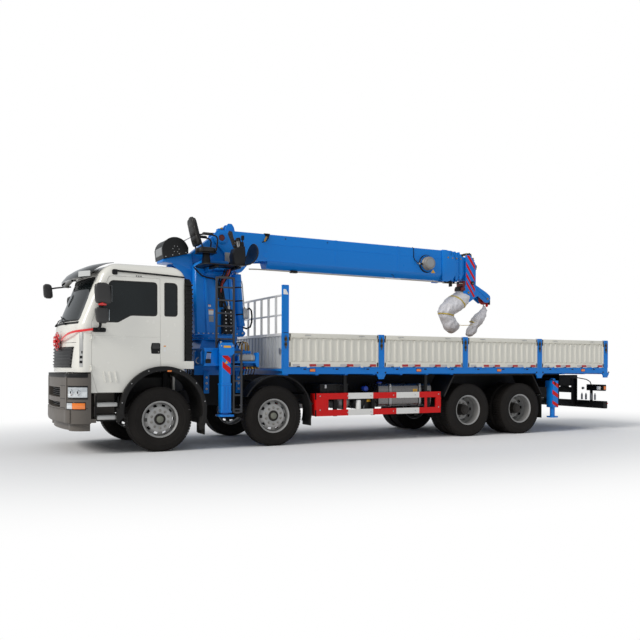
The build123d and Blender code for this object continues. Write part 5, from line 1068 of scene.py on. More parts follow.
def rounded_body(piece, rows, power=3.6, steps=36):
    """A closed moulding lofted up through (height, x, y, half length, half width) rows of rounded plans."""
    part = bmesh.new()
    rings = []
    for z, cx, cy, hx, hy in rows:
        ring = []
        for k in range(steps):
            t = 2 * math.pi * k / steps
            c, s = math.cos(t), math.sin(t)
            ring.append(part.verts.new((cx + hx * math.copysign(abs(c) ** (2 / power), c),
                                        cy + hy * math.copysign(abs(s) ** (2 / power), s), z)))
        rings.append(ring)
    for one, two in zip(rings, rings[1:]):
        for k in range(steps):
            part.faces.new((one[k], one[(k + 1) % steps], two[(k + 1) % steps], two[k]))
    part.faces.new(reversed(rings[0]))
    part.faces.new(rings[-1])
    return piece.take(part)


def housing(piece, z0, z1, x, y, hx, hy, bulge=0.05):
    """A mirror housing: domed ends and a fuller middle."""
    rows = []
    for i in range(13):
        t = i / 12
        u = 2 * t - 1
        end = (1 - abs(u) ** 5) ** 0.5 if abs(u) < 1 else 0.0
        size = 0.45 + 0.55 * end
        rows.append((z0 + (z1 - z0) * t, x + 0.012 * u, y, hx * size * (1 - bulge * u), hy * size))
    return rounded_body(piece, rows)


for side, way in SIDES:
    kit = Piece(f"door_fittings_{side}", f"door_{side}", "cab_trim", mirror_grey)
    housing(kit, 2.325, 2.66, 5.255, way * 1.3, 0.124, 0.066)
    housing(kit, 2.035, 2.285, 5.268, way * 1.3, 0.1, 0.064, -0.06)
    kit.use(seal_rubber).prism(plate(way * 1.245, way * 1.355, 2.36, 2.63, 0.02), "X", 5.13, 5.14)
    kit.use(mirror_face).prism(plate(way * 1.25, way * 1.35, 2.366, 2.624, 0.018), "X", 5.127, 5.131)
    kit.prism(plate(way * 1.252, way * 1.348, 2.075, 2.25, 0.018), "X", 5.165, 5.172)
    # repeater lamp between the housings, on the outer side
    kit.use(lamp_red).tube([(5.215, way * 1.352, 2.32), (5.27, way * 1.368, 2.328), (5.335, way * 1.352, 2.318)],
                           [0.013, 0.024, 0.011], 12)
    # arm down to the clamp on the door's front edge
    kit.use(trim_black).tube([(5.29, way * 1.3, 2.06), (5.292, way * 1.3, 2.0), (5.3, way * 1.27, 1.965),
                              (5.31, way * 1.2, 1.952), (5.31, way * 1.15, 1.95)], 0.021, 14)
    rounded_body(kit, [(1.905, 5.285, way * 1.176, 0.085, 0.026), (1.912, 5.285, way * 1.178, 0.1, 0.032),
                       (1.96, 5.285, way * 1.178, 0.102, 0.034), (1.972, 5.285, way * 1.176, 0.09, 0.028)], 5)
    kit.tube([(5.3, way * 1.3, 2.28), (5.3, way * 1.3, 2.35)], 0.02, 12)
    # handle recess with its pull and lock
    pocket = rounded([(4.318, 1.578), (4.462, 1.578), (4.47, 1.68), (4.455, 1.752), (4.318, 1.752)], 0.02)
    kit.use(trim_black).prism(pocket, "Y", *across(way, 1.128, 1.1515), edge=0.002)
    kit.use(mirror_grey).prism(rounded([(4.33, 1.66), (4.45, 1.66), (4.443, 1.738), (4.33, 1.738)], 0.016), "Y",
                               *across(way, 1.13, 1.16), edge=0.006)
    kit.use(nut_steel).rod((4.345, way * 1.15, 1.61), (4.345, way * 1.156, 1.61), 0.011, 14)
    # pressed flutes in the foot of the door, and the crease across it
    for i in range(3):
        x = 4.985 + 0.088 * i
        flute = rounded([(x, 1.12), (x + 0.03, 1.12), (x + 0.062, 1.295), (x + 0.035, 1.295)], 0.01)
        kit.use(cab_cream).prism(flute, "Y", *across(way, 1.146, 1.166), edge=0.008)
    kit.prism([(4.32, 1.838), (5.38, 1.838), (5.38, 1.85), (4.32, 1.85)], "Y",
              *across(way, 1.146, 1.1535), edge=0.003)
    # hinge leaves on the front edge
    for z in (1.345, 1.82):
        kit.use(cab_cream).rod((5.398, way * 1.166, z - 0.029), (5.398, way * 1.166, z + 0.029), 0.0125, 14, 0.002)
        kit.bar((5.355, 5.398), across(way, 1.148, 1.165), (z - 0.029, z + 0.029), 0.004)
    # trim panel, arm rest and window crank on the inside
    inner = rounded([(4.33, 1.44), (5.3, 1.1), (5.3, 2.0), (4.9, 2.0), (4.7, 2.12), (4.33, 2.12)], 0.04)
    kit.use(trim_black).prism(inner, "Y", *across(way, 1.085, 1.108), edge=0.006)
    kit.tube([(4.45, way * 1.08, 1.86), (4.55, way * 1.045, 1.87), (4.95, way * 1.045, 1.87), (5.05, way * 1.08, 1.86)],
             0.02, 10)
    kit.done()

trim = Piece("cab_fittings", "chassis", "cab_trim", trim_black)
for side, way in SIDES:
    # gutter over the door, with its bracket ahead and three drain buttons under it
    trim.use(trim_black).tube([(5.06, way * 1.137, 2.868), (5.02, way * 1.142, 2.878), (4.6, way * 1.146, 2.862),
                               (4.2, way * 1.146, 2.846), (3.92, way * 1.14, 2.832)],
                              [0.012, 0.016, 0.014, 0.014, 0.012], 8)
    rounded_body(trim, [(2.815, 5.035, way * 1.135, 0.03, 0.014), (2.83, 5.04, way * 1.137, 0.04, 0.02),
                        (2.885, 5.04, way * 1.137, 0.042, 0.02), (2.9, 5.03, way * 1.13, 0.03, 0.012)], 4)
    for x in (4.63, 4.665, 4.7):
        trim.ball((x, way * 1.139, 2.81), (0.01, 0.006, 0.01), 12, 8)
    # label beside the handle
    trim.use(label_white).prism(plate(4.225, 4.262, 1.615, 1.69, 0.004), "Y", *across(way, 1.149, 1.1515))
    trim.use(label_orange).prism(plate(4.225, 4.262, 1.692, 1.712, 0.003), "Y", *across(way, 1.149, 1.1515))
    # hinge lugs for the door, on the cab
    for z in (1.345, 1.82):
        for low in (z - 0.05, z + 0.035):
            trim.use(cab_cream).rod((5.401, way * 1.166, low), (5.401, way * 1.166, low + 0.015), 0.013, 14, 0.002)
            trim.bar((5.401, 5.429), across(way, 1.14, 1.165), (low, low + 0.015), 0.003)
# ribbed air intake behind the left corner, standing on its white shelf
rounded_body(trim.use(trim_black), [(1.468, 3.836, 1.02, 0.055, 0.11), (1.5, 3.834, 1.02, 0.062, 0.12),
                                    (2.6, 3.834, 1.02, 0.062, 0.12), (2.76, 3.84, 1.01, 0.056, 0.11),
                                    (2.815, 3.85, 1.0, 0.04, 0.09)], 6)


def intake_rib(shape):
    """One rib round the intake's moulding."""
    shape.prism(plate(-0.07, 0.07, -0.13, 0.13, 0.03, 3), "Z", 0, 0.022, 0.006)


bellows_rib = small_mesh("intake_rib", intake_rib)
trim.use(trim_black).add_mesh(repeated(ROW, bellows_rib, 17, (3.834, 1.022, 1.55), (0, 0, 0.072)))
trim.use(cab_cream).prism(plate(3.757, 4.286, 1.335, 1.462, 0.008), "Y", 1.02, 1.158, 0.004)
trim.prism(plate(3.757, 4.286, 1.335, 1.462, 0.008), "Y", -1.158, -1.02, 0.004)
# right-hand front mirror, carried ahead of the screen corner on a bent tube so that the driver sees the kerb
housing(trim.use(mirror_grey), 2.595, 2.855, 5.722, -1.25, 0.078, 0.055)
trim.use(trim_black).tube([(5.66, -1.25, 2.775), (5.58, -1.22, 2.79), (5.46, -1.12, 2.8), (5.36, -1.02, 2.8)], 0.014,
                          10)
trim.done()

# ---------------------------------------------------------------- ribbon and rosette on the nose
# A rosette of red satin ribbon gathered into loops, tied to the grille, and one flat length of the same
# ribbon drawn up to the left mirror's foot.
ribbon_red = finish("ribbon_red", (0.72, 0.012, 0.016), 0.32, drift=0.2, drift_size=14, grain=0.2, grain_size=260)
ribbon_red.node_tree.nodes["Principled BSDF"].inputs["Sheen Weight"].default_value = 0.4


def eased(a, b, c, d, f):
    """A smooth course through a, b, c and d, at the share f of the way from b to c."""
    return 0.5 * (2 * b + (c - a) * f + (2 * a - 5 * b + 4 * c - d) * f * f + (3 * b - a - 3 * c + d) * f ** 3)


def ribbon_strip(name, path, widths):
    """A strip of ribbon along path, its width at each point a vector across it."""
    part = bmesh.new()
    rows = [(part.verts.new(Vector(p) - Vector(w) / 2), part.verts.new(Vector(p) + Vector(w) / 2))
            for p, w in zip(path, widths)]
    for one, two in zip(rows, rows[1:]):
        part.faces.new((one[0], one[1], two[1], two[0]))
    mesh = bpy.data.meshes.new(name)
    part.to_mesh(mesh)
    part.free()
    mesh.polygons.foreach_set("use_smooth", [True] * len(mesh.polygons))
    mesh.materials.append(ribbon_red)
    obj = bpy.data.objects.new(name, mesh)
    scene.collection.objects.link(obj)
    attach(obj, "chassis")
    return obj


HEART = Vector((5.735, 0.28, 1.775))
loops, widths = [], []
for row, (count, reach, rise) in enumerate(((10, 0.155, 0.1), (9, 0.125, 0.5), (6, 0.08, 1.0))):
    for k in range(count):
        a = 2 * math.pi * (k + 0.5 * (row % 2)) / count
        out = Vector((0.0, math.cos(a), math.sin(a)))
        side_way = Vector((0.0, -math.sin(a), math.cos(a)))
        forward = Vector((1, 0, 0))
        for i in range(9):
            t = math.pi * i / 8
            loops.append(HEART + forward * (0.012 + 0.05 * rise + 0.03 * math.sin(t) * (1 if i < 5 else 0.6)) +
                         out * reach * math.sin(t) ** 0.8 + forward * 0.016 * math.cos(t))
            widths.append(side_way * (0.022 + 0.03 * math.sin(t)))
ribbon_strip("rosette", loops, widths)
ties = [Vector((5.73, 0.33, 1.79)), Vector((5.74, 0.5, 1.8)), Vector((5.725, 0.68, 1.845)), Vector((5.69, 0.84, 1.885)),
        Vector((5.625, 1.02, 1.912)), Vector((5.5, 1.165, 1.93)), Vector((5.385, 1.205, 1.945))]
path = [ties[0]]
for i in range(1, len(ties)):
    for k in range(1, 5):
        t = k / 4
        before, after = ties[max(i - 2, 0)], ties[min(i + 1, len(ties) - 1)]
        one, two = ties[i - 1], ties[i]
        path.append(eased(before, one, two, after, t))
ribbon_strip("mirror_ribbon", path, [Vector((0, 0, 0.035)) for p in path])

# ---------------------------------------------------------------- crane base, legs and ladders
# A welded box across the frame carries the slewing column and guides the two sliding leg beams; blue
# gloss paint, with bolted clamps, grey tube ladders, warning stripes on the legs and a hydraulic tank.
crane_blue = finish("crane_blue", (0.002, 0.2, 0.68), 0.3, clear=0.12, drift=0.05, drift_size=0.9, dust=0.06,
                    dust_top=1.2, gloss=0.25)
crane_black = finish("crane_black", (0.006, 0.006, 0.0065), 0.42, grain=0.15, gloss=0.25)
ladder_grey = finish("ladder_grey", (0.045, 0.046, 0.052), 0.42, grain=0.15, dust=0.12, gloss=0.35)
stripe_red = finish("stripe_red", (0.62, 0.004, 0.004), 0.35, drift=0.05, gloss=0.25)
stripe_yellow = finish("stripe_yellow", (0.8, 0.42, 0.02), 0.35, drift=0.08)
brass = finish("brass", (0.4, 0.24, 0.06), 0.38, metal=0.9, drift=0.25, drift_size=18)
zinc = finish("zinc", (0.5, 0.5, 0.5), 0.35, metal=0.85, drift=0.15, drift_size=14)
hose_black = finish("hose_black", (0.006, 0.006, 0.006), 0.42, drift=0.1, drift_size=20, gloss=0.25)
label_grey = finish("label_grey", (0.3, 0.31, 0.32), 0.45, drift=0.04)
soft_red = finish("soft_red", (0.35, 0.04, 0.03), 0.5, drift=0.15, drift_size=12)


def zoned(name, base, other, boxes):
    """A copy of one finish with another colour inside boxes of (low, high) corners, as a masked second coat."""
    material = base.copy()
    material.name = name
    tree = material.node_tree
    shader = tree.nodes["Principled BSDF"]
    place = node_after(tree, "ShaderNodeTexCoord")
    split = node_after(tree, "ShaderNodeSeparateXYZ")
    tree.links.new(place.outputs["Object"], split.inputs[0])
    total = None
    for low, high in boxes:
        part = None
        for axis in range(3):
            for bound, way in ((low[axis], "GREATER_THAN"), (high[axis], "LESS_THAN")):
                if abs(bound) > 50:
                    continue
                test = node_after(tree, "ShaderNodeMath", operation=way)
                test.inputs[1].default_value = bound
                tree.links.new(split.outputs[axis], test.inputs[0])
                if part is None:
                    part = test.outputs[0]
                else:
                    both = node_after(tree, "ShaderNodeMath", operation="MULTIPLY")
                    tree.links.new(part, both.inputs[0])
                    tree.links.new(test.outputs[0], both.inputs[1])
                    part = both.outputs[0]
        if total is None:
            total = part
        else:
            either = node_after(tree, "ShaderNodeMath", operation="MAXIMUM")
            tree.links.new(total, either.inputs[0])
            tree.links.new(part, either.inputs[1])
            total = either.outputs[0]
    coat = node_after(tree, "ShaderNodeMix", data_type="RGBA")
    coat.inputs["B"].default_value = (*other, 1)
    tree.links.new(total, coat.inputs["Factor"])
    tree.links.new(shader.inputs["Base Color"].links[0].from_socket, coat.inputs["A"])
    tree.links.new(coat.outputs["Result"], shader.inputs["Base Color"])
    return material


FAR = 99
base_paint = zoned("base_paint", crane_blue, (0.045, 0.046, 0.052),
                   [((-FAR, 0.95, 1.69), (FAR, FAR, FAR)), ((-FAR, 1.066, 0), (FAR, FAR, 1.7))])
wear(base_paint, "crane_base")
wear(crane_blue, "outrigger_left", "outrigger_right", "foot_front_left", "foot_front_right", "foot_rear_left",
     "foot_rear_right")


def hexagon_bolt(shape):
    """A bolt head with its washer, standing up along Z."""
    shape.lathe([(0.0, 0.0), (0.0, 0.021), (0.004, 0.021), (0.004, 0.0)], (0, 0, 0), "Z", 12, False)
    shape.lathe([(0.004, 0.0145), (0.016, 0.0145), (0.018, 0.012), (0.018, 0.0)], (0, 0, 0), "Z", 6, False)


bolt = small_mesh("bolt", hexagon_bolt)


def bolts(piece, count, start, step, axis="Z", way=1):
    """A row of bolt heads whose shanks point along an axis, into the plate they hold."""
    turn = {"Z": Matrix.Identity(4), "Y": Matrix.Rotation(-math.pi / 2 * way, 4, "X"),
            "X": Matrix.Rotation(math.pi / 2 * way, 4, "Y")}[axis]
    head = bolt.data.copy()
    head.transform(turn)
    holder = bpy.data.objects.new("head", head)
    piece.add_mesh(repeated(ROW, holder, count, start, step))
    bpy.data.objects.remove(holder)


base = Piece("base_fittings", "chassis", "crane_paint", crane_blue)
# flanges of the box, gussets, and the clamps that hold it to the rails
for z in (1.395, 1.668):
    base.bar((3.06, 3.555), (-1.066, 1.066), (z - 0.008, z + 0.016), 0.005)
for y in (-0.95, -0.62, 0.62, 0.95):
    base.prism(((3.54, 1.4), (3.575, 1.43), (3.575, 1.62), (3.54, 1.66)), "Y", y - 0.012, y + 0.012, 0.004)
    base.prism(((3.075, 1.4), (3.045, 1.43), (3.045, 1.62), (3.075, 1.66)), "Y", y - 0.012, y + 0.012, 0.004)
for way in (1, -1):
    for x in (2.7, 3.0, 3.3):
        base.bar((x - 0.05, x + 0.05), across(way, 0.43, 0.462), (0.9, 1.3), 0.006)
        bolts(base.use(zinc), 3, (x, way * 0.462, 0.98), (0, 0, 0.1), "Y", way)
        base.use(crane_blue)
    # blind plate over the end of the other leg's beam
    bx = 3.3 + way * 0.115
    base.prism(plate(bx - 0.1, bx + 0.1, 1.41, 1.655, 0.02), "Y", *across(way, 1.058, 1.068), edge=0.003)
    # lashing rings and the level gauges
    base.use(zinc).tube([(3.56, way * 0.8, 1.53), (3.6, way * 0.8, 1.5), (3.605, way * 0.8, 1.45),
                         (3.56, way * 0.8, 1.42)], 0.008, 8).use(crane_blue)
# round flange and bolt circle under the column
base.lathe([(0, 0.30), (0, 0.435), (0.012, 0.44), (0.03, 0.44), (0.035, 0.43), (0.035, 0.3)], (3.015, 0, 1.84), "Z", 56)
ring_bolts = Piece("ring", "", "", None)
for k in range(24):
    a = 2 * math.pi * k / 24
    ring_bolts.lathe([(0.0, 0.0145), (0.012, 0.0145), (0.014, 0.012), (0.014, 0.0)],
                     (3.015 + 0.415 * math.cos(a), 0.415 * math.sin(a), 1.87), "Z", 6, False)
mesh = bpy.data.meshes.new("ring")
ring_bolts.bm.to_mesh(mesh)
ring_bolts.bm.free()
base.use(zinc).add_mesh(mesh)
# upper ladder to the operator's seat: bent grey tube with a hoop at the top
ladder = base.use(ladder_grey)
ladder.tube([(3.0, 0.998, 1.69), (3.0, 0.998, 2.82), (3.01, 0.998, 2.87), (3.05, 0.998, 2.892), (3.26, 0.998, 2.892),
             (3.3, 0.998, 2.87), (3.31, 0.998, 2.82), (3.31, 0.998, 1.69)], 0.019, 12)
for z in (1.842, 2.062, 2.282, 2.502, 2.722):
    ladder.rod((3.0, 0.998, z), (3.31, 0.998, z), 0.0145, 12)
# lower ladder with its rounded foot, and its bracket from the box
ladder.tube([(2.94, 1.2, 1.64), (2.94, 1.2, 0.65), (2.95, 1.2, 0.612), (2.98, 1.2, 0.6), (3.036, 1.2, 0.6),
             (3.066, 1.2, 0.612), (3.076, 1.2, 0.65), (3.076, 1.2, 1.64)], 0.0165, 12)
for z in (0.655, 0.893, 1.133, 1.373):
    ladder.rod((2.94, 1.2, z), (3.076, 1.2, z), 0.013, 12)
ladder.bar((2.925, 3.092), (1.03, 1.21), (1.6, 1.64), 0.006)
# hydraulic drum behind the leg, on its blue cradle, with a row of couplings under it
base.use(label_grey).rod((2.598, 0.93, 1.52), (2.902, 0.93, 1.52), 0.0645, 28, 0.008)
for x in (2.66, 2.84):
    base.use(zinc).lathe([(-0.012, 0.063), (0.012, 0.063), (0.012, 0.068), (-0.012, 0.068)], (x, 0.93, 1.52), "X", 28)
base.use(crane_blue).prism(rounded([(2.53, 1.36), (2.57, 1.36), (2.6, 1.44), (2.9, 1.44), (2.93, 1.47), (2.93, 1.55),
                                    (2.91, 1.55), (2.9, 1.465), (2.6, 1.465), (2.57, 1.62), (2.53, 1.62)], 0.008), "Y",
                           0.855, 1.005, 0.004)
base.bar((2.56, 3.08), (0.86, 0.9), (1.385, 1.44), 0.006)
for i, colour in enumerate((brass, brass, stripe_yellow, brass, stripe_yellow, stripe_red)):
    x = 2.56 + 0.052 * i
    base.use(colour).rod((x, 1.0, 1.36), (x, 1.04, 1.345), 0.013, 10, 0.003)
    base.use(hose_black).tube([(x, 1.0, 1.36), (x, 0.94, 1.37), (x + 0.01, 0.9, 1.33), (x + 0.03, 0.86, 1.2)], 0.008, 6)
base.use(crane_black).bar((2.54, 2.86), (0.96, 1.0), (1.335, 1.38), 0.006)
# brass couplings at both ends of the box
for x, y, z in ((2.62, 0.72, 1.69), (2.68, 0.75, 1.7), (2.74, 0.72, 1.69), (3.62, 0.55, 1.6), (3.66, 0.62, 1.62)):
    base.use(brass).rod((x, y, z - 0.05), (x, y, z + 0.06), 0.017, 10, 0.004)
    base.tube([(x, y, z + 0.055), (x + 0.02, y, z + 0.1), (x + 0.05, y, z + 0.11)], 0.01, 8)
    base.use(hose_black).tube([(x + 0.05, y, z + 0.11), (x + 0.1, y, z + 0.1), (x + 0.12, y - 0.04, z)], 0.011, 8)
base.use(crane_blue).bar((2.6, 2.78), (0.66, 0.8), (1.6, 1.65), 0.008)
for x in (3.575, 3.6, 3.64, 3.68):
    base.use(hose_black).tube([(x, 0.3 + (x - 3.575) * 3, 1.75), (x + 0.03, 0.4, 1.66), (x + 0.02, 0.5, 1.5),
                               (x - 0.02, 0.52, 1.3), (x - 0.03, 0.46, 1.1)], 0.012, 8)
# labels with no wording: two beside the leg head, one on the box
base.use(label_white).bar((3.075, 3.125), (1.066, 1.0685), (1.575, 1.64), 0.001)
base.use(stripe_red).bar((3.08, 3.12), (1.0685, 1.07), (1.612, 1.635), 0.0006)
base.use(label_white).bar((2.6, 2.66), (0.56, 0.5625), (1.56, 1.62), 0.001)
# control levers for the legs, on the box end
base.use(crane_black).bar((3.44, 3.53), (1.06, 1.1), (1.43, 1.5), 0.008)
for x in (3.455, 3.475, 3.495, 3.515):
    base.use(zinc).rod((x, 1.085, 1.5), (x - 0.005, 1.115, 1.6), 0.006, 8)
    base.use(crane_black).ball((x - 0.005, 1.117, 1.61), (0.012, 0.012, 0.014), 12, 8)
base.done()

for side, way, leg_x in (("left", 1, 3.215), ("right", -1, 3.415)):
    leg = Piece(f"leg_fittings_{side}", f"outrigger_{side}", "crane_paint", crane_blue)
    y0, y1 = way * 1.07, way * 1.23
    # pins of the lug head over the leg, with its yellow plate
    for dx in (-0.1, 0.1):
        leg.rod((leg_x + dx, way * 1.2, 1.72), (leg_x + dx, way * 1.26, 1.72), 0.028, 20, 0.004)
        leg.use(zinc).rod((leg_x + dx, way * 1.26, 1.72), (leg_x + dx, way * 1.266, 1.72), 0.012, 6).use(crane_blue)
    leg.use(stripe_yellow).prism(plate(leg_x - 0.07, leg_x + 0.06, 1.69, 1.725, 0.004), "Y",
                                 *across(way, 1.252, 1.2545))
    leg.use(crane_blue).prism(plate(leg_x - 0.085, leg_x + 0.085, y0 - way * 0.005, y1 + way * 0.005, 0.02), "Z",
                              1.75, 1.762, 0.004)
    # two slanted stripes and the small warning triangles
    for ahead_low, ahead_high, back_low, back_high in ((1.54, 1.63, 1.427, 1.517), (1.363, 1.463, 1.24, 1.355)):
        leg.use(stripe_red).prism([(leg_x + 0.07, ahead_low), (leg_x + 0.07, ahead_high), (leg_x - 0.07, back_high),
                                   (leg_x - 0.07, back_low)], "Y", *across(way, 1.229, 1.2325))
    leg.use(stripe_yellow).prism([(leg_x - 0.03, 1.425), (leg_x + 0.03, 1.425), (leg_x, 1.475)], "Y",
                                 *across(way, 1.2295, 1.233))
    # ribbed lower half of the casing, with its collar
    leg.use(crane_blue)
    sleeve = [(leg_x + dx, way * (1.15 + dy)) for dx, dy in plate(-0.088, 0.088, -0.088, 0.088, 0.012)]
    for z in (1.064, 0.602):
        leg.prism([(leg_x + (p[0] - leg_x) * 1.06, way * 1.15 + (p[1] - way * 1.15) * 1.06) for p in sleeve], "Z", z,
                  z + 0.028, 0.005)
    for dx in (-0.055, 0.0, 0.055):
        leg.bar((leg_x + dx - 0.009, leg_x + dx + 0.009), across(way, 1.234, 1.25), (0.64, 1.055), 0.005)
    # hose along the beam and the grease points
    leg.use(zinc).rod((leg_x + 0.07, way * 1.15, 1.76), (leg_x + 0.07, way * 1.15, 1.8), 0.016, 12, 0.003)
    leg.use(hose_black).tube([(leg_x + 0.07, way * 1.15, 1.8), (leg_x + 0.075, way * 1.1, 1.83),
                              (leg_x + 0.08, way * 1.02, 1.78), (leg_x + 0.085, way * 0.98, 1.7)], 0.011, 8)
    leg.done()
    foot = Piece(f"foot_fittings_{side}", f"foot_front_{side}", "crane_paint", crane_blue)
    foot.prism([(leg_x + dx, way * 1.15 + dy) for dx, dy in plate(-0.122, 0.122, -0.152, 0.152, 0.04)],
               "Z", 0.541, 0.556, 0.005)
    for dx, dy in ((1, 1), (1, -1), (-1, 1), (-1, -1)):
        foot.prism([(leg_x + dx * 0.045, 0.571), (leg_x + dx * 0.11, 0.571), (leg_x + dx * 0.05, 0.596)] if dx > 0 else
                   [(leg_x + dx * 0.11, 0.571), (leg_x + dx * 0.045, 0.571), (leg_x + dx * 0.05, 0.596)], "Y",
                   way * 1.15 + dy * 0.03 - 0.005, way * 1.15 + dy * 0.03 + 0.005)
    foot.done()

# ---------------------------------------------------------------- front flares and mudguards
# Moulded black plastic flares close round the front wheels; pressed guards cover the second axle and the
# twin wheels, with thin rubber flaps hung at their ends.
guard_black = finish("guard_black", (0.007, 0.007, 0.0075), 0.46, grain=0.3, grain_size=160, dust=0.1,
                     dust_top=1.5, gloss=0.25)
flap_black = finish("flap_black", (0.009, 0.009, 0.009), 0.7, grain=0.2, dust=0.15, dust_top=0.8, gloss=0.2)
wear(guard_black, "mudguards")


def arched(piece, x, z, section, start, end, steps):
    """Sweeps a section of (radius, y) corners round a wheel arch and closes its ends."""
    part = bmesh.new()
    rings = []
    for k in range(steps + 1):
        t = math.radians(start + (end - start) * k / steps)
        rings.append([part.verts.new((x + r * math.cos(t), y, z + r * math.sin(t))) for r, y in section])
    for one, two in zip(rings, rings[1:]):
        for i in range(len(section)):
            j = (i + 1) % len(section)
            part.faces.new((one[i], one[j], two[j], two[i]))
    part.faces.new(rings[0])
    part.faces.new(reversed(rings[-1]))
    return piece.take(part)


FLARE_X, FLARE_Z = AXLE_X[0] - 0.05, 0.66
guards = Piece("front_flares", "chassis", "guard_plastic", guard_black)
for way in (1, -1):
    # rounded lip of the arch, standing a little proud of the skin
    lip = [(0.643, way * 1.152), (0.643, way * 1.226), (0.65, way * 1.2325), (0.667, way * 1.2345),
           (0.7, way * 1.231), (0.716, way * 1.22), (0.72, way * 1.2), (0.72, way * 1.152)]
    arched(guards, FLARE_X, FLARE_Z, lip, -4, 199, 56)
    # stepped leg ahead of the wheel and the bracket behind it
    guards.prism(rounded([(4.925, 0.72), (4.925, 0.56), (4.985, 0.5), (5.02, 0.5), (5.02, 0.72)], 0.012), "Y",
                 *across(way, 1.16, 1.226), edge=0.006)
    guards.prism(rounded([(3.548, 0.52), (3.6, 0.34), (3.66, 0.33), (3.69, 0.4), (3.66, 0.56)], 0.012), "Y",
                 *across(way, 1.16, 1.222), edge=0.006)
    # screws along the lip and the amber marker over the arch
    for angle in (12, 40, 68, 112, 140, 168):
        t = math.radians(angle)
        guards.use(zinc).lathe([(way * 1.226, 0.0), (way * 1.226, 0.009), (way * 1.236, 0.009), (way * 1.238, 0.006),
                                (way * 1.238, 0.0)], (FLARE_X + 0.69 * math.cos(t), 0, FLARE_Z + 0.69 * math.sin(t)),
                               "Y", 12, False)
    guards.use(guard_black).prism(rounded([(4.148, 1.285), (4.148, 1.318), (4.228, 1.318), (4.228, 1.285)], 0.008),
                                  "Y", *across(way, 1.222, 1.236), edge=0.003)
    guards.use(lamp_amber).prism(rounded([(4.153, 1.29), (4.153, 1.313), (4.223, 1.313), (4.223, 1.29)], 0.006), "Y",
                                 *across(way, 1.235, 1.243), edge=0.003)
    # flap behind the front wheel, with the strip that clamps it
    guards.use(flap_black).bar((3.576, 3.594), across(way, 0.86, 1.2), (0.252, 0.47), 0.003)
    guards.use(zinc).bar((3.572, 3.598), across(way, 0.87, 1.19), (0.44, 0.462), 0.003)
    for y in (0.9, 1.03, 1.16):
        guards.rod((3.566, way * y, 0.451), (3.604, way * y, 0.451), 0.009, 6)
    guards.use(guard_black)
guards.done()
rear = Piece("rolled_guards", "chassis", "guard_plastic", guard_black)
for way in (1, -1):
    x, z = AXLE_X[1] - 0.08, 0.575
    # rolled edges, stiffening beads and stay of the second axle's guard
    for y in (0.84, 1.152):
        arched(rear, x, z, [(0.636, way * (y - 0.009)), (0.636, way * (y + 0.009)), (0.657, way * (y + 0.009)),
                            (0.657, way * (y - 0.009))], 26, 196, 40)
    for y in (0.93, 1.0, 1.07):
        arched(rear, x, z, [(0.651, way * (y - 0.012)), (0.651, way * (y + 0.012)), (0.657, way * (y + 0.006)),
                            (0.657, way * (y - 0.006))], 30, 192, 32)
    for angle in (60, 150):
        t = math.radians(angle)
        rear.use(chassis_black).rod((x + 0.63 * math.cos(t), way * 1.13, z + 0.63 * math.sin(t)),
                                    (x + 0.63 * math.cos(t), way * 0.44, z + 0.63 * math.sin(t)), 0.017, 12, 0.003)
        rear.use(guard_black)
    rear.use(flap_black).bar((1.584, 1.598), across(way, 0.85, 1.15), (0.334, 0.5), 0.003)
    rear.use(guard_black)
    # folded guard over the twin wheels: beads across it, edge roll and rubber flap
    line = [(-1.285, 0.8), (-1.525, 1.225), (-3.565, 1.225), (-3.825, 0.8)]
    for (x0, z0), (x1, z1) in zip(line, line[1:]):
        rear.tube([(x0, way * 1.222, z0 + 0.004), (x1, way * 1.222, z1 + 0.004)], 0.0105, 10)
    for x in (-1.75, -2.1, -2.45, -2.8, -3.15):
        rear.bar((x - 0.02, x + 0.02), across(way, 0.64, 1.2), (1.222, 1.2325), 0.004)
    rear.use(flap_black).bar((-3.845, -3.83), across(way, 0.62, 1.2), (0.42, 0.83), 0.003)
    rear.use(zinc).bar((-3.852, -3.824), across(way, 0.64, 1.18), (0.79, 0.812), 0.003)
    for y in (0.7, 0.85, 1.0, 1.15):
        rear.rod((-3.858, way * y, 0.801), (-3.818, way * y, 0.801), 0.009, 6)
    rear.use(guard_black)
rear.done()

# ---------------------------------------------------------------- side guards, underrun bar and rear lamps
# Square steel tubes bolted to drop brackets along both sides and across the tail; the side rails are
# painted in red and white bays, the tail bar stays black and carries the lamp boards over it.
GUARD_X = (-1.225, 1.515)
guard_red = finish("guard_red", (0.66, 0.004, 0.004), 0.36, dust=0.04, dust_top=1.0, gloss=0.25)
bay = (GUARD_X[1] - GUARD_X[0] - 0.26) / 5
whites = [((low, -FAR, 0.4), (high, FAR, 1.0)) for low, high in ((-0.714, -0.193), (0.322, 0.854))]
guard_paint = zoned("guard_paint", guard_red, (0.78, 0.77, 0.74), whites)
rear_black = zoned("guard_bars", guard_paint, (0.006, 0.006, 0.0065),
                   [((-FAR, -FAR, 0), (GUARD_X[0] - 0.3, FAR, 1.2)), ((-FAR, -FAR, 0.903), (FAR, FAR, 1.4)),
                    ((-FAR, -1.168, 0), (FAR, 1.168, FAR))])
wear(rear_black, "guards")
rails = Piece("guard_brackets", "chassis", "guard_paint", guard_red)
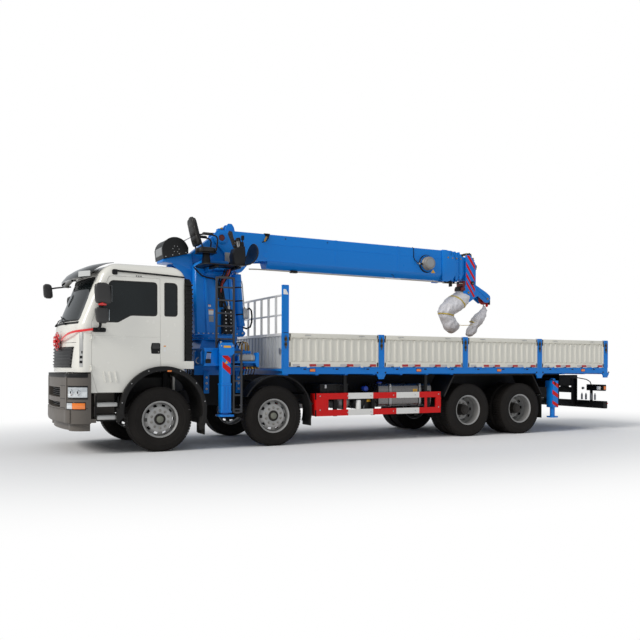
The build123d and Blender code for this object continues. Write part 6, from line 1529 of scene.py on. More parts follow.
for way in (1, -1):
    for z in (0.49, 0.79):
        # end caps of the tubes, reflectors and the bolts that hold them
        for x in GUARD_X:
            rails.use(crane_black).bar((x - 0.006, x + 0.006), across(way, 1.166, 1.204),
                                       (z - 0.003, z + 0.113), 0.003)
        for k in range(1, 5):
            x = GUARD_X[0] + 0.11 + bay * k
            rails.use(chassis_black).bar((x - 0.025, x + 0.025), across(way, 1.1, 1.1705), (z + 0.02, z + 0.09))
            rails.use(zinc).rod((x, way * 1.2, z + 0.055), (x, way * 1.208, z + 0.055), 0.011, 6)
    # folded end plate at the front, turned in towards the frame
    rails.use(guard_red).bar((1.262, 1.366), across(way, 1.172, 1.1985), (0.595, 0.795), 0.002)
    rails.bar((1.506, 1.5185), across(way, 0.98, 1.1985), (0.492, 0.898), 0.003)
    # drop brackets behind the rails
    for x in (-0.95, 0.3, 1.1):
        rails.use(chassis_black).bar((x - 0.035, x + 0.035), across(way, 1.12, 1.168), (0.48, 0.92), 0.005)
    for x, z in ((1.435, 0.6), (1.435, 0.85), (-1.165, 0.6), (-1.165, 0.85)):
        rails.use(zinc).rod((x, way * 1.2, z), (x, way * 1.209, z), 0.012, 6)
    # lamp board at the tail: tail, stop and turn lenses behind a mesh guard, reflector under them
    board = across(way, 0.69, 1.19)
    rails.use(crane_black).bar((-5.79, -5.775), board, (0.86, 0.985), 0.008)
    for y, colour in ((1.13, lamp_amber), (1.03, lamp_red), (0.93, lamp_red), (0.83, lamp_glass), (0.75, lamp_red)):
        rails.use(colour).bar((-5.807, -5.79), across(way, y - 0.042, y + 0.042), (0.885, 0.965), 0.012)
    rails.use(lamp_amber).bar((-5.77, -5.71), across(way, 1.188, 1.197), (0.88, 0.955), 0.004)
    rails.use(hose_black).tube([(-5.74, way * 0.8, 0.99), (-5.73, way * 0.78, 1.05), (-5.7, way * 0.7, 1.1),
                                (-5.6, way * 0.5, 1.14)], 0.011, 8)
    # underrun bar: end cap, drop arms and pale couplings beside the lamps
    rails.use(crane_black).prism(plate(-5.818, -5.692, 0.457, 0.623, 0.02), "Y",
                                 *across(way, 1.186, 1.196), edge=0.003)
    rails.use(zinc).rod((-5.7, way * 0.62, 0.9), (-5.66, way * 0.62, 0.9), 0.03, 18, 0.005)
    rails.use(label_white).bar((-5.7, -5.64), across(way, 1.05, 1.12), (0.875, 0.95), 0.01)
# blank number plate board with its lamp
rails.use(crane_black).bar((-5.8, -5.785), (-0.27, 0.27), (0.78, 0.91), 0.005)
rails.use(label_white).bar((-5.807, -5.8), (-0.26, 0.26), (0.79, 0.9), 0.002)
rails.use(chassis_black).bar((-5.785, -5.7), (-0.1, 0.1), (0.9, 0.96), 0.006)
# stripes of the hatched tail marker
for k in range(9):
    y = -1.05 + 0.26 * k
    rails.use(stripe_red if k % 2 == 0 else label_white).prism(
        [(y, 0.5), (y + 0.13, 0.5), (y + 0.19, 0.585), (y + 0.06, 0.585)], "X", -5.8185, -5.8145)
rails.done()

# ---------------------------------------------------------------- tank, air vessels and boxes
# A stainless fuel tank on rubber-lined straps, black and grey air vessels and a battery box hung on brackets
# along the rails, and the silencer on the other side.
tank_steel = finish("tank_steel", (0.2, 0.192, 0.19), 0.26, metal=0.92, drift=0.12,
                    drift_size=4, dust=0.1, dust_top=1.2)
strap_steel = finish("strap_steel", (0.34, 0.34, 0.34), 0.3, metal=0.9, dust=0.1)
cap_blue = finish("cap_blue", (0.01, 0.05, 0.4), 0.35)
vessel_black = finish("vessel_black", (0.008, 0.008, 0.009), 0.36, dust=0.12, dust_top=1.2, gloss=0.3)
box_grey = finish("box_grey", (0.012, 0.012, 0.0125), 0.5, grain=0.3, dust=0.12, dust_top=1.3, gloss=0.3)


def panel(half_y, half_z, radius, y, z, steps=6):
    """A rounded section round (y, z)."""
    return plate(y - half_y, y + half_y, z - half_z, z + half_z, radius, steps)


TANK_Y, TANK_Z, TANK_X = 0.825, 0.835, (-1.065, 0.155)
hung = Piece("tank_and_vessels", "chassis", "equipment_metal", tank_steel)
# tank: drawn ends set into a rolled shell with a weld bead at each end, two baffle beads
hung.prism(panel(0.28, 0.215, 0.09, TANK_Y, TANK_Z), "X", TANK_X[0] + 0.012, TANK_X[1] - 0.012, 0.012, 3)
for x in (TANK_X[0] + 0.016, TANK_X[1] - 0.016):
    hung.prism(panel(0.2825, 0.2175, 0.092, TANK_Y, TANK_Z), "X", x - 0.008, x + 0.008, 0.005)
    hung.prism(panel(0.2, 0.135, 0.05, TANK_Y, TANK_Z), "X", x - 0.0135, x + 0.0135, 0.006)
for x in (-0.455,):
    hung.prism(panel(0.282, 0.217, 0.092, TANK_Y, TANK_Z), "X", x - 0.006, x + 0.006, 0.004)
# straps of bright steel over a rubber strip, each with its T-bolt and yellow plate
for x in (TANK_X[0] + 0.27, TANK_X[1] - 0.27):
    hung.use(hose_black).prism(panel(0.2865, 0.2215, 0.096, TANK_Y, TANK_Z), "X", x - 0.036, x + 0.036)
    hung.use(strap_steel).prism(panel(0.2905, 0.2255, 0.1, TANK_Y, TANK_Z), "X", x - 0.029, x + 0.029, 0.002)
    hung.use(zinc).rod((x, 1.104, 0.985), (x, 1.104, 1.055), 0.009, 10, 0.002)
    hung.bar((x - 0.02, x + 0.02), (1.085, 1.115), (1.005, 1.02), 0.003)
    hung.use(chassis_black).bar((x - 0.034, x + 0.034), (0.43, TANK_Y - 0.25), (0.6, 0.642), 0.006)
    hung.bar((x - 0.034, x + 0.034), (0.43, 0.53), (0.6, 1.03), 0.006)
for x in (-0.71, -0.655):
    hung.use(stripe_yellow).bar((x - 0.024, x + 0.024), (1.104, 1.1065), (0.872, 0.953), 0.001)
# filler neck with its blue cap, sender and vent hose on the top
hung.use(tank_steel).lathe([(0.0, 0.062), (0.012, 0.062), (0.016, 0.055), (0.02, 0.0)], (-0.005, 0.885, 1.046), "Z", 32,
                           False)
hung.use(cap_blue).lathe([(0.0, 0.054), (0.02, 0.0555), (0.03, 0.052), (0.034, 0.045), (0.034, 0.0)],
                         (-0.005, 0.885, 1.058), "Z", 32, False)
hung.bar((-0.045, 0.035), (0.88, 0.89), (1.085, 1.094), 0.003)
hung.use(crane_black).lathe([(0.0, 0.035), (0.016, 0.035), (0.02, 0.0)], (-0.6, 0.82, 1.048), "Z", 20, False)
hung.use(hose_black).tube([(-0.6, 0.82, 1.065), (-0.58, 0.8, 1.09), (-0.45, 0.72, 1.1), (-0.3, 0.6, 1.1),
                           (-0.2, 0.47, 1.08)], 0.009, 8)
vessel_grey = finish("vessel_grey", (0.2, 0.2, 0.2), 0.34, metal=0.7, drift=0.1, dust=0.1, dust_top=1.2)
# air vessels: rolled shells with dished ends, drain plugs and their bands
for x in (0.885, 0.555):
    hung.use(vessel_grey if x > 0.7 else vessel_black).lathe([(0.432, 0.0), (0.434, 0.05), (0.445, 0.1),
                                                              (0.465, 0.126), (0.49, 0.135), (1.062, 0.135),
                                                              (1.087, 0.126), (1.107, 0.1), (1.118, 0.05),
                                                              (1.12, 0.0)], (x, 0, 0.73), "Y", 40, False)
    for y in (0.5, 1.05):
        hung.lathe([(y - 0.006, 0.134), (y - 0.006, 0.138), (y + 0.006, 0.138), (y + 0.006, 0.134)], (x, 0, 0.73),
                   "Y", 40)
    for y in (0.62, 0.93):
        hung.use(strap_steel).lathe([(y - 0.014, 0.135), (y - 0.014, 0.1385), (y + 0.014, 0.1385), (y + 0.014, 0.135)],
                                    (x, 0, 0.73), "Y", 40)
        hung.use(chassis_black).bar((x - 0.03, x + 0.03), (y - 0.02, y + 0.02), (0.862, 0.9), 0.004)
    hung.use(brass).rod((x, 1.118, 0.73), (x, 1.13, 0.73), 0.016, 6)
    hung.use(brass).rod((x, 0.8, 0.588), (x, 0.8, 0.6), 0.016, 6)
    hung.use(hose_black).tube([(x, 1.128, 0.73), (x + 0.01, 1.14, 0.76), (x + 0.03, 1.12, 0.83), (x + 0.05, 1.0, 0.9),
                               (x + 0.06, 0.8, 0.94)], 0.0075, 8)
# valve box with a ribbed lid and latches
hung.use(box_grey).bar((0.778, 1.352), (0.43, 1.047), (0.878, 1.035), 0.016)
hung.bar((0.77, 1.36), (0.43, 1.055), (1.032, 1.062), 0.01)
for k in range(7):
    x = 0.84 + 0.075 * k
    hung.bar((x - 0.012, x + 0.012), (0.5, 1.0), (1.058, 1.068), 0.004)
    hung.bar((x - 0.01, x + 0.01), (1.044, 1.053), (0.895, 1.02), 0.003)
for x in (0.88, 1.25):
    hung.use(zinc).bar((x - 0.018, x + 0.018), (1.05, 1.068), (0.985, 1.05), 0.003)
# air dryer, its canister and the row of couplings below the box
hung.use(vessel_black).lathe([(0.0, 0.0), (0.0, 0.06), (0.012, 0.068), (0.17, 0.068), (0.19, 0.05), (0.19, 0.0)],
                             (1.2, 0.93, 0.69), "Z", 28, False)
hung.use(label_grey).lathe([(0.0, 0.0), (0.0, 0.05), (0.02, 0.055), (0.12, 0.055), (0.12, 0.0)], (1.3, 0.72, 0.74),
                           "Z", 24, False)
for x in (1.03, 1.07, 1.11):
    hung.use(brass).rod((x, 0.98, 0.858), (x, 0.98, 0.88), 0.011, 8, 0.002)
    hung.use(hose_black).tube([(x, 0.98, 0.86), (x, 0.97, 0.8), (x - 0.01, 0.9, 0.75), (x - 0.02, 0.7, 0.74),
                               (x - 0.02, 0.5, 0.78)], 0.0075, 8)
# filter canisters between vessel and tank, with a pale body, and the blue service cap over them
hung.use(label_white).lathe([(0.0, 0.0), (0.0, 0.04), (0.01, 0.047), (0.2, 0.047), (0.21, 0.04), (0.21, 0.0)],
                            (0.612, 1.15, 0.555), "Z", 28, False)
hung.use(vessel_black).bar((0.25, 0.45), (0.86, 1.08), (0.52, 0.8), 0.02)
for x in (0.248, 0.452):
    hung.use(label_grey).bar((x - 0.008, x + 0.008), (1.07, 1.086), (0.53, 0.79), 0.003)
hung.use(stripe_yellow).bar((0.31, 0.39), (1.08, 1.082), (0.725, 0.765), 0.001)
hung.use(cap_blue).lathe([(0.96, 0.0), (0.96, 0.05), (1.035, 0.052), (1.048, 0.046), (1.052, 0.03), (1.052, 0.0)],
                         (0.385, 0, 0.966), "Y", 28, False)
# right side: battery box with its lid, silencer with clamps and tail pipe
hung.use(box_grey).bar((0.818, 1.352), (-1.115, -0.43), (0.622, 0.99), 0.02)
hung.bar((0.81, 1.36), (-1.122, -0.43), (0.985, 1.048), 0.014)
for k in range(5):
    z = 0.68 + 0.06 * k
    hung.bar((0.86, 1.31), (-1.122, -1.112), (z - 0.009, z + 0.009), 0.003)
hung.use(zinc).bar((1.06, 1.1), (-1.129, -1.112), (0.96, 1.02), 0.003)
muffler = finish("muffler_steel", (0.2, 0.17, 0.14), 0.55, metal=0.7, drift=0.3, drift_size=5, dust=0.4, dust_top=1.2)
hung.use(muffler).prism(panel(0.3, 0.22, 0.15, -0.8, 0.8), "X", -0.573, 0.403, 0.02, 3)
for x in (-0.566, 0.396):
    hung.prism(panel(0.304, 0.224, 0.153, -0.8, 0.8), "X", x - 0.008, x + 0.008, 0.005)
    hung.prism(panel(0.2, 0.13, 0.09, -0.8, 0.8), "X", x - 0.016, x + 0.016, 0.01)
for x in (-0.33, 0.16):
    hung.use(strap_steel).prism(panel(0.3035, 0.2235, 0.153, -0.8, 0.8), "X", x - 0.02, x + 0.02, 0.002)
    hung.use(chassis_black).bar((x - 0.03, x + 0.03), (-0.56, -0.43), (0.7, 0.9), 0.006)
hung.use(muffler).tube([(-0.57, -0.8, 0.8), (-0.66, -0.8, 0.79), (-0.74, -0.85, 0.76), (-0.79, -0.95, 0.73),
                        (-0.8, -1.05, 0.72), (-0.8, -1.12, 0.72)], 0.05, 20)
hung.done("side_equipment")

# ---------------------------------------------------------------- flat bed, posts and front rack
# A steel subframe with blue side rails under a plywood floor; blue stake posts stand between the drop
# gates, and a white welded tube rack over a ribbed board protects the front of the load.
bed_blue = finish("bed_blue", (0.003, 0.19, 0.64), 0.34, clear=0.1, drift=0.05, dust=0.06, dust_top=1.5, gloss=0.25)
latch_brass = finish("latch_brass", (0.11, 0.075, 0.02), 0.42, metal=0.8, drift=0.3, drift_size=30)
# near-black matte patches of painted shade, laid where slots, notches and holes would show their dark insides
painted_hole_shade = finish("painted_hole_shade", (0.006, 0.006, 0.007), 0.7)
BED_X = (-5.76, 2.19)
POST_X = (2.135, 0.175, -1.785, -3.745, -5.705)
bed_paint = zoned("bed_paint", bed_blue, (0.19, 0.115, 0.06), [((-FAR, -1.19, 1.302), (BED_X[1] - 0.02, 1.19, FAR))])
wear(bed_paint, "bed")


def slot_shade_patch(shape):
    """A thin near-black patch on the side rail's face: painted shade where the punched lashing slot and the round hole
    beside it would show their dark insides.
    """
    shape.prism(plate(-0.03, 0.03, -0.011, 0.011, 0.0105), "Y", 0.0, 0.0012)
    shape.lathe([(0.0, 0.0), (0.0, 0.008), (0.0012, 0.008), (0.0012, 0.0)], (0.075, 0, 0.004), "Y", 14, False)


slot_shade_part = small_mesh("rail_slot", slot_shade_patch)
deck = Piece("bed_fittings", "chassis", "bed_paint", bed_blue)
for way in (1, -1):
    outer = way * 1.25
    # rolled edges of the rail, and its lashing slots as dark patches of painted shade
    for z in (1.252, 1.363):
        deck.bar(BED_X, across(way, 1.235, 1.2535), (z - 0.005, z + 0.005), 0.0035)
    row = repeated(ROW, slot_shade_part, 12, (1.762 - 11 * 0.645, outer - (0.0 if way > 0 else 0.0012), 1.333), (0.645, 0, 0))
    deck.use(painted_hole_shade).add_mesh(row).use(bed_blue)
    for i, x in enumerate(POST_X):
        top = 2.79 if i == 0 else 1.964
        # post: folded cap, foot gusset, brass latches high and low, and the hinge pins' keepers
        deck.bar((x - 0.058, x + 0.058), across(way, 1.186, 1.2535), (top - 0.004, top + 0.008), 0.004)
        for dx in (-0.052, 0.052):
            deck.bar((x + dx - 0.006, x + dx + 0.006), across(way, 1.235, 1.256), (1.37, top - 0.01), 0.003)
        for z in (1.765, 1.855):
            deck.use(latch_brass).bar((x - 0.024, x + 0.024), across(way, 1.25, 1.262), (z - 0.032, z + 0.032), 0.004)
            deck.use(crane_black).bar((x - 0.008, x + 0.03), across(way, 1.26, 1.269), (z - 0.01, z + 0.01), 0.003)
        deck.use(latch_brass).rod((x, way * 1.258, 1.69), (x, way * 1.258, 1.92), 0.009, 10, 0.002)
        deck.use(crane_black).bar((x - 0.056, x + 0.056), across(way, 1.2, 1.2525), (1.962, 1.972), 0.002)
        if i == 0:
            deck.use(label_white).prism([(x - 0.05, 2.63), (x + 0.05, 2.63), (x + 0.05, 2.72), (x, 2.72)], "Y",
                                        *across(way, 1.25, 1.258), edge=0.004)
        deck.use(bed_blue)
        if i in (1, 3, 4):
            # tapered lug under the post, and the two drain notches beside it as dark discs of painted shade
            deck.prism([(x - 0.095, 1.262), (x - 0.095, 1.228), (x - 0.045, 1.149), (x + 0.045, 1.149),
                        (x + 0.095, 1.228), (x + 0.095, 1.262)], "Y", *across(way, 1.218, 1.2525), edge=0.005)
            for dx in (-0.088, 0.088):
                deck.use(painted_hole_shade).rod((x + dx, way * 1.25, 1.268), (x + dx, way * 1.2542, 1.268), 0.017, 12)
            deck.use(bed_blue)
    # amber side markers let into the rail
    for x in (1.613, -0.664, -2.642, -4.999):
        deck.use(crane_black).bar((x - 0.056, x + 0.056), across(way, 1.25, 1.2545), (1.284, 1.343), 0.004)
        deck.use(lamp_amber).bar((x - 0.05, x + 0.05), across(way, 1.253, 1.2605), (1.289, 1.338), 0.006)
    deck.use(bed_blue)
# rear sill, its slots as dark patches of painted shade, and the corner steps
for z in (1.252, 1.363):
    deck.bar((-5.7655, -5.75), (-1.21, 1.21), (z - 0.005, z + 0.005), 0.0035)
for y in (-0.9, -0.45, 0.0, 0.45, 0.9):
    deck.use(painted_hole_shade).prism(plate(y - 0.03, y + 0.03, 1.297, 1.319, 0.01), "X", -5.7612, -5.759).use(bed_blue)
# boards of the floor, with the seams between them
boards = finish("floor_boards", (0.21, 0.13, 0.07), 0.7, drift=0.35, drift_size=3, grain=0.6, grain_size=38)
deck.use(boards)
for k in range(12):
    y = -1.185 + 0.1975 * k
    deck.bar((BED_X[0] + 0.02, BED_X[1] - 0.12), (y + 0.003, y + 0.1945), (1.338, 1.3445), 0.0015, 1)
deck.done()

tube_white = finish("tube_white", (0.76, 0.755, 0.73), 0.36, clear=0.2, drift=0.04, drift_size=3)
board_grey = finish("board_grey", (0.52, 0.54, 0.55), 0.4, drift=0.08, drift_size=4, dust=0.1, dust_top=1.9)
rack = Piece("front_rack", "chassis", "headboard_paint", tube_white)
RACK_X = 2.13
# square tube frame and its uprights, mitred and welded
rack.tube([(RACK_X, y, z) for y, z in [(-1.168, 1.95), (-1.168, 2.56), (-1.155, 2.6), (-1.12, 2.626), (-1.08, 2.63),
                                       (1.08, 2.63), (1.12, 2.626), (1.155, 2.6), (1.168, 2.56), (1.168, 1.95)]],
          0.0195, 14)
for k in range(1, 7):
    y = -1.15 + 2.3 * k / 7
    rack.bar((RACK_X - 0.018, RACK_X + 0.018), (y - 0.019, y + 0.019), (1.955, 2.622), 0.006)
rack.bar((RACK_X - 0.02, RACK_X + 0.02), (-1.185, 1.185), (1.916, 1.966), 0.009)
rack.bar((RACK_X - 0.016, RACK_X + 0.016), (-1.185, 1.185), (2.27, 2.3), 0.007)
# corrugated board under it
board = [(2.102, -1.186)]
y = -1.186
while y < 1.15:
    board += [(2.102, y + 0.045), (2.128, y + 0.06), (2.128, y + 0.118), (2.102, y + 0.133)]
    y += 0.148
board += [(2.102, 1.186)]
rack.use(board_grey).prism(board + [(x - 0.005, y) for x, y in reversed(board)], "Z", 1.346, 1.916, 0.0)
rack.bar((2.09, 2.135), (-1.186, 1.186), (1.342, 1.375), 0.005)
# grey load-binder tray and clamps on the board's face
for y in (-1.0, 1.0):
    rack.use(zinc).bar((2.135, 2.15), (y - 0.03, y + 0.03), (1.6, 1.7), 0.005)
rack.done("headboard", smooth=32)

# ---------------------------------------------------------------- drop gates
# Pressed steel panels with vertical ribs between box rails, hung on pins along the floor; cream enamel,
# with reflective tape in dashes along the foot.
gate_cream = finish("gate_cream", (0.73, 0.71, 0.635), 0.4, clear=0.1, drift=0.03, drift_size=2, dust=0.05,
                    dust_top=1.6, gloss=0.35)
tape_red = finish("tape_red", (0.42, 0.004, 0.012), 0.3, clear=0.4, drift=0.05)
tape_white = finish("tape_white", (0.5, 0.48, 0.49), 0.3, clear=0.4, drift=0.05)


def gate_rib(shape):
    """One pressed rib, a tapered bar with rounded shoulders, drawn on the gate's outer face."""
    section = [(-0.034, 0.0), (-0.024, 0.013), (-0.018, 0.0165), (0.018, 0.0165), (0.024, 0.013), (0.034, 0.0)]
    part = bmesh.new()
    rings = [[part.verts.new((x * grow, y * tall, z)) for x, y in section]
             for z, tall, grow in ((1.468, 0.05, 0.8), (1.484, 1.0, 1.0), (1.868, 1.0, 1.0), (1.884, 0.05, 0.8))]
    for one, two in zip(rings, rings[1:]):
        for i in range(len(section) - 1):
            part.faces.new((one[i], one[i + 1], two[i + 1], two[i]))
    shape.take(part)


rib_part = small_mesh("gate_rib", gate_rib)


def gate_panel(piece, length, place):
    """One gate drawn upright along X with its outer face at y 0, then put in its place."""
    made = Piece("gate", "", "", None)
    made.finishes, half = piece.finishes, length / 2
    made.use(gate_cream).bar((-half + 0.02, half - 0.02), (-0.034, -0.0165), (1.395, 1.93), 0.002)
    for low, high in ((1.3725, 1.462), (1.89, 1.9635)):
        made.bar((-half, half), (-0.0395, 0.0015), (low, high), 0.008)
    for x in (-half + 0.02, half - 0.02):
        made.bar((x - 0.02, x + 0.02), (-0.0395, 0.0015), (1.3725, 1.9635), 0.006)
    made.bar((-half + 0.015, half - 0.015), (0.0015, 0.006), (1.884, 1.896), 0.002)
    count = max(int(length / 0.145), 4)
    pitch = (length - 0.08) / count
    ribs = repeated(ROW, rib_part, count, (-half + 0.04 + pitch / 2, -0.017, 0), (pitch, 0, 0))
    made.add_mesh(ribs)
    # reflective dashes and the lifting handles
    for share, colour in ((0.85, tape_white), (0.49, tape_red), (0.33, tape_white), (0.18, tape_red),
                          (-0.19, tape_white), (-0.34, tape_red), (-0.5, tape_white), (-0.87, tape_red)):
        x = share * half
        made.use(colour).bar((x - 0.069, x + 0.069), (0.0012, 0.0032), (1.3805, 1.4235), 0.0006, 1)
    made.use(zinc)
    for x in (-half * 0.6, half * 0.6):
        made.tube([(x - 0.055, 0.002, 1.93), (x - 0.05, 0.02, 1.93), (x, 0.024, 1.928), (x + 0.05, 0.02, 1.93),
                   (x + 0.055, 0.002, 1.93)], 0.006, 8)
    for x in (-half + 0.012, half - 0.012):
        made.use(latch_brass).bar((x - 0.012, x + 0.012), (-0.02, 0.012), (1.83, 1.895), 0.004)
    made.use(crane_black)
    for x in (-half * 0.8, -half * 0.27, half * 0.27, half * 0.8):
        made.bar((x - 0.03, x + 0.03), (-0.0385, 0.0065), (1.367, 1.3845), 0.004)
    # rolled hinge eyes along the foot, each round its own pin
    for x in (-0.3 * length, 0.3 * length):
        made.use(gate_cream).lathe([(-0.028, 0.0068), (-0.028, 0.011), (0.028, 0.011), (0.028, 0.0068)],
                                   (x, 0.016, 1.3735), "X", 18)
        made.bar((x - 0.028, x + 0.028), (-0.005, 0.016), (1.3815, 1.388), 0.002)
    mesh = bpy.data.meshes.new("gate")
    made.bm.to_mesh(mesh)
    made.bm.free()
    mesh.transform(place)
    piece.bm.from_mesh(mesh)
    bpy.data.meshes.remove(mesh)


for side, way in SIDES:
    gates = Piece(f"drop_gates_{side}", f"gates_{side}", "gate_paint", gate_cream)
    for x in (1.155, -0.805, -2.765, -4.725):
        gate_panel(gates, 1.834, Matrix.Translation((x, way * 1.246, 0)) @ Matrix.Rotation(0 if way > 0 else math.pi,
                                                                                          4, "Z"))
    gates.done(f"gates_{side}", smooth=34)
tail = Piece("drop_tailgate", "tailgate", "gate_paint", gate_cream)
gate_panel(tail, 2.364, Matrix.Translation((-5.756, 0, 0)) @ Matrix.Rotation(math.pi / 2, 4, "Z"))
tail.done("tailgate", smooth=34)

# ---------------------------------------------------------------- rear legs
# The rear jacks are steel tubes on a cross beam, cased in blue plate with slanted red stripes; their
# feet slide down inside.
JACK_X, JACK_Y, JACK_WALL = -4.205, 1.15, 0.0035
jack_paint = zoned("jack_paint", chassis_black, (0.003, 0.19, 0.64), [((-4.31, 1.02, 0.5), (-4.1, FAR, 1.1)),
                                                                      ((-4.31, -FAR, 0.5), (-4.1, -1.02, 1.1))])
wear(jack_paint, "chassis_frame")
jacks = Piece("jack_fittings", "chassis", "crane_paint", crane_blue)
for way in (1, -1):
    # square casing of four plates with three red stripes falling to the rear on its outer side
    for x in (-4.2865, -4.1235):
        jacks.bar((x - JACK_WALL, x + JACK_WALL), across(way, 1.066, 1.236), (0.52, 1.09), 0.0025)
    for y in (1.0695, 1.2325):
        jacks.bar((-4.29, -4.12), across(way, y - JACK_WALL, y + JACK_WALL), (0.52, 1.09), 0.0025)
    for stripe in ([(-4.122, 0.9), (-4.122, 0.81), (-4.288, 0.715), (-4.288, 0.8)],
                   [(-4.122, 1.085), (-4.122, 1.03), (-4.288, 0.925), (-4.288, 1.02)],
                   [(-4.122, 0.67), (-4.122, 0.6), (-4.26, 0.522), (-4.288, 0.522), (-4.288, 0.59)]):
        jacks.use(stripe_red).prism(stripe, "Y", *across(way, 1.2355, 1.2385), edge=0.0008)
    jacks.use(crane_blue)
    jacks.lathe([(0.0, 0.0), (0.0, 0.062), (0.012, 0.066), (0.04, 0.05), (0.05, 0.02), (0.05, 0.0)],
                (JACK_X, way * JACK_Y, 1.094), "Z", 28, False)
    jacks.use(brass).rod((JACK_X, way * 1.225, 1.0), (JACK_X, way * 1.245, 1.0), 0.014, 6)
    jacks.use(hose_black).tube([(JACK_X, way * 1.24, 1.0), (-4.19, way * 1.25, 1.05), (-4.15, way * 1.2, 1.12),
                                (-4.1, way * 1.05, 1.15), (-4.08, way * 0.8, 1.12)], 0.0095, 8)
    jacks.use(crane_blue)
jacks.done()

# ---------------------------------------------------------------- frame tail
# The rear overhang of the frame: folded channels bolted inside the rails, a closing cross member, drop
# plates for the tail bar, pale air couplings and the long rubber flaps behind the last wheels. The flaps reach
# down to 0.31 m: real rubber, their lower part painted shadow standing in for the floor shadow behind those wheels.
frame_tail = Piece("frame_tail", "chassis", "chassis_paint", chassis_black)
for way in (1, -1):
    frame_tail.bar((-5.7, -4.3), across(way, 0.42, 0.43), (0.95, 1.2), 0.003)
    for z in (0.954, 1.196):
        frame_tail.bar((-5.7, -4.3), across(way, 0.36, 0.43), (z - 0.004, z + 0.004), 0.002)
    frame_tail.bar((-5.62, -5.5), across(way, 0.43, 0.44), (0.52, 1.12), 0.003)
    frame_tail.bar((-5.63, -5.62), across(way, 0.43, 0.5), (0.52, 1.12), 0.003)
    for y in (0.58, 0.7, 0.84, 0.96):
        frame_tail.use(label_grey).rod((-5.69, way * y, 0.64), (-5.69, way * y, 0.76), 0.023, 14, 0.006)
        frame_tail.rod((-5.69, way * y, 0.76), (-5.69, way * y, 0.79), 0.013, 12, 0.003)
    # long flap behind the last wheels, down to 0.31 m: real rubber, its lower part painted shadow where the floor
    # shadow falls
    frame_tail.use(flap_black).bar((-3.842, -3.834), across(way, 0.77, 1.21), (0.31, 0.84), 0.003)
    frame_tail.use(zinc)
    for y in (0.85, 1.0, 1.15):
        frame_tail.rod((-3.834, way * y, 0.79), (-3.829, way * y, 0.79), 0.011, 6)
    frame_tail.use(chassis_black)
frame_tail.bar((-5.705, -5.66), (-0.43, 0.43), (1.0, 1.17), 0.008)
frame_tail.bar((-4.95, -4.87), (-0.42, 0.42), (1.0, 1.16), 0.008)
frame_tail.done()

# ---------------------------------------------------------------- slewing column and lift cylinder
# A tapered welded column with bevelled corners turns on the ring and carries the boom's pin, the winch
# bracket and the operator's arms; the lift cylinder stands in a fork on its back. Blue gloss paint.
column = Piece("slewing_column", "column", "crane_paint", crane_blue)
X1 = 4.315
body_line = [(X1 - 0.86, 1.925), (X1 - 0.83, 3.18), (X1 - 1.01, 3.28), (X1 - 1.5, 3.28), (X1 - 1.54, 3.05),
             (X1 - 1.68, 1.925)]
column.prism(body_line, "Y", -0.3, 0.3, 0.035, 1)
column.prism(rounded([(X1 - 0.84, 3.12), (X1 - 0.82, 3.39), (3.035, 3.77), (2.925, 3.832), (2.815, 3.77),
                      (X1 - 1.5, 3.4), (X1 - 1.5, 3.12)], [0.01, 0.06, 0.08, 0.1, 0.08, 0.06, 0.01]),
             "Y", -0.134, 0.134, 0.012)
column.lathe([(0.0, 0.3), (0.0, 0.44), (0.045, 0.44), (0.05, 0.43), (0.05, 0.3)], (3.015, 0, 1.8805), "Z", 56)
for way in (1, -1):
    fork = rounded([(X1 - 1.6, 1.925), (X1 - 1.85, 1.925), (X1 - 1.905, 1.99), (X1 - 1.85, 2.045),
                    (X1 - 1.72, 2.06), (X1 - 1.6, 2.1)], [0.005, 0.04, 0.05, 0.04, 0.03, 0.005])
    column.prism(fork, "Y", *across(way, 0.065, 0.095), edge=0.005)
    # foot flange with its bolt row, stiffeners and the doubled plates round the boom pin
    column.bar((2.62, 3.47), across(way, 0.298, 0.335), (1.93, 1.955), 0.004)
    bolts(column.use(zinc), 9, (2.68, way * 0.318, 1.955), (0.09, 0, 0))
    column.use(crane_blue)
    column.prism([(X1 - 1.12, 1.95), (X1 - 1.06, 1.95), (X1 - 1.02, 3.0), (X1 - 1.06, 3.0)], "Y",
                 *across(way, 0.298, 0.322), edge=0.005)
    column.prism([(X1 - 1.63, 1.95), (X1 - 1.57, 1.95), (X1 - 1.46, 3.02), (X1 - 1.5, 3.02)], "Y",
                 *across(way, 0.298, 0.322), edge=0.005)
    column.prism(rounded([(X1 - 1.5, 3.02), (X1 - 1.04, 3.0), (X1 - 1.02, 3.06), (X1 - 1.47, 3.08)], 0.01), "Y",
                 *across(way, 0.298, 0.32), edge=0.004)
    column.lathe([(way * 0.13, 0.0), (way * 0.13, 0.1), (way * 0.142, 0.1), (way * 0.146, 0.094), (way * 0.146, 0.0)],
                 (2.925, 0, 3.71), "Y", 40, False)
column.rod((2.485, -0.105, 1.99), (2.485, 0.105, 1.99), 0.033, 24, 0.004)
column.use(zinc).rod((2.485, -0.114, 1.99), (2.485, 0.114, 1.99), 0.02, 16, 0.003).use(crane_blue)
# winch bracket and the arms to the operator's platform
column.prism(rounded([(X1 - 0.86, 3.08), (X1 - 0.83, 3.389), (X1 - 0.3, 3.249), (X1 - 0.3, 3.2), (X1 - 0.56, 3.18)],
                     [0.01, 0.01, 0.02, 0.02, 0.2]), "Y", -0.2, 0.2, 0.012)
for y in (-0.185, 0.185):
    column.prism([(X1 - 0.85, 2.82), (X1 - 0.83, 3.12), (X1 - 0.5, 3.2), (X1 - 0.47, 3.17)], "Y", y - 0.012, y + 0.012,
                 0.004)
for x in (2.87, 3.27):
    column.prism([(0.3, 3.02), (0.56, 3.062), (0.56, 3.108), (0.3, 3.108)], "X", x - 0.035, x + 0.035, 0.006)
column.bar((2.836, 3.314), (0.296, 0.56), (3.085, 3.109), 0.005)
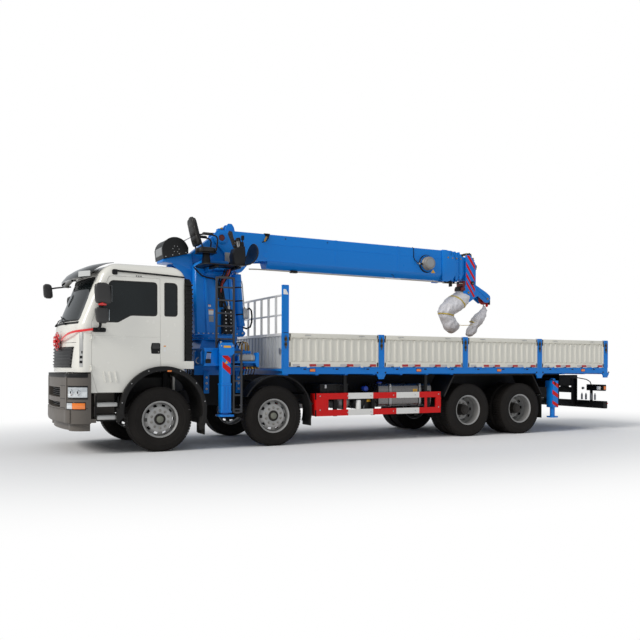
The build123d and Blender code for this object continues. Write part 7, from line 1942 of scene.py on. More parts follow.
# blank plates by the ladder: white with an orange head, and a grey one below
column.use(label_white).bar((3.17, 3.268), (0.3, 0.3015), (2.438, 2.478), 0.001)
column.use(label_orange).bar((3.17, 3.268), (0.3015, 0.3025), (2.466, 2.478), 0.0004)
column.use(label_white).bar((3.12, 3.235), (0.3, 0.3015), (2.3, 2.395), 0.001)
column.use(label_orange).bar((3.12, 3.235), (0.3015, 0.3025), (2.375, 2.395), 0.0004)
column.use(label_grey).bar((3.115, 3.24), (0.3, 0.3015), (2.17, 2.285), 0.001)
# valve block with its spools, fittings and a silver filter
valves = column.use(crane_black)
valves.bar((2.792, 2.983), (0.3, 0.408), (1.962, 2.4), 0.014)
for i in range(6):
    z = 1.995 + 0.066 * i
    valves.bar((2.8, 2.975), (0.405, 0.43), (z, z + 0.045), 0.009)
    column.use(zinc).rod((2.84, 0.42, z + 0.022), (2.84, 0.447, z + 0.022), 0.012, 10, 0.003)
    column.rod((2.93, 0.42, z + 0.022), (2.93, 0.443, z + 0.022), 0.015, 6, 0.003)
    valves = column.use(crane_black)
for i in range(4):
    z = 2.38 - 0.09 * i
    column.use(hose_black).tube([(2.94 - 0.03 * i, 0.4, z), (2.95 - 0.03 * i, 0.45, z + 0.03),
                                 (2.96 - 0.02 * i, 0.43, z + 0.2), (2.97 + 0.01 * i, 0.36, z + 0.42),
                                 (2.98 + 0.015 * i, 0.33, z + 0.62)], 0.013, 8)
column.use(zinc).rod((2.86, 0.36, 2.4), (2.86, 0.36, 2.47), 0.032, 20, 0.006)
column.tube([(2.86, 0.36, 2.47), (2.862, 0.37, 2.52), (2.9, 0.39, 2.56)], 0.014, 10)
# vertical terminal box and the loom of hoses under the platform
column.use(crane_black).bar((2.955, 3.02), (0.3, 0.36), (2.44, 2.78), 0.01)
for i, (dx, dy, colour) in enumerate(((0.0, 0.0, hose_black), (0.03, 0.02, hose_black), (0.06, 0.0, soft_red),
                                      (0.09, 0.025, hose_black), (0.12, 0.0, hose_black), (0.045, 0.05, soft_red))):
    column.use(colour).tube([(2.88 + dx, 0.56 + dy, 3.09), (2.9 + dx, 0.53 + dy, 3.0), (2.94 + dx, 0.45 + dy, 2.92),
                             (2.97 + dx * 0.7, 0.37 + dy, 2.84), (2.975 + dx * 0.5, 0.33 + dy * 0.6, 2.74),
                             (2.97 + dx * 0.5, 0.325, 2.6)], 0.0125, 8)
column.use(hose_black).tube([(3.5, 0.33, 3.13), (3.44, 0.36, 3.05), (3.36, 0.36, 2.98), (3.25, 0.35, 2.95),
                             (3.13, 0.34, 2.94), (3.05, 0.34, 2.9)], 0.014, 8)
# spare wear: lifting eyes and a work lamp bracket on the back
column.use(crane_blue).rod((2.76, -0.06, 3.3), (2.76, 0.06, 3.3), 0.026, 16, 0.004)
column.done("column")

axis_foot, axis_eye = Vector((2.485, 0, 1.99)), Vector((2.595, 0, 3.19))
along = (axis_eye - axis_foot).normalized()
barrel = Piece("lift_barrel_casing", "lift_barrel", "crane_paint", crane_blue)


def on_axis(t, off=0.0, y=0.0):
    """A place on the lift cylinder, t metres from its foot pin and off to its back."""
    back = Vector((-along.z, 0, along.x))
    return axis_foot + along * t + back * off + Vector((0, y, 0))


barrel.tube([on_axis(0.128), on_axis(0.133), on_axis(0.18), on_axis(0.185), on_axis(0.95), on_axis(0.955),
             on_axis(1.085), on_axis(1.092)], [0.09, 0.098, 0.098, 0.0915, 0.0915, 0.1, 0.1, 0.093], 40)
barrel.lathe([(-0.057, 0.033), (-0.057, 0.06), (-0.05, 0.064), (0.05, 0.064), (0.057, 0.06), (0.057, 0.033)],
             (2.485, 0, 1.99), "Y", 36)
barrel.prism([(2.445, 2.0), (2.53, 1.99), (2.55, 2.13), (2.45, 2.14)], "Y", -0.056, 0.056, 0.006)
# hose along the barrel with its clips, and the holding valve with a loop of hose behind it
barrel.use(zinc).tube([on_axis(0.24, 0.1, 0.02), on_axis(0.3, 0.108, 0.02), on_axis(0.9, 0.108, 0.02),
                       on_axis(0.97, 0.1, 0.02)], 0.011, 8)
for t in (0.35, 0.6, 0.85):
    barrel.use(crane_black).tube([on_axis(t - 0.012), on_axis(t + 0.012)], 0.0945, 28)
rounded_body(barrel.use(zinc), [(2.26, 2.418, 0.07, 0.03, 0.026), (2.275, 2.42, 0.07, 0.046, 0.034),
                                (2.44, 2.43, 0.07, 0.046, 0.034), (2.455, 2.43, 0.07, 0.03, 0.026)], 5)
barrel.use(brass).rod((2.43, 0.07, 2.45), (2.432, 0.07, 2.475), 0.014, 10, 0.003)
barrel.use(hose_black).tube([(2.39, 0.075, 2.43), (2.34, 0.075, 2.46), (2.3, 0.075, 2.42), (2.285, 0.07, 2.32),
                             (2.29, 0.07, 2.2), (2.32, 0.07, 2.11), (2.39, 0.06, 2.08), (2.46, 0.06, 2.1)], 0.0165, 10)
barrel.done("lift_barrel", smooth=40)
rod = Piece("lift_rod_chrome", "lift_rod", "rod_chrome", finish("rod_chrome", (0.72, 0.72, 0.73), 0.08, metal=1.0,
                                                              drift=0.03))
rod.tube([on_axis(0.19), on_axis(1.13)], 0.0545, 36)
rod.use(crane_blue).lathe([(-0.049, 0.034), (-0.049, 0.064), (-0.043, 0.068), (0.043, 0.068), (0.049, 0.064),
                           (0.049, 0.034)], (2.595, 0, 3.19), "Y", 36)
rod.done("lift_rod", smooth=40)

# ---------------------------------------------------------------- winch
# The hoist drum turns inside a black sheet-steel cover with rolled edges, bolted to the sloping bracket;
# the rope leaves it towards the boom's root and ends short of it, clear of the rising boom.
winch_black = finish("winch_black", (0.009, 0.009, 0.0095), 0.36, grain=0.12, drift=0.1, gloss=0.3)
rope_steel = finish("rope_steel", (0.16, 0.155, 0.15), 0.45, metal=0.8, drift=0.25, drift_size=60)
winch = Piece("winch_cover", "column", "winch_paint", winch_black)
cover = [(4.015, 3.25), (4.035, 3.43)] + [(3.805 + 0.225 * math.cos(math.radians(a)), 3.43 + 0.205 * math.sin(
    math.radians(a))) for a in range(10, 166, 12)] + [(3.575, 3.47), (3.575, 3.364)]
winch.prism(cover, "Y", -0.25, 0.25, 0.014, 3)
for y in (-0.252, 0.252):
    winch.prism([(3.805 + (a - 3.805) * 1.02, 3.36 + (b - 3.36) * 1.02) for a, b in cover], "Y", y - 0.008, y + 0.008,
                0.004)
    winch.lathe([(y - 0.012, 0.0), (y - 0.012, 0.075), (y + 0.012, 0.075), (y + 0.012, 0.0)], (3.8, 0, 3.43), "Y", 32,
                False)
    for a in range(0, 360, 60):
        p = (3.8 + 0.055 * math.cos(math.radians(a)), y, 3.43 + 0.055 * math.sin(math.radians(a)))
        winch.use(zinc).rod((p[0], y - 0.016, p[2]), (p[0], y + 0.016, p[2]), 0.007, 6)
    winch.use(winch_black)
for x, z in ((3.62, 3.36), (3.74, 3.33), (3.86, 3.3), (3.98, 3.265)):
    winch.use(zinc).rod((x, 0.262, z + 0.02), (x, 0.274, z + 0.02), 0.01, 6).use(winch_black)
# pale lining seen through the slot at the front
winch.use(label_grey).prism([(3.99, 3.3), (4.036, 3.32), (4.04, 3.44), (4.0, 3.5)], "Y", -0.2, 0.2, 0.006)
winch.use(rope_steel)
for y in (-0.04,):
    winch.tube([(3.62, y, 3.6), (3.45, y * 0.8, 3.7), (3.3, y * 0.4, 3.79)], 0.007, 6)
winch.done("winch")

# ---------------------------------------------------------------- operator's station
# A curved black steel tray bolted on two arms carries the seat, its tube rails and the lever console;
# its rear end rolls up into a leg shield. The seat is foam in vinyl over a pressed back.
station_black = finish("station_black", (0.008, 0.008, 0.009), 0.36, drift=0.12, grain=0.1, gloss=0.3)
tread_black = finish("tread_black", (0.02, 0.02, 0.02), 0.6, grain=0.8, grain_size=70)
vinyl_black = finish("vinyl_black", (0.0095, 0.008, 0.007), 0.42, grain=0.45, grain_size=240, drift=0.15)
bracket_brown = finish("bracket_brown", (0.04, 0.03, 0.022), 0.55, metal=0.3, drift=0.2, drift_size=14)


def bent_sheet(piece, rows, thick, steps=14):
    """A bent plate: rows of (x, z, half width) along its path, square to Y about a middle line."""
    part = bmesh.new()
    top, under = [], []
    for i, (x, z, half) in enumerate(rows):
        before, after = rows[max(i - 1, 0)], rows[min(i + 1, len(rows) - 1)]
        along = Vector((after[0] - before[0], 0, after[1] - before[1])).normalized()
        up = Vector((along.z, 0, -along.x)) * thick
        middle = Vector((x, 0.64, z))
        across = [Vector((0, half * (2 * k / steps - 1), 0)) for k in range(steps + 1)]
        top.append([part.verts.new(middle + a) for a in across])
        under.append([part.verts.new(middle + a + up) for a in across])
    for one, two in zip(range(len(rows) - 1), range(1, len(rows))):
        for k in range(steps):
            part.faces.new((top[one][k], top[one][k + 1], top[two][k + 1], top[two][k]))
            part.faces.new((under[one][k + 1], under[one][k], under[two][k], under[two][k + 1]))
        for k in (0, steps):
            part.faces.new((top[one][k], top[two][k], under[two][k], under[one][k]))
    for row in (0, -1):
        for k in range(steps):
            part.faces.new((top[row][k], top[row][k + 1], under[row][k + 1], under[row][k]))
    return piece.take(part)


station = Piece("operator_platform", "column", "station_trim", station_black)
tray = [(3.508, 3.122, 0.15), (3.495, 3.119, 0.215), (3.46, 3.116, 0.27), (3.4, 3.114, 0.305), (3.3, 3.113, 0.32),
        (3.1, 3.113, 0.322), (2.9, 3.115, 0.322), (2.78, 3.124, 0.322), (2.69, 3.148, 0.321), (2.62, 3.19, 0.318),
        (2.566, 3.248, 0.31), (2.533, 3.31, 0.295), (2.515, 3.375, 0.272), (2.507, 3.435, 0.238), (2.505, 3.485, 0.19),
        (2.505, 3.52, 0.135), (2.506, 3.542, 0.075), (2.507, 3.552, 0.02)]
bent_sheet(station, tray, 0.007)
# rolled edge round the tray and its shield
edge = [(x, 0.64 + half, z + 0.004) for x, z, half in tray] + [(x, 0.64 - half, z + 0.004) for x,
                                                               z, half in reversed(tray)]
station.tube(edge, 0.011, 8, closed=True)
bent_sheet(station.use(tread_black), [(x, z + 0.0085, half * 0.9) for x, z, half in tray[2:8]], 0.002)
for x in (3.34, 3.2, 3.06, 2.92):
    for y in (0.42, 0.52, 0.62, 0.72, 0.82):
        station.rod((x, y, 3.12), (x, y, 3.1275), 0.011, 8)
# cross channels under the tray
station.use(station_black)
for x in (2.87, 3.27):
    station.bar((x - 0.03, x + 0.03), (0.36, 0.92), (3.07, 3.108), 0.007)
# lever console with its slanted top, gauge box and bracket
station.prism([(2.76, 3.13), (2.94, 3.13), (2.965, 3.3), (2.93, 3.43), (2.755, 3.47), (2.74, 3.3)], "Y", 0.66, 0.9,
              0.014)
station.prism([(2.762, 3.47), (2.79, 3.64), (2.86, 3.63), (2.9, 3.43)], "Y", 0.7, 0.76, 0.012)
station.use(bracket_brown).prism([(2.9, 3.5), (2.955, 3.72), (3.015, 3.735), (3.03, 3.7), (2.955, 3.48)], "Y", 0.79,
                                 0.797, 0.002)
# dark discs on the bracket: painted shade standing in for its holes
for k in range(4):
    for x, z in ((2.93 + 0.018 * k, 3.54 + 0.045 * k), (2.957 + 0.016 * k, 3.53 + 0.045 * k)):
        station.use(painted_hole_shade).rod((x, 0.7965, z), (x, 0.799, z), 0.009, 10)
station.use(bracket_brown).tube([(2.89, 0.7, 3.46), (2.93, 0.7, 3.56), (2.975, 0.7, 3.66), (3.0, 0.72, 3.7)], 0.013, 10)
station.use(crane_black).bar((2.755, 2.805), (0.82, 0.86), (3.58, 3.66), 0.01)
station.tube([(2.78, 0.84, 3.46), (2.785, 0.84, 3.52), (2.78, 0.84, 3.6)], 0.009, 8)
for k in range(7):
    y, lean = 0.675 + 0.034 * k, 0.01 * (k % 3)
    station.use(zinc).rod((2.85, y, 3.44), (2.868 + lean, y, 3.56), 0.0055, 8)
    station.use(crane_black).ball((2.869 + lean, y, 3.572), (0.013, 0.013, 0.019), 14, 9)
    station.lathe([(0.0, 0.018), (0.012, 0.014), (0.024, 0.008), (0.024, 0.0), (0.0, 0.0)], (2.85, y, 3.435), "Z", 12,
                  False)
# rounded instrument head beside the levers
station.use(station_black).lathe([(0.0, 0.0), (0.0, 0.052), (0.012, 0.058), (0.1, 0.058), (0.115, 0.05), (0.115, 0.0)],
                                 (2.72, 0.6, 3.47), "Z", 26, False)
station.use(label_grey).lathe([(0.0, 0.0), (0.0, 0.038), (0.003, 0.038), (0.003, 0.0)],
                              (2.72, 0.6, 3.584), "Z", 22, False)
# pedals, hose loom and the post under the seat
for y in (0.5, 0.58):
    station.use(crane_black).prism([(2.83, 3.15), (2.9, 3.13), (2.9, 3.142), (2.835, 3.165)], "Y", y - 0.025, y + 0.025,
                                   0.003)
station.use(station_black).prism([(3.2, 3.12), (3.38, 3.12), (3.36, 3.2), (3.34, 3.375), (3.24, 3.375), (3.225, 3.2)],
                                 "Y", 0.335, 0.445, 0.01)
station.bar((3.14, 3.46), (0.26, 0.53), (3.362, 3.382), 0.006)
# tube rails round the seat back and along its arm
station.tube([(3.4, 0.22, 3.4), (3.44, 0.215, 3.52), (3.5, 0.215, 3.7), (3.535, 0.22, 3.84), (3.56, 0.25, 3.93),
              (3.575, 0.31, 3.965), (3.58, 0.395, 3.975), (3.575, 0.48, 3.965), (3.56, 0.54, 3.93),
              (3.535, 0.57, 3.84), (3.5, 0.575, 3.7), (3.44, 0.575, 3.52), (3.4, 0.57, 3.4)], 0.0135, 12)
for y in (0.225, 0.57):
    station.tube([(3.48, y, 3.66), (3.4, y, 3.675), (3.25, y, 3.675), (3.17, y, 3.66), (3.14, y, 3.61), (3.15, y, 3.5),
                  (3.17, y, 3.4)], 0.0135, 12)
    station.use(vinyl_black).tube([(3.42, y, 3.684), (3.4, y, 3.69), (3.24, y, 3.69), (3.22, y, 3.684)],
                                  [0.012, 0.022, 0.022, 0.012], 12).use(station_black)
# hoses from the console under the boom's root
for k in range(4):
    station.use(hose_black).tube([(2.8 + 0.03 * k, 0.68, 3.3), (2.82 + 0.03 * k, 0.58, 3.22),
                                  (2.85 + 0.02 * k, 0.5, 3.19), (2.9 + 0.02 * k, 0.42, 3.16), (2.93, 0.35, 3.14)],
                                 0.011, 8)
station.done("operator_station")

seat = Piece("operator_seat", "column", "station_trim", vinyl_black)


def cushion(piece, sections, power=3.6, steps=48):
    """A crowned pad from (middle, half a, half b) sections, each with its two unit directions."""
    part = bmesh.new()
    rings = []
    for middle, a, b in sections:
        ring = []
        for k in range(steps):
            t = 2 * math.pi * k / steps
            c, s = math.cos(t), math.sin(t)
            ring.append(part.verts.new(Vector(middle) + Vector(a) * math.copysign(abs(c) ** (2 / power), c)
                                       + Vector(b) * math.copysign(abs(s) ** (2 / power), s)))
        rings.append(ring)
    for one, two in zip(rings, rings[1:]):
        for k in range(steps):
            part.faces.new((one[k], one[(k + 1) % steps], two[(k + 1) % steps], two[k]))
    part.faces.new(reversed(rings[0]))
    part.faces.new(rings[-1])
    return piece.take(part)


# seat pad: piped edge, crowned top with two sewn channels; then the back pad, leaning to the front
pad = []
for z, share in ((3.383, 0.9), (3.388, 0.97), (3.405, 1.0), (3.418, 0.985), (3.422, 1.0), (3.44, 0.985), (3.455, 0.93),
                 (3.466, 0.8), (3.4715, 0.55), (3.473, 0.2)):
    pad.append(((3.3, 0.397, z), (0.17 * share, 0, 0), (0, 0.166 * share, 0)))
cushion(seat, pad)
lean = Vector((0.24, 0, 0.97)).normalized()
face = Vector((0.97, 0, -0.24)).normalized()
back = []
for t, wide, thick in ((0.0, 0.1, 0.02), (0.006, 0.135, 0.034), (0.02, 0.155, 0.045), (0.1, 0.166, 0.052),
                       (0.17, 0.168, 0.052), (0.176, 0.165, 0.047), (0.182, 0.168, 0.052), (0.27, 0.168, 0.052),
                       (0.33, 0.168, 0.051), (0.336, 0.165, 0.046), (0.342, 0.168, 0.051), (0.42, 0.163, 0.05),
                       (0.46, 0.15, 0.044), (0.48, 0.125, 0.033), (0.488, 0.09, 0.018)):
    back.append((Vector((3.455, 0.397, 3.487)) + lean * t, tuple(face * thick), (0, wide, 0)))
cushion(seat, back)
operator_seat = seat.done(smooth=50)

# ---------------------------------------------------------------- telescopic boom
# Five box sections slide inside each other, each folded from high-strength plate with a chamfered keel
# and a bolted collar; blue gloss paint, brass shim screws at the collars, a steel pipe along the keel.
BOOM_TOP, BOOM_KEEL, BOOM_HALF = 3.85, 3.21, 0.18
pin_red = finish("pin_red", (0.12, 0.012, 0.01), 0.5, drift=0.2, drift_size=20)
pipe_steel = finish("pipe_steel", (0.46, 0.43, 0.37), 0.3, metal=0.85, drift=0.15, drift_size=9)
reel_grey = finish("reel_grey", (0.24, 0.23, 0.215), 0.42, drift=0.1, drift_size=12, grain=0.1)


def box_section(half, top, keel, corner=0.012):
    """Outline of a boom section: square shoulders and a keel folded in."""
    tall = top - keel
    right = [(half - corner, top), (half, top - corner), (half, keel + 0.2 * tall + 0.012),
             (half * 0.985, keel + 0.2 * tall - 0.008), (half * 0.58, keel + 0.012), (half * 0.5, keel)]
    return right + [(-y, z) for y, z in reversed(right)]


boom = Piece("boom_base_casing", "boom_base", "crane_paint", crane_blue)
boom.prism(box_section(BOOM_HALF, BOOM_TOP, BOOM_KEEL), "X", -2.105, 2.02)
root = [(2.985, 3.85)] + [(2.925 + 0.15 * math.cos(math.radians(a)), 3.71 + 0.15 * math.sin(math.radians(a)))
                          for a in (48, 30, 12, -6, -24, -42, -58)]
root += [(2.9, 3.46), (2.715, 3.2), (2.66, 3.12), (2.6, 3.09), (2.54, 3.11), (2.485, 3.17), (2.43, 3.235),
         (2.36, 3.285), (2.28, 3.316), (2.17, 3.338), (2.01, 3.35), (2.01, 3.85)]
for way in (1, -1):
    boom.prism(root, "Y", *across(way, 0.15, 0.181), edge=0.005)
    # doubler round the pin, flange rolled along the arch of the root
    boom.lathe([(way * 0.18, 0.06), (way * 0.18, 0.115), (way * 0.187, 0.115), (way * 0.191, 0.109),
                (way * 0.191, 0.06)], (2.925, 0, 3.71), "Y", 40)
    boom.use(pin_red).lathe([(way * 0.181, 0.0), (way * 0.181, 0.0585), (way * 0.187, 0.052), (way * 0.187, 0.0)],
                            (2.925, 0, 3.71), "Y", 32, False).use(crane_blue)
    arch = [(2.2, 3.335), (2.05, 3.347), (1.9, 3.352), (1.7, 3.35), (1.5, 3.345), (1.3, 3.34)]
    boom.tube([(x, way * 0.1805, z) for x, z in arch], 0.005, 8)
    # weld bead along the flank and the shim screws of the wear pads
    boom.tube([(-2.1, way * 0.18, 3.668), (1.98, way * 0.18, 3.668)], 0.003, 6)
    for x in (0.75, 1.65):
        for z in (3.79,):
            boom.use(crane_black).rod((x, way * 0.178, z), (x, way * 0.184, z), 0.012, 8).use(crane_blue)
    boom.lathe([(way * 0.179, 0.0), (way * 0.179, 0.05), (way * 0.184, 0.05), (way * 0.184, 0.0)], (2.05, 0, 3.45),
               "Y", 28, False)
    # end collar: its plates bulge past the tube in a round edge
    bulge = [(-2.0, 3.862), (-2.125, 3.862), (-2.17, 3.84), (-2.2, 3.76)]
    bulge += [(-2.2 - 0.19 * math.sin(math.radians(a)), 3.5 - 0.0 + 0.26 * math.cos(math.radians(a)))
              for a in (25, 50, 75, 100, 125, 150)]
    bulge += [(-2.2, 3.21), (-2.14, 3.192), (-2.0, 3.192)]
    boom.prism(bulge, "Y", *across(way, 0.182, 0.2015), edge=0.005)
    boom.use(brass).rod((-2.15, way * 0.195, 3.705), (-2.15, way * 0.212, 3.705), 0.017, 10, 0.003)
    boom.use(crane_blue)
boom.prism(box_section(0.197, 3.864, 3.196, 0.014), "X", -2.116, -2.03, 0.0)
boom.prism(box_section(0.193, 3.859, 3.201, 0.014), "X", -2.03, -2.005, 0.0)
for x in (-0.9, 0.55):
    boom.prism(box_section(0.183, 3.8535, 3.207), "X", x - 0.025, x + 0.025)
# top plate of the root, its lugs with a brass pin, and the warning plate (blank)
boom.bar((2.0, 2.87), (-0.152, 0.152), (3.838, 3.852), 0.004)
boom.prism([(2.0, 3.36), (2.0, 3.84), (2.03, 3.84), (2.03, 3.36)], "Y", -0.15, 0.15)
lug = rounded([(2.635, 3.842), (2.66, 3.94), (2.7, 3.996), (2.77, 3.996), (2.815, 3.93), (2.845, 3.842)],
              [0.004, 0.03, 0.03, 0.03, 0.03, 0.004])
for y in (0.0875, -0.0875):
    boom.prism(lug, "Y", y - 0.0135, y + 0.0135, 0.004)
boom.rod((2.735, -0.105, 3.955), (2.735, 0.105, 3.955), 0.018, 16, 0.003)
boom.bar((2.83, 2.95), (-0.06, 0.06), (3.85, 3.9), 0.012)
boom.use(brass).rod((2.88, -0.08, 3.9), (2.88, 0.08, 3.9), 0.02, 14, 0.004)
boom.use(label_grey).bar((2.71, 2.865), (0.1805, 0.1825), (3.27, 3.45), 0.001)
# clip over the shoulder with brass turnbuckle, and its cable to the reel
boom.use(crane_black).prism([(1.97, 3.862), (2.09, 3.862), (2.06, 3.79), (2.0, 3.78)], "Y", 0.15, 0.19, 0.005)
boom.use(brass).rod((2.04, 0.19, 3.8), (2.09, 0.2, 3.7), 0.018, 10, 0.004)
boom.use(crane_black).rod((2.03, 0.188, 3.84), (2.03, 0.215, 3.84), 0.018, 14)
boom.use(crane_black).tube([(2.13, 0.18, 3.69), (2.1, 0.2, 3.7), (2.05, 0.2, 3.72), (2.0, 0.19, 3.78)], 0.008, 8)
# pipe under the keel: it runs through three black clamps
pipe = [(2.36, 0.1, 3.185), (2.2, 0.1, 3.192), (1.0, 0.1, 3.19), (-0.5, 0.1, 3.187), (-2.35, 0.1, 3.183)]
boom.use(pipe_steel).tube(pipe, 0.0115, 10)
boom.use(label_white).tube([(-0.62, 0.1, 3.187), (-1.0, 0.1, 3.186)], 0.0135, 10)
for x in (1.44, -2.2):
    boom.use(crane_black).bar((x - 0.07, x + 0.07), (0.06, 0.14), (3.165, 3.212), 0.008)
    for dx in (-0.04, 0.04):
        boom.use(zinc).rod((x + dx, 0.125, 3.163), (x + dx, 0.125, 3.172), 0.008, 6)
boom.use(crane_black).bar((-2.3, -2.28), (0.05, 0.15), (3.1, 3.21), 0.004)
boom.tube([(-0.75, 0.15, 3.27), (-0.78, 0.17, 3.25), (-0.84, 0.13, 3.2)], 0.005, 6)
# cable reel: dished side plate, wound drum with a grey cap, guide roller and feed cable
RX, RZ = -1.60, 3.535
boom.use(crane_black).lathe([(0.178, 0.0), (0.178, 0.185), (0.184, 0.1885), (0.19, 0.185), (0.196, 0.178), (0.2, 0.16),
                             (0.2, 0.0)], (RX, 0, RZ), "Y", 56, False)
boom.use(crane_blue).lathe([(0.19, 0.13), (0.204, 0.15), (0.216, 0.172), (0.221, 0.168), (0.212, 0.142), (0.2, 0.125)],
                           (RX, 0, RZ), "Y", 56)
winds = [(0.198, 0.0), (0.198, 0.132)]
for k in range(7):
    winds += [(0.205 + 0.0125 * k, 0.139), (0.2115 + 0.0125 * k, 0.1345)]
boom.use(reel_grey).lathe(winds + [(0.292, 0.136), (0.318, 0.13), (0.333, 0.118), (0.339, 0.1), (0.339, 0.0)],
                          (RX, 0, RZ), "Y", 56, False)
boom.use(label_grey).lathe([(0.3385, 0.0), (0.3385, 0.088), (0.3415, 0.084), (0.3415, 0.0)],
                           (RX, 0, RZ), "Y", 48, False)
boom.use(zinc).rod((RX + 0.23, 0.19, RZ - 0.01), (RX + 0.23, 0.27, RZ - 0.02), 0.02, 14, 0.004)
boom.use(crane_black).tube([(RX + 0.14, 0.25, RZ - 0.02), (RX + 0.2, 0.25, RZ - 0.02), (RX + 0.25, 0.24, RZ - 0.01)],
                           0.017, 10)
boom.tube([(RX + 0.24, 0.22, RZ - 0.005), (RX + 0.3, 0.2, RZ + 0.05), (RX + 0.325, 0.187, RZ + 0.12),
           (RX + 0.327, 0.186, RZ + 0.3), (RX + 0.335, 0.15, RZ + 0.325)], 0.0075, 8)
# plain yellow warning triangle behind the reel
boom.use(stripe_yellow).prism([(-1.83, 3.352), (-1.72, 3.352), (-1.775, 3.432)], "Y", 0.1805, 0.182)
boom.done("boom_base", smooth=34)

for index in (1, 2, 3):
    drop = 0.022 * index
    half, top, keel = BOOM_HALF - drop, BOOM_TOP - drop, BOOM_KEEL + drop
    end = -2.135 - 0.118 * index
    section = Piece(f"boom_section_{index + 1}", f"boom_{index + 1}", "crane_paint", crane_blue)
    section.prism(box_section(half, top, keel, 0.01), "X", end, 2.0 - 0.06 * index)
    grow = 0.016 + drop * 0.6
    collar = box_section(half + grow, top + 0.014 + drop * 0.7, keel - 0.014 - drop * 0.7)
    section.prism(collar, "X", end, end + 0.034)
    section.prism(box_section(half + grow - 0.007, top + 0.007 + drop * 0.7, keel - 0.007 - drop * 0.7), "X",
                  end + 0.034, end + 0.058)
    for way in (1, -1):
        plate = [(end + 0.01, top + 0.02), (end - 0.03, top + 0.02), (end - 0.055, 3.72), (end - 0.07, 3.5),
                 (end - 0.06, 3.28), (end - 0.03, keel - 0.02), (end + 0.01, keel - 0.02)]
        section.prism(rounded(plate, [0.004, 0.02, 0.15, 0.2, 0.15, 0.02, 0.004]), "Y",
                      *across(way, half + grow - 0.012, half + grow), edge=0.003)
        section.use(brass).rod((end - 0.02, way * (half + grow - 0.002), 3.7),
                               (end - 0.02, way * (half + grow + 0.016), 3.7), 0.0165, 10, 0.003).use(crane_blue)
        section.rod((end - 0.015, way * 0.06, top + 0.02), (end - 0.015, way * 0.06, top + 0.05), 0.014, 10, 0.003)
    section.use(crane_black).bar((end + 0.005, end + 0.05), (-0.07, 0.07), (keel - 0.05, keel - 0.01), 0.006)
    section.use(brass).rod((end + 0.02, 0.02, top + 0.02), (end + 0.02, 0.02, top + 0.055), 0.016, 10, 0.004)
    section.use(pipe_steel).rod((end + 0.04, 0.1, 3.183), (end - 0.14, 0.1, 3.183), 0.01, 10, 0.003)
    section.use(crane_black).bar((end - 0.012, end + 0.012), (0.07, 0.13), (3.165, 3.205), 0.004)
    section.use(crane_blue)
    section.done(f"boom_{index + 1}", smooth=34)

# ---------------------------------------------------------------- boom tip and jib
# Two striped side plates carry the hook sheave and the short jib with its own red sheave; a tension
# switch and its chain weight hang from the end.
sheave_red = finish("sheave_red", (0.36, 0.015, 0.015), 0.4, drift=0.15, drift_size=12, grain=0.15)
block_red = finish("block_red", (0.16, 0.012, 0.012), 0.5, drift=0.25, drift_size=10)
tip = Piece("boom_tip_head", "boom_tip", "crane_paint", crane_blue)
tip.prism(box_section(0.092, 3.762, 3.298, 0.01), "X", -2.7, 1.75)
head = rounded([(-2.675, 3.8), (-2.795, 3.82), (-2.945, 3.64), (-2.945, 3.16), (-3.245, 2.975), (-3.365, 2.89),
                (-3.325, 2.8), (-3.225, 2.79), (-3.015, 2.93), (-2.765, 2.775), (-2.615, 2.98), (-2.675, 3.16)],
               [0.02, 0.04, 0.08, 0.03, 0.06, 0.035, 0.035, 0.05, 0.04, 0.02, 0.03, 0.03])
for way in (1, -1):
    tip.prism(head, "Y", *across(way, 0.112, 0.1305), edge=0.004)
    # red stripes laid across the plate, falling to the rear
    stripes = [[(-2.7, 3.795), (-2.93, 3.494), (-2.93, 3.582), (-2.8, 3.764), (-2.765, 3.798), (-2.72, 3.797)]]
    stripes += [[(-2.69, low + 0.066), (-2.93, low - 0.27), (-2.93, low - 0.182), (-2.69, low + 0.154)]
                for low in (3.503, 3.276)]
    stripes += [[(-2.69, 3.175), (-2.89, 2.895), (-2.93, 2.918), (-2.93, 2.927), (-2.69, 3.263)]]
    for stripe in stripes:
        tip.use(stripe_red).prism(stripe, "Y", *across(way, 0.13, 0.1325), edge=0.0008)
    tip.use(crane_blue).lathe([(way * 0.128, 0.0), (way * 0.128, 0.055), (way * 0.137, 0.055), (way * 0.14, 0.05),
                               (way * 0.14, 0.0)], (-2.745, 0, 2.99), "Y", 28, False)
    tip.use(brass).rod((-2.745, way * 0.13, 2.99), (-2.745, way * 0.15, 2.99), 0.025, 6).use(crane_blue)
    # jib cheek, stiffened along its middle, with the sheave's pin
    jib = rounded([(-2.94, 3.175), (-2.96, 3.06), (-3.235, 2.8), (-3.32, 2.795), (-3.365, 2.88), (-3.355, 2.945),
                   (-3.25, 3.02)], [0.01, 0.02, 0.04, 0.04, 0.03, 0.03, 0.03])
    tip.prism(jib, "Y", *across(way, 0.065, 0.1335), edge=0.005)
    tip.tube([(-2.99, way * 0.134, 3.08), (-3.26, way * 0.134, 2.89)], 0.012, 8)
    tip.use(brass).rod((-3.275, way * 0.13, 2.88), (-3.275, way * 0.152, 2.88), 0.024, 6).use(crane_blue)
    # folded stiffener down the head and the outer stop with its screws
    tip.bar((-2.958, -2.94), across(way, 0.085, 0.13), (3.17, 3.62), 0.004)
for x, z in ((-3.275, 2.88), (-2.745, 2.99)):
    tip.use(sheave_red).lathe([(-0.03, 0.03), (-0.03, 0.118), (-0.024, 0.122), (-0.016, 0.118), (-0.006, 0.1),
                               (0.006, 0.1), (0.016, 0.118), (0.024, 0.122), (0.03, 0.118), (0.03, 0.03)], (x, 0, z),
                              "Y", 40)
    tip.use(zinc).rod((x, -0.128, z), (x, 0.128, z), 0.025, 18)
tip.use(sheave_red).lathe([(-0.026, 0.012), (-0.026, 0.046), (-0.01, 0.036), (0.01, 0.036), (0.026, 0.046),
                           (0.026, 0.012)], (-3.3, 0, 3.0), "Y", 28)
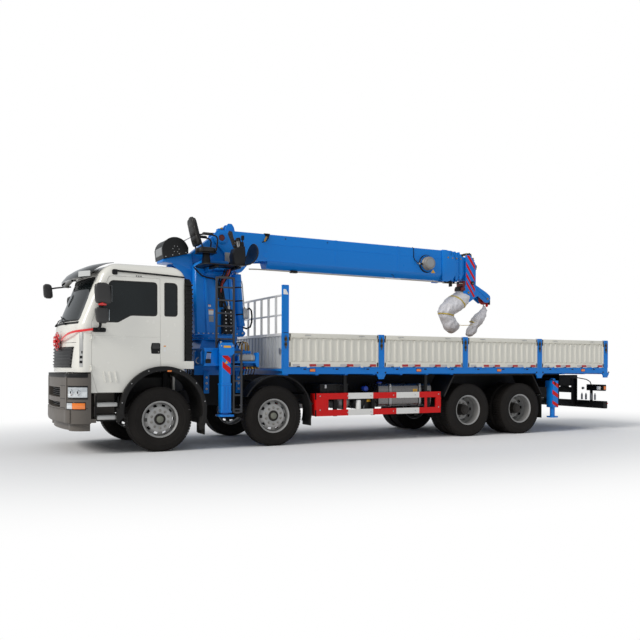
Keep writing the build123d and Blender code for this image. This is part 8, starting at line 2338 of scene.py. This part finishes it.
tip.use(crane_blue).bar((-2.935, -2.68), (-0.113, 0.113), (3.7, 3.714), 0.004)
tip.bar((-2.935, -2.68), (-0.113, 0.113), (3.24, 3.252), 0.004)
tip.bar((-2.7, -2.675), (-0.113, 0.113), (3.24, 3.712), 0.004)
tip.use(block_red).bar((-2.67, -2.575), (-0.134, 0.134), (3.025, 3.1), 0.012)
tip.bar((-2.72, -2.62), (-0.12, 0.12), (3.1, 3.24), 0.012)
tip.use(crane_black).bar((-2.6, -2.55), (-0.08, 0.08), (3.02, 3.12), 0.008)
tip.bar((-2.9, -2.82), (0.1325, 0.15), (3.17, 3.24), 0.006)
tip.use(zinc).rod((-2.86, 0.148, 3.2), (-2.86, 0.158, 3.2), 0.012, 8)
# lamps, brackets and brass screws over the head
for x, y, z, colour in ((-2.72, 0.09, 3.82, brass), (-2.79, 0.11, 3.835, crane_black), (-2.85, 0.09, 3.8, brass),
                        (-2.64, 0.05, 3.8, crane_black), (-2.9, 0.1, 3.74, brass)):
    tip.use(colour).rod((x, y, z - 0.05), (x, y, z + 0.02), 0.019, 10, 0.004)
tip.use(crane_black).bar((-2.86, -2.7), (-0.1, 0.1), (3.815, 3.845), 0.008)
tip.use(label_white).bar((-2.82, -2.74), (-0.05, 0.07), (3.845, 3.862), 0.006)
tip.use(crane_black).bar((-2.985, -2.945), (0.06, 0.13), (3.55, 3.6), 0.006)
tip.use(brass).rod((-2.965, 0.12, 3.5), (-2.975, 0.125, 3.56), 0.011, 8)
# overwind switch at the jib's end: dark latch, brass pin and the red weight on its short link
tip.use(crane_black).prism([(-3.34, 2.96), (-3.39, 2.96), (-3.43, 2.86), (-3.43, 2.76), (-3.4, 2.76), (-3.37, 2.86)],
                           "Y", -0.03, 0.05, 0.006)
tip.use(brass).rod((-3.385, 0.05, 2.9), (-3.385, 0.062, 2.9), 0.012, 8)
tip.use(stripe_red).ball((-3.33, 0.05, 2.745), (0.03, 0.03, 0.042), 20, 14)
tip.use(rope_steel).tube([(-3.35, 0.03, 2.84), (-3.335, 0.05, 2.8), (-3.33, 0.05, 2.78)], 0.005, 8)
tip.done("boom_tip", smooth=34)

# ---------------------------------------------------------------- wrapped hooks
# Both hook blocks hang parcelled for delivery: white plastic sacking wound round the iron, its slack
# creased between the girths of yellow tape, the mouth gathered at the rope above.
wrap_white = finish("wrap_white", (0.7, 0.69, 0.72), 0.36, drift=0.05, drift_size=6, grain=0.5,
                    grain_size=45, gloss=0.4)
tape_yellow = finish("tape_yellow", (0.62, 0.45, 0.05), 0.4, drift=0.15, drift_size=20)


def wrapped(piece, levels, seed):
    """Sack round a load: half widths follow the levels (z, front, rear), creases run along its slack."""
    rows, steps = 120, 112
    part = bmesh.new()
    rings = []
    for i in range(rows + 1):
        t = i / rows * (len(levels) - 1)
        k = min(int(t), len(levels) - 2)
        f = t - k
        around = [levels[max(min(k + d, len(levels) - 1), 0)] for d in (-1, 0, 1, 2)]
        z, front, rear = [eased(*values, f) for values in zip(*around)]
        middle, half = (front + rear) / 2, max((front - rear) / 2, 0.008)
        ring = []
        for j in range(steps):
            a = 2 * math.pi * j / steps
            away = Vector((math.cos(a), math.sin(a), 0))
            at = Vector((middle + 0.92 * half * away.x, 0.66 * half * away.y, z))
            slack = min(half / 0.08, 1.0)
            fold = 1 - 2.2 * abs(noise.noise(Vector((at.x * 11 + seed, at.y * 11, at.z * 7))))
            fold += 0.45 * (1 - 2.2 * abs(noise.noise(Vector((at.x * 24, at.y * 24 + seed, at.z * 13)))))
            crease = 1 - 2.4 * abs(noise.noise(Vector((at.x * 55, at.y * 55, at.z * 40 + seed))))
            ring.append(part.verts.new(at + away * slack * (0.014 * fold + 0.005 * crease - 0.006)))
        rings.append(ring)
    for a, b in zip(rings, rings[1:]):
        for j in range(steps):
            part.faces.new((a[j], a[(j + 1) % steps], b[(j + 1) % steps], b[j]))
    part.faces.new(rings[0])
    part.faces.new(rings[-1])
    bmesh.ops.recalc_face_normals(part, faces=part.faces)
    skin = bvhtree.BVHTree.FromBMesh(part)
    piece.use(wrap_white).take(part)
    return skin


def girth(piece, skin, centre, along, width=0.032):
    """Tape pulled round the sack in the plane across the direction along."""
    along, centre = Vector(along).normalized(), Vector(centre)
    across = along.cross(Vector((0, 1, 0)))
    part = bmesh.new()
    rings = []
    for j in range(72):
        a = 2 * math.pi * j / 72
        way = across * math.cos(a) + Vector((0, 1, 0)) * math.sin(a)
        ring = []
        for shift, lift in ((-0.5, -0.004), (-0.5, 0.0045), (0.5, 0.0045), (0.5, -0.004)):
            start = centre + along * shift * width
            hit = skin.ray_cast(start, way)[0] or start + way * 0.05
            ring.append(part.verts.new(hit + way * lift))
        rings.append(ring)
    for i in range(72):
        a, b = rings[i], rings[(i + 1) % 72]
        for j in range(4):
            part.faces.new((a[j], b[j], b[(j + 1) % 4], a[(j + 1) % 4]))
    piece.use(tape_yellow).take(part)


main_wrap = Piece("main_hook_wrap", "boom_tip", "hook_wrap", wrap_white)
skin = wrapped(main_wrap, [(3.125, -2.62, -2.645), (3.08, -2.6, -2.68), (3.03, -2.56, -2.748), (2.97, -2.47, -2.81),
                           (2.908, -2.36, -2.88), (2.84, -2.25, -2.86), (2.78, -2.2, -2.837), (2.7, -2.115, -2.76),
                           (2.62, -2.07, -2.662), (2.57, -2.046, -2.57), (2.53, -2.055, -2.489), (2.48, -2.077, -2.44),
                           (2.39, -2.122, -2.507), (2.3, -2.165, -2.585), (2.214, -2.206, -2.585),
                           (2.15, -2.27, -2.51), (2.116, -2.33, -2.45), (2.1, -2.38, -2.4)], 3.1)
girth(main_wrap, skin, (-2.49, 0, 2.82), (0.667, 0, -0.745))
girth(main_wrap, skin, (-2.26, 0, 2.5), (0.12, 0, -0.99), 0.026)
main_wrap.use(tape_yellow).tube([(-2.5, 0.1, 2.285), (-2.6, 0.11, 2.276), (-2.75, 0.11, 2.283), (-2.9, 0.1, 2.296)],
                                0.006, 8)
hook_wrap_main = main_wrap.done("main_hook", smooth=180)

small_wrap = Piece("auxiliary_hook_wrap", "boom_tip", "hook_wrap", wrap_white)
skin = wrapped(small_wrap, [(2.74, -3.275, -3.3), (2.715, -3.26, -3.319), (2.684, -3.247, -3.345),
                            (2.646, -3.21, -3.364), (2.611, -3.18, -3.36), (2.535, -3.05, -3.34),
                            (2.474, -2.99, -3.32), (2.419, -2.944, -3.285), (2.343, -2.93, -3.23),
                            (2.285, -2.885, -3.158), (2.234, -2.839, -3.1), (2.142, -2.815, -3.069),
                            (2.1, -2.8, -3.02), (2.06, -2.83, -2.97), (2.04, -2.87, -2.9)], 8.4)
girth(small_wrap, skin, (-2.95, 0, 2.365), (0.55, 0, -0.83), 0.03)
small_wrap.use(rope_steel).rod((-3.275, 0, 2.762), (-3.285, 0, 2.72), 0.009, 10)
hook_wrap_small = small_wrap.done("auxiliary_hook", smooth=180)

# ---------------------------------------------------------------- cab inner lining and glass
# The dark lining behind the windows is moulded board and vinyl clipped to the steel shell; the
# panes are toughened sheet glass bonded into their rubber frames.
lining_black = finish("lining_black", (0.007, 0.007, 0.0075), 0.7, grain=0.35, grain_size=220, gloss=0.2)
wear(lining_black, "cab_interior")
wear(glass_dark, "cab_glass")

low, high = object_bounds()
